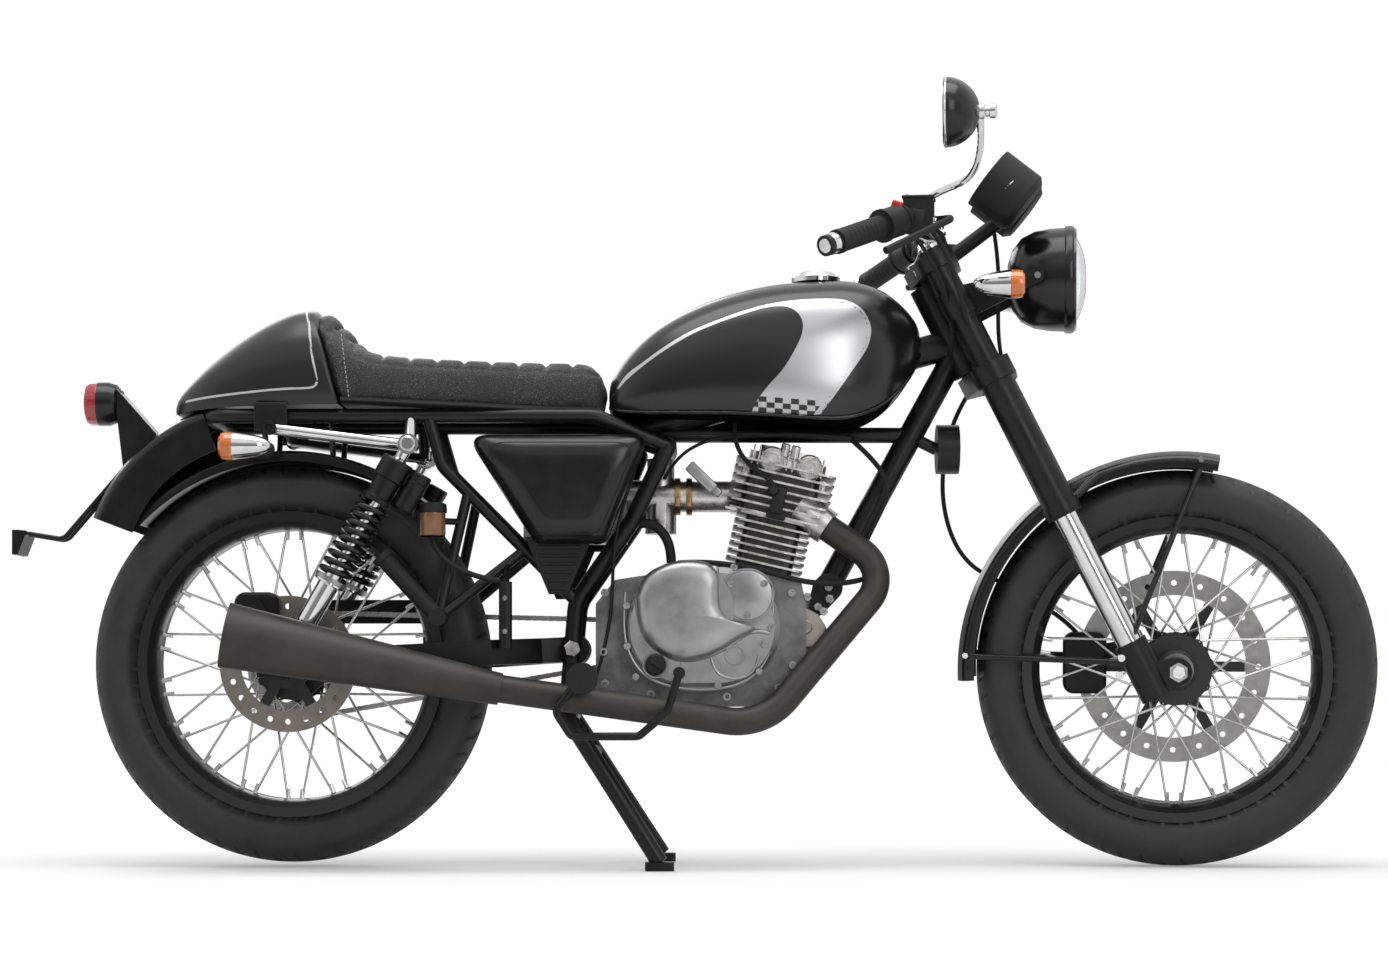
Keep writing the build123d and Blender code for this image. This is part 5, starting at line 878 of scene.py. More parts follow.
def saddle():
    """The grained saddle pad with its channels, side seams and stitches."""
    rings = [
        body_ring(x, floor, roof, half, PAD_SHARES, 4, lean)
        for x, floor, roof, half, lean in smooth_rows(PAD_ROWS, 4)
    ]
    pad = puffed(loft_object("saddle_start", rings), PUFF_LIMIT)
    pad.data.update()
    normals = [vertex.normal.copy() for vertex in pad.data.vertices]
    for vertex, normal in zip(pad.data.vertices, normals):
        x, y, z = vertex.co / MM
        along = (CHANNEL_FRONT_X - x) / CHANNEL_PITCH
        wave = abs(along - round(along)) * CHANNEL_PITCH
        groove = math.exp(-((wave / CHANNEL_SOFTNESS) ** 2)) if x < CHANNEL_FRONT_X + 10 else 0.0
        top = max(0.0, min(1.0, (normal.z + 0.6 * max(normal.x, 0) - 0.45) / 0.3))
        side = max(0.0, 1.0 - abs(y) / 104.0) ** 0.2
        seam = math.exp(-(((abs(normal.z) - 0.52) / 0.10) ** 2)) if z > 740 and x > -520 else 0.0
        vertex.co -= normal * (CHANNEL_DEPTH * groove * top * side + SEAM_DEPTH * seam) * MM
    settle(pad, "frame", grained_cover, 180)
    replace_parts(pad, "saddle")
    rings = [body_ring(x, floor, floor + BASE_HEIGHT, half, BASE_SHARES, 2) for x, floor, half in BASE_ROWS]
    settle(loft_object("saddle_base", rings), "frame", plastic_black)
    stitches = []
    for side in (-1, 1):
        for step in range(STITCHES):
            share = step / (STITCHES - 1)
            place = Vector((-521 - 12 * share, side * (117.5 - 9 * share ** 3), 716 + 92 * share))
            stitches.append(block_object("stitch", place, (1.0, 0.9, 4.4), 0.3, -8))
    settle(joined("saddle_stitches", stitches), "frame", white_paint)


saddle()

# Tail cowl. Columns: x, floor, roof, half width, lean
COWL_ROWS = (
    (-538, 704, 853, 117, 15),
    (-545, 704, 858, 120, 15),
    (-580, 704, 854, 120, 13),
    (-622, 703, 841, 117, 10),
    (-665, 702, 822, 111, 7),
    (-705, 701, 799, 102, 4),
    (-740, 699, 774, 90, 2),
    (-768, 697, 750, 74, 0),
    (-788, 695, 729, 52, 0),
    (-797, 696, 714, 32, 0),
)
COWL_SHARES = (
    (0.955, 0.0), (0.99, 0.10), (1.0, 0.24), (0.975, 0.48), (0.87, 0.71), (0.62, 0.90), (0.32, 0.98),
    (0.0, 1.0),
)
# The white line's course, as (x, z)
COWL_LINE = (
    (-776, 712), (-740, 716), (-674, 722), (-620, 726), (-578, 728), (-570, 733), (-569, 740),
    (-575, 770), (-580, 800), (-584, 826), (-597, 860),
)
LINE_HALF_WIDTH = 1.7
LINE_END_X = -782.0
# The rolls of the hump pad. Columns: middle x, middle z, half thickness, half width
HUMP_ROLLS = ((-563, 833, 17, 88), (-542, 812, 17, 96), (-520, 790, 16, 102))
ROLL_DROP = 26.0


def tail_cowl():
    """The painted cowl with its white line, and the rolled pad in front of it."""
    rows = smooth_rows(COWL_ROWS, 9)
    rings = [body_ring(x, floor, roof, half, COWL_SHARES, 7, lean) for x, floor, roof, half, lean in rows]
    shell = loft_object("cowl_shell", rings)
    line = smooth_rows(COWL_LINE, 6)

    def on_line(x, y, z):
        return LINE_HALF_WIDTH - abs(outline_distance(line, x, z, False)) if x > LINE_END_X else UNMARKED

    store(shell, "line", on_line)
    paint, _ = marked("cowl_paint", (0.011, 0.011, 0.012), 0.0, 0.33, (("line", grey(0.62), 0.0, 0.35),))
    settle(shell, "frame", paint, 50)
    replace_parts(shell, "tail_cowl")
    rolls = []
    for middle_x, middle_z, thick, width in HUMP_ROLLS:
        rings = []
        for step in range(25):
            across = -1 + step / 12
            taper = max(0.12, 1 - abs(across) ** 5) ** 0.5
            centre = Vector((middle_x, across * width, middle_z - ROLL_DROP * abs(across) ** 3))
            rings.append([wheel_point(centre, thick * taper, angle) for angle in ring_angles(20)])
        rolls.append(loft_object("roll", rings))
    pad = settle(joined("hump_pad", rolls), "frame", grained_cover, 180)


tail_cowl()


# Side panels
PANEL_OUTLINE = ((-66, 658), (-346, 658), (-240, 492), (-134, 492))
PANEL_MIDDLE = (-198, 592)
PANEL_CORNER = 20.0
PANEL_LINE_INSET = 14.0
PANEL_LINE_Y = 138.6
COVER_OUTLINE = ((-257, 504), (-153, 504), (-190, 416), (-220, 416))
COVER_MIDDLE = (-205, 463)
# Columns: distance from the centre plane, share of the full size
COVER_STEPS = ((99, 0.98), (110, 0.98), (112, 0.95))
COVER_RIBS = 6
COVER_RIB_PITCH = 12.5
# Columns: inset from the edge, distance from the centre plane
PANEL_CROWN = ((2, 99), (0, 104), (0.4, 113), (2, 121), (5.5, 129), (11, 136), (18, 141.5), (26, 145),
               (35, 147))


def rounded(corners, radius, inset, steps=8):
    """A closed outline of (x, z), its corners rounded, drawn in by the inset."""
    count = len(corners)
    lines = []
    for index in range(count):
        here, there = Vector(corners[index]), Vector(corners[(index + 1) % count])
        run = (there - here).normalized()
        inward = Vector((run.y, -run.x))
        if inward.dot(Vector(PANEL_MIDDLE) - here) < 0:
            inward = -inward
        lines.append((here + inward * inset, run))
    places = []
    for index in range(count):
        (start, run), (other, next_run) = lines[index], lines[(index + 1) % count]
        cross = run.x * next_run.y - run.y * next_run.x
        offset = other - start
        corner = start + run * ((offset.x * next_run.y - offset.y * next_run.x) / cross)
        bend = math.acos(max(-1.0, min(1.0, run.dot(next_run))))
        soft = radius + inset * 0.2
        reach = min(soft * math.tan(bend / 2), 45.0)
        first, last = corner - run * reach, corner + next_run * reach
        for step in range(steps + 1):
            t = step / steps
            places.append(first * (1 - t) ** 2 + corner * 2 * t * (1 - t) + last * t * t)
    return places


def scaled(outline, middle, size, y):
    """An outline of (x, z) at y, scaled about its middle."""
    mid_x, mid_z = middle
    return [Vector((mid_x + (x - mid_x) * size, y, mid_z + (z - mid_z) * size)) for x, z in outline]


def side_panels():
    """Crowned side panels with a fine inset line, over ribbed lower covers."""
    shells, lines, lowers = [], [], []
    for side in (-1, 1):
        rings = [
            [Vector((x, side * across, z)) for x, z in rounded(PANEL_OUTLINE, PANEL_CORNER, inset)]
            for inset, across in smooth_rows(PANEL_CROWN, 3)
        ]
        shells.append(loft_object("panel", rings))
        edge = rounded(PANEL_OUTLINE, PANEL_CORNER, PANEL_LINE_INSET)
        lines.append(tube_object("line", [(x, side * PANEL_LINE_Y, z) for x, z in edge], 0.8, False, True))
        rings = [scaled(COVER_OUTLINE, COVER_MIDDLE, size, side * across) for across, size in COVER_STEPS]
        lowers.append(loft_object("cover", rings))
        for rib in range(COVER_RIBS):
            over_foot = 9 + rib * COVER_RIB_PITCH
            half = 12 + over_foot * 0.40
            place = (COVER_MIDDLE[0], side * 112.5, 416 + over_foot)
            lowers.append(block_object("rib", place, (1.7 * half, 4.5, 5.0), 1.8))
    made = settle(joined("side_panel_shells", shells), "frame", gloss_black, 60)
    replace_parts(made, "side_panels")
    settle(joined("side_panel_lines", lines), "frame", plastic_black)
    settle(joined("side_panel_covers", lowers), "frame", plastic_black)
    tabs = []
    for side in (-1, 1):
        tabs.append(block_object("tab", (-639, side * 116, 684), (50, 5, 44), 2))
        tabs += bolt_parts([(-640, side * 122, 667), (-429, side * 146, 641)], (0, side, 0), 11, 6, 24)
    settle(joined("rail_tabs", tabs), "frame", satin_black)


side_panels()


# Tyres. Columns of the flank: share of the width, radius
TYRE_FLANK = (
    (0.455, 246), (0.492, 259), (0.5, 270), (0.488, 280), (0.445, 288), (0.385, 294.5), (0.28, 300.5),
    (0.14, 304.6), (0, TYRE_RADIUS),
)
BEAD = (40, 231)
TYRE_STEPS = 960
TREAD_PITCHES = 30
GROOVE_DEPTH = 3.2
LINE_GROOVE_DEPTH = 2.6
# The tread stays this far inside the solid tyre
TREAD_CLEARANCE = 0.3


def groove_depth(across, angle):
    """The depth of the tread at a share of the width and an angle round the wheel."""
    if abs(abs(across) - 0.025) < 0.012:
        return LINE_GROOVE_DEPTH
    if not 0.03 < abs(across) < 0.43:
        return 0.0
    sweep = abs(across) * (0.42 if abs(across) < 0.26 else 0.30)
    lead = 0.5 if across > 0 else 0.0
    position = (angle * TREAD_PITCHES / (2 * math.pi) + lead + sweep * 3.2) % 1.0
    long_groove = abs(position - 0.5) < 0.055 and abs(across) < 0.40
    short_groove = abs(position - 0.02) < 0.045 and 0.24 < abs(across) < 0.42
    return GROOVE_DEPTH if long_groove or short_groove else 0.0


def tyre(name, node, body, axle, width):
    """A road tyre with grooves across its crown and rings on its flanks."""
    rows = [(BEAD[0], RIM_FLANGE_RADIUS)] + [(share * width, radius) for share, radius in TYRE_FLANK]
    half = smooth_rows(rows, 4)
    profile = [(-y, radius) for y, radius in half[:-1]] + half[::-1]
    profile = [(-BEAD[0], BEAD[1])] + profile + [BEAD]
    verts = []
    for angle in ring_angles(TYRE_STEPS):
        for y, radius in profile:
            ring = 0.7 * math.exp(-(((radius - 243) / 1.5) ** 2)) if radius < 262 else 0.0
            here = radius - TREAD_CLEARANCE - groove_depth(y / width, angle)
            place = Vector((here * math.cos(angle), y + math.copysign(ring, y), here * math.sin(angle)))
            verts.append(place + axle)
    count = len(profile)
    faces = []
    for step in range(TYRE_STEPS):
        here, there = step * count, ((step + 1) % TYRE_STEPS) * count
        for column in range(count):
            after = (column + 1) % count
            faces.append((here + column, here + after, there + after, there + column))
    made = settle(mesh_object(name, verts, faces), body, tread_rubber, 40)
    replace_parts(made, node)


tyre("front_tyre_tread", "front_tyre", "front_wheel", FRONT_AXLE, FRONT_TYRE_WIDTH)
tyre("rear_tyre_tread", "rear_tyre", "rear_wheel", REAR_AXLE, REAR_TYRE_WIDTH)


# Spokes, as the rims of the frame have them
SPOKE_GROUPS = 9
SPOKE_LEAD = 52.0
NIPPLE_RADIUS = 193.0
NIPPLE_PROFILE = ((0, 0), (2.6, 0), (3.3, 10), (4.2, 15), (0, 15))
VALVE_ANGLE = 0.9
VALVE_RADIUS = 184.0
VALVE_PROFILE = ((0, 0), (3, 0), (3, 8), (2.2, 9), (2.2, 20), (4, 26), (0, 26))


def nipples(name, body, axle):
    """Spoke nipples round the rim, and the tyre's valve."""
    parts = []
    for group in range(SPOKE_GROUPS):
        for side in (-1, 1):
            for lead in (-1, 1):
                hole = (group + 0.25 * side + 0.125 * lead) * 360 / SPOKE_GROUPS
                angle = math.radians(hole + lead * SPOKE_LEAD)
                foot = wheel_point(axle, NIPPLE_RADIUS, angle) + LEFT * side * 5
                outward = wheel_point(Vector(), 1, angle)
                parts.append(turned_object("nipple", NIPPLE_PROFILE, foot, outward, 8))
    outward = wheel_point(Vector(), 1, VALVE_ANGLE)
    parts.append(turned_object("valve", VALVE_PROFILE, axle + outward * VALVE_RADIUS, outward, 10))
    settle(joined(name, parts), body, steel)


nipples("front_nipples", "front_wheel", FRONT_AXLE)
nipples("rear_nipples", "rear_wheel", REAR_AXLE)


# Chain
CHAIN_Y = 86.0
FRONT_SPROCKET = Vector((-84.0, CHAIN_Y, 352.0))
FRONT_SPROCKET_RADIUS = 30.5
REAR_SPROCKET_RADIUS = 83.0
TWO_LINKS = 25.4
PLATE_THICKNESS = 1.2
INNER_PLATE_Y = 3.2
OUTER_PLATE_Y = 4.6
PLATE_REACH = 4.6
PLATE_HALF_HEIGHT = 4.7
PIN_RADIUS = 2.1
PIN_HALF_LENGTH = 6.6


def prism_faces(first, count):
    """The faces between two rings of so many vertices and over both, from the first vertex on."""
    faces = [tuple(range(first, first + count)), tuple(range(first + count, first + 2 * count))]
    for here in range(count):
        there = (here + 1) % count
        faces.append((first + here, first + there, first + count + there, first + count + here))
    return faces


def chain():
    """Roller chain round both sprockets, its plates and pins one by one."""
    rear = Vector((REAR_AXLE.x, CHAIN_Y, REAR_AXLE.z))
    run = FRONT_SPROCKET - rear
    distance = math.hypot(run.x, run.z)
    base = math.atan2(run.z, run.x)
    spread = math.acos((REAR_SPROCKET_RADIUS - FRONT_SPROCKET_RADIUS) / distance)
    straight = distance * math.sin(spread)

    def on_rear(along):
        return wheel_point(rear, REAR_SPROCKET_RADIUS, base + spread + along / REAR_SPROCKET_RADIUS)

    def on_front(along):
        return wheel_point(FRONT_SPROCKET, FRONT_SPROCKET_RADIUS,
                           base - spread + along / FRONT_SPROCKET_RADIUS)

    rear_arc = REAR_SPROCKET_RADIUS * (2 * math.pi - 2 * spread)
    front_arc = FRONT_SPROCKET_RADIUS * 2 * spread

    def on_lower(along):
        return on_rear(rear_arc) + (on_front(0) - on_rear(rear_arc)) * (along / straight)

    def on_upper(along):
        return on_front(front_arc) + (on_rear(0) - on_front(front_arc)) * (along / straight)

    # The loop's four parts. Columns: length, the place at a distance along it
    loop = ((rear_arc, on_rear), (straight, on_lower), (front_arc, on_front), (straight, on_upper))
    total = sum(length for length, _ in loop)
    count = 2 * round(total / TWO_LINKS)
    pitch = total / count

    def place(along):
        along %= total
        for length, spot in loop[:-1]:
            if along < length:
                return spot(along)
            along -= length
        return loop[-1][1](along)

    verts, faces = [], []
    for link in range(count):
        here, there = place(link * pitch), place((link + 1) * pitch)
        along = (there - here).normalized()
        up = LEFT.cross(along)
        for side in (-1, 1):
            near = side * (OUTER_PLATE_Y if link % 2 else INNER_PLATE_Y)
            ring = []
            for angle in ring_angles(12):
                tip = there if math.cos(angle) > 0 else here
                waist = 0.74 if abs(math.cos(angle)) < 0.3 else 1.0
                reach, height = PLATE_REACH * math.cos(angle), PLATE_HALF_HEIGHT * waist * math.sin(angle)
                ring.append(tip + along * reach + up * height)
            faces += prism_faces(len(verts), len(ring))
            for y in (near, near + side * PLATE_THICKNESS):
                verts += [corner + LEFT * y for corner in ring]
        faces += prism_faces(len(verts), 8)
        for y in (-PIN_HALF_LENGTH, PIN_HALF_LENGTH):
            verts += [wheel_point(here + LEFT * y, PIN_RADIUS, angle) for angle in ring_angles(8)]
    made = settle(mesh_object("roller_chain", verts, faces), "frame", steel)
    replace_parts(made, "chain")


chain()


# Shock absorbers
SHOCK_TOP = Vector((-429, 0, 641))
SHOCK_FOOT = Vector((-592, 0, 355))
SHOCK_Y = 134
SPRING_START = 101.0
SPRING_END_SPARE = 100.0
SPRING_TURNS = 9.5
SPRING_STEPS = 24
SPRING_RADIUS = 22.5
SPRING_WIRE_RADIUS = 4.4
RESERVOIR_OFFSET = 40.0


def shocks():
    """Rear shocks: black heads and springs, bright shafts and lower bodies, reservoirs at the side."""
    length = (SHOCK_FOOT - SHOCK_TOP).length
    run = (SHOCK_FOOT - SHOCK_TOP).normalized()
    across = run.orthogonal().normalized()
    up = run.cross(across)
    black, bright, coils, alloy = [], [], [], []
    pin = [(0, 0), (7, 0), (8, 2), (11.5, 2), (11.5, 8), (9, 9.5), (0, 9.5)]
    neck = [(0, 8), (10, 8), (9, 24), (14, 30), (0, 30)]
    shaft = [(0, 96), (8, 96), (8, length - 70), (0, length - 70)]
    head = [(0, 28), (23, 28), (25, 31), (25, 60), (21, 62), (20, 90), (24, 93), (24, 100), (0, 100)]
    body = [(0, length - 122), (13, length - 122), (13, length - 96), (24, length - 94), (25, length - 88)]
    body += [(16.5, length - 86), (16.5, length - 22), (13, length - 16), (12, length - 6), (0, length - 6)]
    collar = [(14, length - 98), (26, length - 98), (26, length - 91), (14, length - 91)]
    can = [(0, 0), (15, 0), (17, 2), (17, 14), (16.2, 15), (17, 16), (17, 60), (14, 64), (0, 64)]
    for side in (-1, 1):
        top = SHOCK_TOP + LEFT * side * SHOCK_Y
        foot = SHOCK_FOOT + LEFT * side * SHOCK_Y
        for place, radius in ((top, 15.5), (foot, 14)):
            eye = [(6.4, -10), (radius, -10), (radius, 10), (6.4, 10)]
            bright.append(turned_object("eye", eye, place, LEFT, 32))
            bright.append(turned_object("pin", pin, place + LEFT * side * 9, (0, side, 0), 24))
        for parts, profile, segments in (
            (bright, neck, 32), (black, head, 40), (bright, shaft, 32), (bright, body, 40),
            (alloy, collar, 40),
        ):
            parts.append(turned_object("turned", profile, top, run, segments))
        spiral = []
        last = int(SPRING_TURNS * SPRING_STEPS)
        for step in range(last + 1):
            along = SPRING_START + (length - SPRING_END_SPARE - SPRING_START) * step / last
            angle = 2 * math.pi * SPRING_TURNS * step / last
            outward = across * math.cos(angle) + up * math.sin(angle)
            spiral.append(top + run * along + outward * SPRING_RADIUS)
        coils.append(tube_object("coil", spiral, SPRING_WIRE_RADIUS, False))
        offset = Vector((-run.z, 0, run.x)) * RESERVOIR_OFFSET
        black.append(turned_object("can", can, top + run * 29 + offset, run, 32))
        black.append(block_object("bridge", top + run * 46 + offset * 0.5, (26, 16, 18), 3, 60))
    settle(joined("shock_heads", black), "frame", satin_black)
    shock_bright = settle(joined("shock_bodies", bright), "frame", chrome)
    settle(joined("shock_springs", coils), "frame", gloss_black, 60)
    settle(joined("shock_collars", alloy), "frame", cast_alloy)
    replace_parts(shock_bright, "shocks")


shocks()


# Lamps
LAMP_CENTRE = Vector((578, 0, 905))
LAMP_SHELL = (
    (0, -94), (24, -93), (46, -86), (64, -72), (74, -52), (78, -28), (79, -10), (79, -4), (70, -4),
    (66, -30), (50, -60), (20, -76), (0, -78),
)
LAMP_RIM = ((72, -6), (80.5, -6), (82, -3), (82, 5), (80, 8.5), (76, 10), (73, 9), (72, 4), (72, -6))
LAMP_TRIM = ((73.2, 8), (77.5, 9.6), (78.4, 11.2), (76.5, 12.2), (73.2, 11.4), (73.2, 8))
LAMP_GLASS = ((0, 27), (20, 26.2), (38, 23), (54, 17.5), (66, 10.5), (73.5, 3))
LAMP_BOWL = (
    (72.5, 0), (66, -16), (54, -34), (38, -48), (18, -56), (12, -57), (12, -59), (40, -51), (56, -37),
    (69, -16), (74, 0), (72.5, 0),
)
LAMP_BULB = ((0, -58), (9, -58), (9, -40), (6.5, -36), (6.5, -12), (4, -7), (0, -6))


def headlight():
    """The headlight: a black shell, a bright rim, a curved lens and the reflector behind it."""
    back = tuple((radius * 0.985, along - 2.6) for radius, along in reversed(LAMP_GLASS))
    made = {}
    # Columns: name, profile, segments, finish, slot
    for name, profile, segments, finish_of, slot in (
        ("headlight_shell", LAMP_SHELL, 72, gloss_black, "satin_black"),
        ("headlight_rim", LAMP_RIM, 72, gloss_black, "chrome"),
        ("headlight_trim", LAMP_TRIM, 72, chrome, "chrome"),
        ("headlight_lens", LAMP_GLASS + back, 96, glass, "chrome"),
        ("headlight_bowl", LAMP_BOWL, 72, chrome, "chrome"),
        ("headlight_bulb", LAMP_BULB, 24, steel, "chrome"),
    ):
        shape = turned_object(name, profile, LAMP_CENTRE, AHEAD, segments)
        made[name] = settle(shape, "steering", finish_of)
    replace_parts(made["headlight_shell"], "headlight")


headlight()


INDICATOR_BODY = (
    (0, -78), (6, -77), (11, -72), (15.5, -60), (19, -42), (21.3, -26), (21.6, -22), (19, -22), (0, -22),
)
INDICATOR_LENS = ((0, -21.6), (21.2, -21.6), (21.4, -12), (20, -5), (15, -1.4), (0, 0))
STEM_BACK = 67


def indicators(name, node, body, ahead, tip, inner_y):
    """Bullet indicators on both sides, with bright bodies, orange lenses and stems.
    The tip is (x, y, z) of the left one, and its stem reaches in to inner_y."""
    bodies, lenses, stems = [], [], []
    span = tip[1] - inner_y
    stem = [(0, 0), (7, 0), (6, 8), (6, span - 8), (10, span - 7), (10, span), (0, span)]
    for side in (-1, 1):
        end = Vector((tip[0], side * tip[1], tip[2]))
        bodies.append(turned_object("body", INDICATOR_BODY, end, ahead, 40))
        lenses.append(turned_object("lens", INDICATOR_LENS, end, ahead, 40))
        stems.append(turned_object("stem", stem, end - ahead * STEM_BACK, (0, -side, 0), 24))
    made = settle(joined(name + "_bodies", bodies), body, chrome)
    settle(joined(name + "_lenses", lenses), body, orange_lens)
    settle(joined(name + "_stems", stems), body, satin_black)
    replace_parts(made, node)


indicators("rear_indicator", "rear_indicators", "frame", BACK, (-710, 160, 636), 112)
indicators("front_indicator", "front_indicators", "steering", AHEAD, (514, 142, 888), 98)


TAIL_LAMP = Vector((-914, 0, 716))
TAIL_LENS = ((0, 29), (22, 28), (31, 25), (33.5, 19), (33.5, 7), (0, 7))
TAIL_SHELL = ((0, -28), (20, -28), (30, -20), (34, -8), (34, 8), (30, 9), (0, 9))


def tail_lamp():
    """A round red lens on a black housing, on its bracket."""
    settle(turned_object("tail_lens", TAIL_LENS, TAIL_LAMP, BACK, 56), "frame", red_lens)
    house = turned_object("tail_housing", TAIL_SHELL, TAIL_LAMP, BACK, 56)
    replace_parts(settle(house, "frame", gloss_black), "tail_lamp")


tail_lamp()


# Engine details
COVER_Y = -116.0
# The centre of the upper boss on the right cover, as (x, z)
BOSS = (80, 415)
FILLER = (-58, 310)
COVER_SCREWS = (
    (-68, 441), (-102, 399), (-101, 338), (-88, 292), (-30, 279), (36, 279), (98, 300), (106, 341),
    (117, 366), (112, 428), (60, 457), (-22, 458),
)
CASE_SCREWS = ((-136, 420), (-138, 330), (-136, 282), (-66, 266), (50, 262), (128, 276), (150, 310),
               (148, 420))
LEFT_SCREWS = ((-60, 430), (20, 446), (84, 430), (104, 340), (60, 292), (-20, 282))
# The section of a raised ring. Columns: from its radius, height
COVER_RING_EDGE = ((-1.8, 0), (1.8, 0), (1.2, 1.8), (-1.2, 1.8), (-1.8, 0))
# Rings on the right cover. Columns: x, z, radius, y
COVER_RINGS = ((61, 325, 14, -116.2), (*BOSS, 39, -120.2), (*FILLER, 19, -116.2))
# Raised ribs of the right cover. Columns: places (x, z), radius, y
COVER_RIBBING = (
    (((-87, 410), (-84, 371), (-71, 345), (-50, 326), (-19, 315), (12, 319), (42, 332), (67, 349), (90, 365),
      (113, 358)), 3.4, -115.4),
    (((25, 322), (30, 300), (45, 291), (63, 288), (82, 293), (94, 305), (97, 324)), 2.4, -115.4),
    (((-19, 315), (-19, 284)), 1.6, -115.6),
    (((-104, 420), (-109, 366), (-100, 322), (-72, 288), (-20, 272), (40, 272), (88, 288), (114, 320),
      (124, 366), (116, 420)), 2.2, -112.5),
)
BULGE_FOOT = (
    (-88, 412), (-74, 444), (-44, 462), (-10, 468), (22, 463), (38, 446), (39, 420), (41, 398),
    (52, 382), (70, 373), (92, 366), (86, 358), (67, 348), (42, 332), (12, 319), (-19, 315), (-50, 326),
    (-71, 345), (-84, 371), (-88, 412),
)
BULGE_MIDDLE = (-16, 392)
# Columns: share of the bulge's foot, y
BULGE_STEPS = (
    (1.0, -112), (1.0, -118), (0.985, -122), (0.95, -126.5), (0.89, -130.5), (0.80, -133.4),
    (0.66, -135.2), (0.45, -136),
)
DOME_PROFILE = ((0, 0), (38, 0), (37, 2), (34, 3), (0, 3.2))
OIL_CAP_PROFILE = ((0, 0), (15, 0), (16, 3), (15.4, 8), (13, 10), (0, 10))
BAND_PROFILE = ((24.5, -4.5), (28.5, -4.5), (29, 0), (28.5, 4.5), (24.5, 4.5), (24.5, -4.5))
PLUG_LEAD = (
    (122, -82, 580), (116, -85, 592), (98, -84, 604), (72, -76, 624), (60, -66, 656), (62, -52, 680),
)
PLUG_CAP = ((0, 0), (9, 0), (10, 6), (9, 20), (6.5, 24), (0, 24))
# Columns: name, radius, places
ENGINE_HOSES = (
    ("breather_hose", 7.5, ((-84, -40, 528), (-66, -42, 530), (-46, -42, 516), (-35, -42, 490),
                            (-35, -42, 456))),
    ("cable_band", 4.2, ((-24, -70, 466), (10, -84, 468), (73, -92, 461), (122, -92, 449), (166, -86, 436),
                         (212, -70, 433), (250, -52, 438), (292, -40, 452))),
    ("carburettor_cable", 2.6, ((-46, -24, 598), (-30, -44, 626), (0, -50, 650), (44, -50, 662),
                                (94, -46, 666))),
    ("fuel_hose", 4.0, ((-66, 14, 600), (-60, 22, 624), (-46, 26, 646), (-40, 26, 668), (-38, 26, 684))),
    ("vent_hose", 2.6, ((-80, -70, 640), (-104, -82, 566), (-122, -84, 512), (-124, -84, 430),
                        (-128, -82, 360), (-150, -76, 290))),
    ("wire_bundle", 4.4, ((-50, -46, 664), (0, -52, 668), (60, -50, 664), (120, -48, 664), (190, -44, 664),
                          (240, -34, 660))),
    ("loom_left", 4.0, ((236, -20, 664), (262, -34, 640), (300, -44, 600), (296, -40, 560), (272, -34, 520),
                        (250, -34, 470))),
)


def cover_details():
    """Screws, rings, ribs and the bulge of the engine's covers, and the oil filler."""
    heads = side_bolts(COVER_SCREWS, COVER_Y - 1, 5.6, 5, 16)
    caps = [(BOSS[0] + 31 * math.cos(a), BOSS[1] + 31 * math.sin(a)) for a in (0.6, 2.57, 4.71)]
    heads += side_bolts(caps, -122, 5.4, 4.5, 16)
    heads += side_bolts(CASE_SCREWS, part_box("crankcase")[0].y / MM + 1, 6.5, 5.5, 16)
    heads += side_bolts(LEFT_SCREWS, 117, 5.2, 4.5)
    settle(joined("cover_screws", heads), "frame", steel)
    rings = []
    for x, z, radius, y in COVER_RINGS:
        profile = [(radius + edge, along) for edge, along in COVER_RING_EDGE]
        rings.append(turned_object("ring", profile, (x, y, z), RIGHT, 56))
    for row, thick, y in COVER_RIBBING:
        rings.append(tube_object("rib", [(x, y, z) for x, z in row], thick))
    rings.append(block_object("lug", (26, -117, 447), (22, 12, 26), 5))
    foot = smooth_rows(BULGE_FOOT, 4)[:-1]
    rings.append(loft_object("bulge", [scaled(foot, BULGE_MIDDLE, share, y) for share, y in BULGE_STEPS]))
    rings.append(turned_object("dome", DOME_PROFILE, (BOSS[0], -120.2, BOSS[1]), RIGHT, 56))
    settle(joined("cover_rings", rings), "frame", cast_alloy)
    cap = turned_object("oil_cap_detail", OIL_CAP_PROFILE, (FILLER[0], -120, FILLER[1]), RIGHT, 32)
    grip = block_object("grip", (FILLER[0], -131, FILLER[1]), (24, 6, 6), 2, 35)
    settle(joined("filler_cap", [cap, grip]), "frame", plastic_black)


def intake_details():
    """Bands on the intake, the plug's lead and boot, hoses and the ignition coil."""
    bands = []
    for x in (-26, -8):
        bands.append(turned_object("band", BAND_PROFILE, (x, 0, 572), AHEAD, 40))
        bands.append(block_object("clamp", (x, -29, 562), (8, 9, 15), 1.5))
    settle(joined("intake_bands", bands), "frame", brass)
    settle(tube_object("plug_lead", PLUG_LEAD, 3.6), "frame", rubber)
    boot = [turned_object("plug_cap", PLUG_CAP, (121, -62, 574), (0, -1, 0.1), 24)]
    boot.append(block_object("switch", (128, -78, 561), (20, 12, 42), 3, DECK_LEAN_DEGREES))
    boot.append(block_object("switch_foot", (124, -76, 538), (30, 8, 12), 3, DECK_LEAN_DEGREES))
    settle(joined("plug_boot", boot), "frame", plastic_black)
    for name, radius, places in ENGINE_HOSES:
        settle(tube_object(name, places, radius), "frame", rubber)
    coil = [block_object("ignition_coil", (11, -50, 598), (54, 16, 17), 2.5, 44)]
    coil.append(block_object("coil_foot", (34, -46, 577), (16, 20, 12), 2, 44))
    settle(joined("ignition_coil", coil), "frame", cast_alloy)


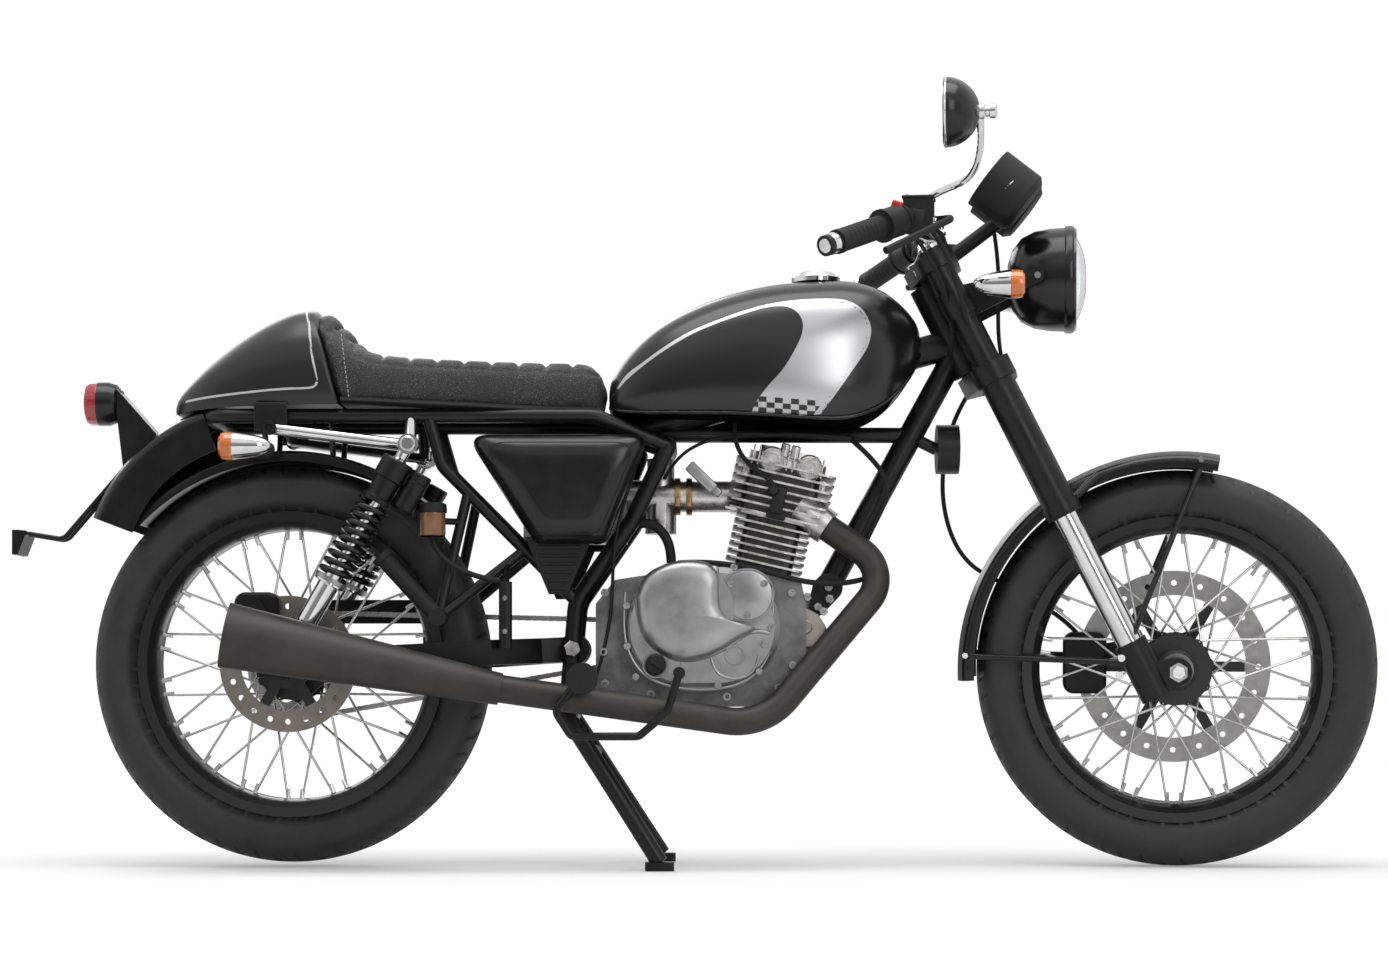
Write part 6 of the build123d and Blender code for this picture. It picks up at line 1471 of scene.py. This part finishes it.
TAPPET_PROFILE = ((0, 0), (20, 0), (20, 7), (17.5, 9), (13, 9), (13, 12), (9, 12), (9, 9.5), (0, 9.5))
TAPPETS_ALONG = (-24, 34)
HEAD_RIBS = 13
HEAD_RIB_PITCH = 9.0
POST_PROFILE = ((0, -12), (7, -12), (7, 6), (5.5, 8), (0, 8))


def on_deck(height, along, left):
    """A place by its height over the leaning deck, ahead of its middle and to the left."""
    return DECK + DECK_UP * height + DECK_ALONG * along + LEFT * left


def head_details():
    """Nuts, tappet caps, ribs and posts on the cylinder head."""
    nuts = [on_deck(168, along * 0.9, side * 50) for along in (-58, -20, 20, 58) for side in (-1, 1)]
    settle(joined("head_nuts", bolt_parts(nuts, DECK_UP, 8, 12, 6, 0.0001)), "frame", steel)
    casts = []
    for along in TAPPETS_ALONG:
        for side in (-1, 1):
            out = (0, side, 0)
            casts.append(turned_object("tappet", TAPPET_PROFILE, on_deck(172, along, side * 54), out, 40))
            face = on_deck(172, along, side * 62)
            screws = [wheel_point(face, 16.5, angle) for angle in (0.9, 2.5, 4.1, 5.6)]
            casts += bolt_parts(screws, out, 3.2, 3.4, 6, 0.4)
    for step in range(HEAD_RIBS):
        along = (step - HEAD_RIBS // 2) * HEAD_RIB_PITCH
        if min(abs(along - tappet) for tappet in TAPPETS_ALONG) < 20:
            continue
        for side in (-1, 1):
            place = on_deck(174, along, side * 55)
            casts.append(block_object("rib", place, (2.6, 12, 30), 0.8, DECK_LEAN_DEGREES))
    for along, height in ((-60, 150), (60, 150), (-8, 192), (8, 192)):
        for side in (-1, 1):
            casts.append(turned_object("post", POST_PROFILE, on_deck(height, along, side * 58), DECK_UP, 24))
    settle(joined("tappet_caps", casts), "frame", fin_alloy)


STARTER_OUTLINE = ((135, 341), (145, 403), (160, 403), (189, 388), (201, 368), (196, 352), (183, 339),
                   (160, 337))
STARTER_MIDDLE = (168, 368)
STARTER_CAP = ((0, 0), (11, 0), (11, 2), (9, 3.4), (7, 2.4), (0, 2.4))
SKIRT_OUTLINE = ((-150, 262), (-118, 248), (150, 246), (172, 268), (172, 284), (-150, 284))
SKIRT_HALF_WIDTH = 82


def case_details():
    """The starter's cover, the engine's mount bolts and the skirt under the crankcase."""
    steps = ((1, -60), (1, -70), (0.95, -72))
    rings = [scaled(STARTER_OUTLINE, STARTER_MIDDLE, size, y) for size, y in steps]
    cover = [loft_object("starter_plate", rings)]
    cover.append(turned_object("starter_cap", STARTER_CAP, (169, -71.8, 368), RIGHT, 40))
    settle(joined("starter_cover", cover), "frame", starter_paint)
    studs = [Vector((x, -70, z)) for x, z in ((206, 411), (197, 392), (172, 414))]
    studs += [Vector((206, -38, 430)), Vector((190, -38, 400))]
    settle(joined("mount_bolts", bolt_parts(studs, RIGHT, 7, 8, 6, 0.4)), "frame", steel)
    base = [[Vector((x, y, z)) for x, z in SKIRT_OUTLINE] for y in (-SKIRT_HALF_WIDTH, SKIRT_HALF_WIDTH)]
    settle(loft_object("crankcase_skirt", base), "frame", case_alloy)


cover_details()
intake_details()
head_details()
case_details()


# Fork, bars and cables
def fork_details():
    """Seals, clamp screws, the caps of the fork and the stem nut."""
    seals, screws, caps = [], [], []
    inner = 21.5
    cap = [(0, 0), (19, 0), (19, 5), (15, 8), (12, 8), (12, 11), (0, 11)]
    for side in (-1, 1):
        for station, radius, tall in ((250, 28, 16), (262, 27, 8), (478, 30, 6)):
            place = on_fork(station, LEG_FORWARD, side * LEG_Y)
            profile = [(inner, 0), (radius, 0), (radius, tall * 0.7), (radius - 2.5, tall)]
            profile += [(inner, tall), (inner, 0)]
            seals.append(turned_object("seal", profile, place, FORK_UP, 40))
        screws += [on_fork(station, LEG_FORWARD - 30, side * (LEG_Y - 22)) for station in (487, 501, 682)]
        caps.append(turned_object("cap", cap, on_fork(702, LEG_FORWARD, side * LEG_Y), FORK_UP, 32))
    settle(joined("fork_seals", seals), "steering", rubber)
    caps.append(turned_object("nut", [(0, 0), (17, 0), (17, 9), (12, 11), (0, 11)], on_fork(694), FORK_UP, 6))
    settle(joined("fork_caps", caps), "steering", chrome)
    settle(joined("clamp_screws", bolt_parts(screws, -FORK_FORWARD, 5.5, 7)), "steering", steel)


fork_details()


FRONT_BRAKE_HOSE = (
    (428, 50, 742), (408, 74, 712), (392, 84, 674), (381, 85, 614), (382, 85, 556), (400, 84, 496),
    (432, 82, 458), (466, 80, 444), (508, 78, 414), (566, 72, 390), (600, 64, 352),
)
BRAKE_HOSE_RADIUS = 3.6
LAMP_BOLT = (531, 905)
SWING_PIVOT = (-185, 335)
BOTTLE = Vector((-394, -122, 527))
BOTTLE_PROFILE = ((0, -24), (18, -24), (19.6, -21), (19.6, 12), (0, 12))
BOTTLE_CAP = ((0, 11), (18, 11), (21.4, 12), (21.8, 16), (21, 24.5), (18, 26.5), (0, 27))
BOTTLE_HOSE = ((-394, -122, 503), (-390, -124, 480), (-360, -128, 452), (-318, -130, 440), (-292, -128, 436))
REFLECTOR_Z = 500
REFLECTOR_PROFILE = ((0, 0), (19, 0), (19.5, 2), (18.5, 3.4), (0, 4.2))


def steered_fasteners():
    """The front axle's nut, screws on the fork and the lamp's ears, and the hose down to the brake."""
    heads = side_bolts([(FRONT_AXLE.x, FRONT_AXLE.z)], -118, 11, 7, 6, 0.45)
    for angle in (84, 176):
        place = wheel_point(FRONT_AXLE, 322, math.radians(angle)) + RIGHT * 67
        heads += bolt_parts([place], RIGHT, 5, 5, 6, 0.4)
    heads += bolt_parts([on_fork(20, 8, -112), on_fork(-2, -6, -112)], RIGHT, 6, 5)
    for y in (-91, 91):
        heads += side_bolts([LAMP_BOLT], y, 5.5, 4)
    hose = tube_object("front_brake_hose", FRONT_BRAKE_HOSE, BRAKE_HOSE_RADIUS)
    settle(hose, "steering", rubber)
    settle(joined("steered_bolts", heads), "steering", chrome)


def frame_fasteners():
    """Bolt heads on the frame, and the fluid bottle with its cap and hose."""
    heads = []
    for y in (-84, 84):
        heads += side_bolts([SWING_PIVOT], y, 13, 8, 6, 0.4)
    heads += side_bolts([(-386, 381), (-163, 288)], -128, 6, 5)
    heads += side_bolts([(-284, 410), (-284, 360)], -136, 4, 4)
    settle(joined("frame_bolts", heads), "frame", steel)
    settle(turned_object("fluid_bottle", BOTTLE_PROFILE, BOTTLE, UP, 40), "frame", fluid)
    settle(turned_object("bottle_cap", BOTTLE_CAP, BOTTLE, UP, 24), "frame", plastic_black)
    settle(tube_object("bottle_hose", BOTTLE_HOSE, 4.2), "frame", rubber)


def round_reflector():
    """The round red reflector on the tail's bracket."""
    reflector = turned_object("reflector", REFLECTOR_PROFILE, (-1045.5, 0, REFLECTOR_Z), BACK, 40)
    settle(reflector, "frame", red_lens)


def side_reflectors():
    """The two oblong red reflectors beside the round one."""
    sides = []
    for side in (-1, 1):
        sides.append(block_object("side_reflector", (-1046, side * 22, REFLECTOR_Z), (5, 16, 26), 1.5))
    settle(joined("side_reflectors", sides), "frame", red_lens)


def horn_face():
    """The horn's dished face and its two raised rings, sized by the horn of the frame."""
    low, high = [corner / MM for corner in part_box("horn")]
    face = Vector((high.x, 0.5 * (low.y + high.y), 0.5 * (low.z + high.z)))
    reach = 0.5 * (high.z - low.z)
    # Columns: share of the reach, distance along
    shares = ((0, -6), (0.62, -6), (0.6, -2.5), (0.45, -1), (0.2, -0.4), (0.18, -2), (0, -2))
    bell = [turned_object("dome", [(share * reach, along) for share, along in shares], face, AHEAD, 48)]
    for middle in (0.74 * reach, 0.88 * reach):
        profile = [(middle - 1.4, -3), (middle, -1.2), (middle + 1.4, -3), (middle - 1.4, -3)]
        bell.append(turned_object("ring", profile, face, AHEAD, 48))
    settle(joined("horn_face", bell), "frame", steel)


steered_fasteners()
frame_fasteners()
round_reflector()
horn_face()
side_reflectors()


GRIP_INNER = Vector((335, 228, 978))
GRIP_OUTER = Vector((246, 344, 934))
GRIP_RIBS = 14
BAR_END_PROFILE = ((0, 0), (11, 0), (13, 2), (15.6, 6), (15.6, 14), (14, 22), (10, 26.5), (4, 27), (0, 27))
COLLAR_PROFILE = ((11.2, -26), (15.5, -26), (16, -22), (16, -14), (11.2, -14), (11.2, -26))
# Columns: name, radius, places
BAR_CABLES = (
    ("brake_hose", BRAKE_HOSE_RADIUS, (
        (372, -176, 968), (392, -176, 946), (410, -160, 900), (424, -126, 840), (436, -70, 796),
        (440, -10, 772), (434, 34, 754), (428, 50, 742))),
    ("throttle_cable", 3.0, ((345, -205, 962), (372, -176, 930), (396, -130, 880), (404, -80, 830),
                             (400, -50, 790))),
    ("clutch_cable", 3.0, ((345, 205, 962), (380, 170, 950), (410, 120, 900), (410, 70, 840),
                           (400, 40, 790))),
    ("speedometer_cable", 3.2, (
        (462, 58, 990), (470, 70, 940), (470, 60, 880), (468, 40, 800), (500, 40, 700), (560, 60, 560),
        (640, 66, 420), (700, 58, 330), (730, 50, 312))),
)


def bar_details():
    """Ribbed grips, bar ends, levers' reservoir cap, switch and cables."""
    grips, ends, bright = [], [], []
    length = (GRIP_OUTER - GRIP_INNER).length
    profile = [(11.2, 0), (21, 0), (21, 5), (17, 7)]
    for step in range(GRIP_RIBS):
        along = 9 + step * (length - 22) / GRIP_RIBS
        profile += [(17.1, along), (17.1, along + 5.2), (16.4, along + 6), (16.4, along + 7.6)]
    profile += [(17.8, length - 8), (17.8, length), (11.2, length), (11.2, 0)]
    for side in (-1, 1):
        inner, outer = [Vector((place.x, side * place.y, place.z)) for place in (GRIP_INNER, GRIP_OUTER)]
        run = (outer - inner).normalized()
        grips.append(turned_object("grip", profile, inner, run, 36))
        ends.append(turned_object("end", BAR_END_PROFILE, outer, run, 36))
        bright.append(turned_object("collar", COLLAR_PROFILE, inner, run, 32))
    settle(joined("grips", grips), "steering", rubber)
    settle(joined("bar_ends", ends), "steering", chrome)
    lid = block_object("reservoir_lid", (357, -200, 1010), (48, 60, 5), 2)
    settle(lid, "steering", plastic_black)
    bright += bolt_parts([Vector((x, y, 1012)) for x in (340, 374) for y in (-222, -178)], UP, 3, 2.4)
    bright.append(block_object("reservoir_clamp", (328, -196, 984), (8, 26, 26), 2))
    bright += bolt_parts([Vector((322, -188, z)) for z in (994, 974)], BACK, 4, 5)
    for side in (-1, 1):
        bright.append(block_object("lever_mount", (372, side * 216, 976), (26, 20, 9), 3, 8))
    bright += bolt_parts([Vector((x, y, 981)) for y in (-45, 45) for x in (360, 384)], UP, 4.5, 5)
    settle(joined("bar_clamps", bright), "steering", chrome)
    housing = [block_object("housing", (349, side * 214, 976), (42, 34, 40), 9, 10) for side in (-1, 1)]
    settle(joined("switch_housings", housing), "steering", plastic_black)
    switch = block_object("stop_switch", (327, -236, 997), (17, 14, 12), 3, 18)
    settle(switch, "steering", red_plastic)
    for name, radius, places in BAR_CABLES:
        settle(tube_object(name, places, radius), "steering", rubber)


bar_details()


MIRROR_CENTRE = Vector((398, -318, 1118))
MIRROR_HALF_WIDTH = 59.5
MIRROR_HALF_HEIGHT = 49.0
# Columns: distance ahead of the glass, share of the full size
MIRROR_SHAPE = (
    (0, 0.975), (4, 1.0), (12, 0.985), (22, 0.92), (32, 0.80), (41, 0.62), (47, 0.42), (50.5, 0.2),
    (51.5, 0.03),
)
MIRROR_JOINT = (
    (0, -4), (9, -4), (11, 0), (11, 12), (8, 15), (8, 19), (10.5, 21), (10.5, 28), (8, 31), (0, 31),
)
MIRROR_STEM = (
    (368, -206, 1006), (384, -214, 1018), (412, -226, 1024), (436, -246, 1036), (448, -272, 1062),
    (450, -296, 1090), (450, -314, 1108), (448, -318, 1118),
)
MIRROR_FOOT = ((0, 0), (9, 0), (9, 8), (7, 12), (0, 12))


def mirror_oval(ahead, half_width, half_height):
    """An upright oval round the mirror's centre, so far ahead of it."""
    return [
        MIRROR_CENTRE + Vector((ahead, half_width * math.cos(a), half_height * math.sin(a)))
        for a in ring_angles(48)
    ]


def mirror():
    """The right mirror: a domed black back, a bright edge, its glass, joint and curved stem."""
    rings = [
        mirror_oval(ahead, MIRROR_HALF_WIDTH * size, MIRROR_HALF_HEIGHT * size)
        for ahead, size in smooth_rows(MIRROR_SHAPE, 3)
    ]
    back = settle(loft_object("mirror_back", rings), "steering", gloss_black, 60)
    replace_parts(back, "mirror")
    edge = mirror_oval(3, MIRROR_HALF_WIDTH - 0.7, MIRROR_HALF_HEIGHT - 0.7)
    parts = [tube_object("mirror_edge", edge, 1.8, False, True)]
    parts.append(turned_object("joint", MIRROR_JOINT, MIRROR_CENTRE + AHEAD * 45, (1, 0, 0.02), 32))
    parts.append(tube_object("stem", MIRROR_STEM, 5.4))
    parts.append(turned_object("foot", MIRROR_FOOT, (368, -206, 1000), UP, 6))
    settle(joined("mirror_stem", parts), "steering", chrome)
    layers = ((1.2, 1.0), (-0.4, 1.0), (-0.8, 0.97))
    pane = [mirror_oval(ahead, 56 * size, 45.5 * size) for ahead, size in layers]
    settle(loft_object("mirror_pane", pane), "steering", silvered)


mirror()


DIAL_TILT = math.radians(38)
DIAL_UP = Vector((-math.sin(DIAL_TILT), 0, math.cos(DIAL_TILT)))
DIAL_CENTRE = Vector((484, 0, 1034)) + DIAL_UP * 0.4
DIAL_Y = 58
DIAL_RIM = ((43, -1), (49, -1), (49, 2), (46, 4), (43, 3), (43, -1))
DIAL_FACE = ((0, 0), (43, 0), (43, 0.6), (0, 0.6))
DIAL_GLASS = ((0, 3.2), (43, 2.6), (43, 3.4), (0, 4.2))
DIAL_MARKS = 25
DIAL_SWEEP = 260
MARKS_TO_LONG_ONE = 4


def dial_bar(face, degrees, height, reach, size, round_by):
    """A thin bar over a dial's face that points out from its middle at an angle, reach away from it."""
    angle = math.radians(degrees)
    out = LEFT * math.sin(angle) - DIAL_UP.cross(LEFT) * math.cos(angle)
    bar = block_object("bar", (0, 0, 0), size, round_by)
    turn = Matrix((out.cross(DIAL_UP), out, DIAL_UP)).transposed().to_4x4()
    bar.data.transform(Matrix.Translation((face + DIAL_UP * height + out * reach) * MM) @ turn)
    return bar


def instruments():
    """Dial faces with scale marks, needles, bright rims and glasses on the two instruments."""
    rims, faces, marks, glasses = [], [], [], []
    for side in (-1, 1):
        face = DIAL_CENTRE + LEFT * side * DIAL_Y
        rims.append(turned_object("rim", DIAL_RIM, face, DIAL_UP, 64))
        faces.append(turned_object("dial", DIAL_FACE, face, DIAL_UP, 64))
        for mark in range(DIAL_MARKS):
            degrees = mark * DIAL_SWEEP / (DIAL_MARKS - 1) - DIAL_SWEEP / 2
            size = (0.9, 4, 0.5) if mark % MARKS_TO_LONG_ONE else (1.6, 7, 0.5)
            marks.append(dial_bar(face, degrees, 1.0, 38 - size[1] / 2, size, 0.1))
        marks.append(dial_bar(face, -120, 2.0, 12, (1.8, 34, 0.8), 0.2))
        glasses.append(turned_object("glass", DIAL_GLASS, face, DIAL_UP, 64))
    settle(joined("dial_rims", rims), "steering", chrome)
    settle(joined("dial_faces", faces), "steering", plastic_black)
    settle(joined("dial_marks", marks), "steering", white_paint)
    settle(joined("dial_glasses", glasses), "steering", glass)


instruments()


# Studio
FLOOR_REACH = 6.0
FLOOR_Z = -0.0005
# The camera stands here and looks to the left of the machine
CAMERA = (0.0087, -4.3, 0.257)
SENSOR_WIDTH = 36.0
IMAGE_WIDTH = 1388.0
FOCAL_PIXELS = 2774.0
PRINCIPAL_U = 700.0
HORIZON_V = 700.0
IMAGE_CENTRE = (694.0, 490.0)
# How dark reflections from the sides are, as from black cards beside the machine
FLAG_DARKNESS = 0.72
AMBIENT = 0.45
# Columns: name, place, aimed at, size, power
LAMPS = (
    ("top_lamp", (0.0, -0.6, 3.6), (0, 0, 0.5), (3.4, 2.0), 75),
    ("side_lamp", (1.6, -3.6, 1.7), (0.1, 0, 0.6), (1.2, 2.2), 28),
    ("back_lamp", (-1.4, 3.2, 2.2), (0, 0, 0.6), (2.4, 1.6), 30),
)


def studio_surface(name, shade, near, far):
    """A pale surface that keeps its shadows and shows near white to the camera and in reflections."""
    made, tree, shader = material(name)
    tree.nodes.remove(shader)
    output = tree.nodes["Material Output"]
    diffuse = add_node(tree, "ShaderNodeBsdfDiffuse")
    diffuse.inputs["Color"].default_value = (shade, shade, shade, 1)
    glow = add_node(tree, "ShaderNodeEmission")
    path = add_node(tree, "ShaderNodeLightPath")
    mirrored = math_node(tree, "MULTIPLY", path.outputs["Is Glossy Ray"], 0.5)
    seen = math_node(tree, "MAXIMUM", path.outputs["Is Camera Ray"], mirrored)
    seen = math_node(tree, "MAXIMUM", seen, path.outputs["Is Transmission Ray"])
    flat = vector_node(tree, "MULTIPLY", object_output(tree), (0.45, 1.0, 0.0))
    lit = between(tree, vector_node(tree, "LENGTH", flat), near, far, 0.5, 1.9)
    tree.links.new(math_node(tree, "MULTIPLY", seen, lit), glow.inputs["Strength"])
    both = add_node(tree, "ShaderNodeAddShader")
    tree.links.new(diffuse.outputs[0], both.inputs[0])
    tree.links.new(glow.outputs[0], both.inputs[1])
    tree.links.new(both.outputs[0], output.inputs["Surface"])
    return made


def studio():
    """Floor, world, lamps and the camera at the photograph's angle."""
    mesh = bpy.data.meshes.new("floor")
    corners = [(x * FLOOR_REACH, y * FLOOR_REACH, FLOOR_Z) for x, y in ((-1, -1), (1, -1), (1, 1), (-1, 1))]
    mesh.from_pydata(corners, [], [(0, 1, 2, 3)])
    floor = bpy.data.objects.new("floor", mesh)
    floor.data.materials.append(studio_surface("floor_surface", 0.75, 0.30, 0.78))
    bpy.context.scene.collection.objects.link(floor)
    world = bpy.context.scene.world or bpy.data.worlds.new("world")
    bpy.context.scene.world = world
    world.use_nodes = True
    tree = world.node_tree
    background = tree.nodes["Background"]
    path = add_node(tree, "ShaderNodeLightPath")
    coords = add_node(tree, "ShaderNodeTexCoord")
    split = add_node(tree, "ShaderNodeSeparateXYZ")
    tree.links.new(coords.outputs["Generated"], split.inputs[0])
    sideways = between(tree, math_node(tree, "ABSOLUTE", split.outputs["Y"]), 0, 1, 0.45, 0.80)
    level = between(tree, split.outputs["Z"], 1, 0, 0.22, 0.52)
    flag = math_node(tree, "MULTIPLY", math_node(tree, "MULTIPLY", sideways, level), FLAG_DARKNESS)
    mirrored = path.outputs["Is Glossy Ray"]
    gloss = math_node(tree, "MULTIPLY", mirrored, math_node(tree, "SUBTRACT", 1.0, flag))
    seen = math_node(tree, "MAXIMUM", path.outputs["Is Camera Ray"], gloss)
    seen = math_node(tree, "MAXIMUM", seen, path.outputs["Is Transmission Ray"])
    background.inputs["Color"].default_value = (1, 1, 1, 1)
    ambient = math_node(tree, "MULTIPLY", math_node(tree, "SUBTRACT", 1.0, mirrored), AMBIENT)
    tree.links.new(math_node(tree, "MAXIMUM", seen, ambient), background.inputs["Strength"])
    for name, place, aim, size, power in LAMPS:
        lamp = bpy.data.lights.new(name, "AREA")
        lamp.shape = "RECTANGLE"
        lamp.size, lamp.size_y = size
        lamp.energy = power
        holder = bpy.data.objects.new(name, lamp)
        holder.location = place
        holder.rotation_euler = (Vector(aim) - Vector(place)).to_track_quat("-Z", "Y").to_euler()
        bpy.context.scene.collection.objects.link(holder)
    camera = bpy.data.cameras.new("camera")
    camera.sensor_width = SENSOR_WIDTH
    camera.lens = FOCAL_PIXELS / IMAGE_WIDTH * SENSOR_WIDTH
    camera.shift_x = (IMAGE_CENTRE[0] - PRINCIPAL_U) / IMAGE_WIDTH
    camera.shift_y = (HORIZON_V - IMAGE_CENTRE[1]) / IMAGE_WIDTH
    camera.clip_end = 100.0
    holder = bpy.data.objects.new("camera", camera)
    holder.location = CAMERA
    holder.rotation_euler = (math.radians(90), 0, 0)
    bpy.context.scene.collection.objects.link(holder)
    bpy.context.scene.camera = holder
    bpy.context.scene.view_settings.view_transform = "Standard"


studio()
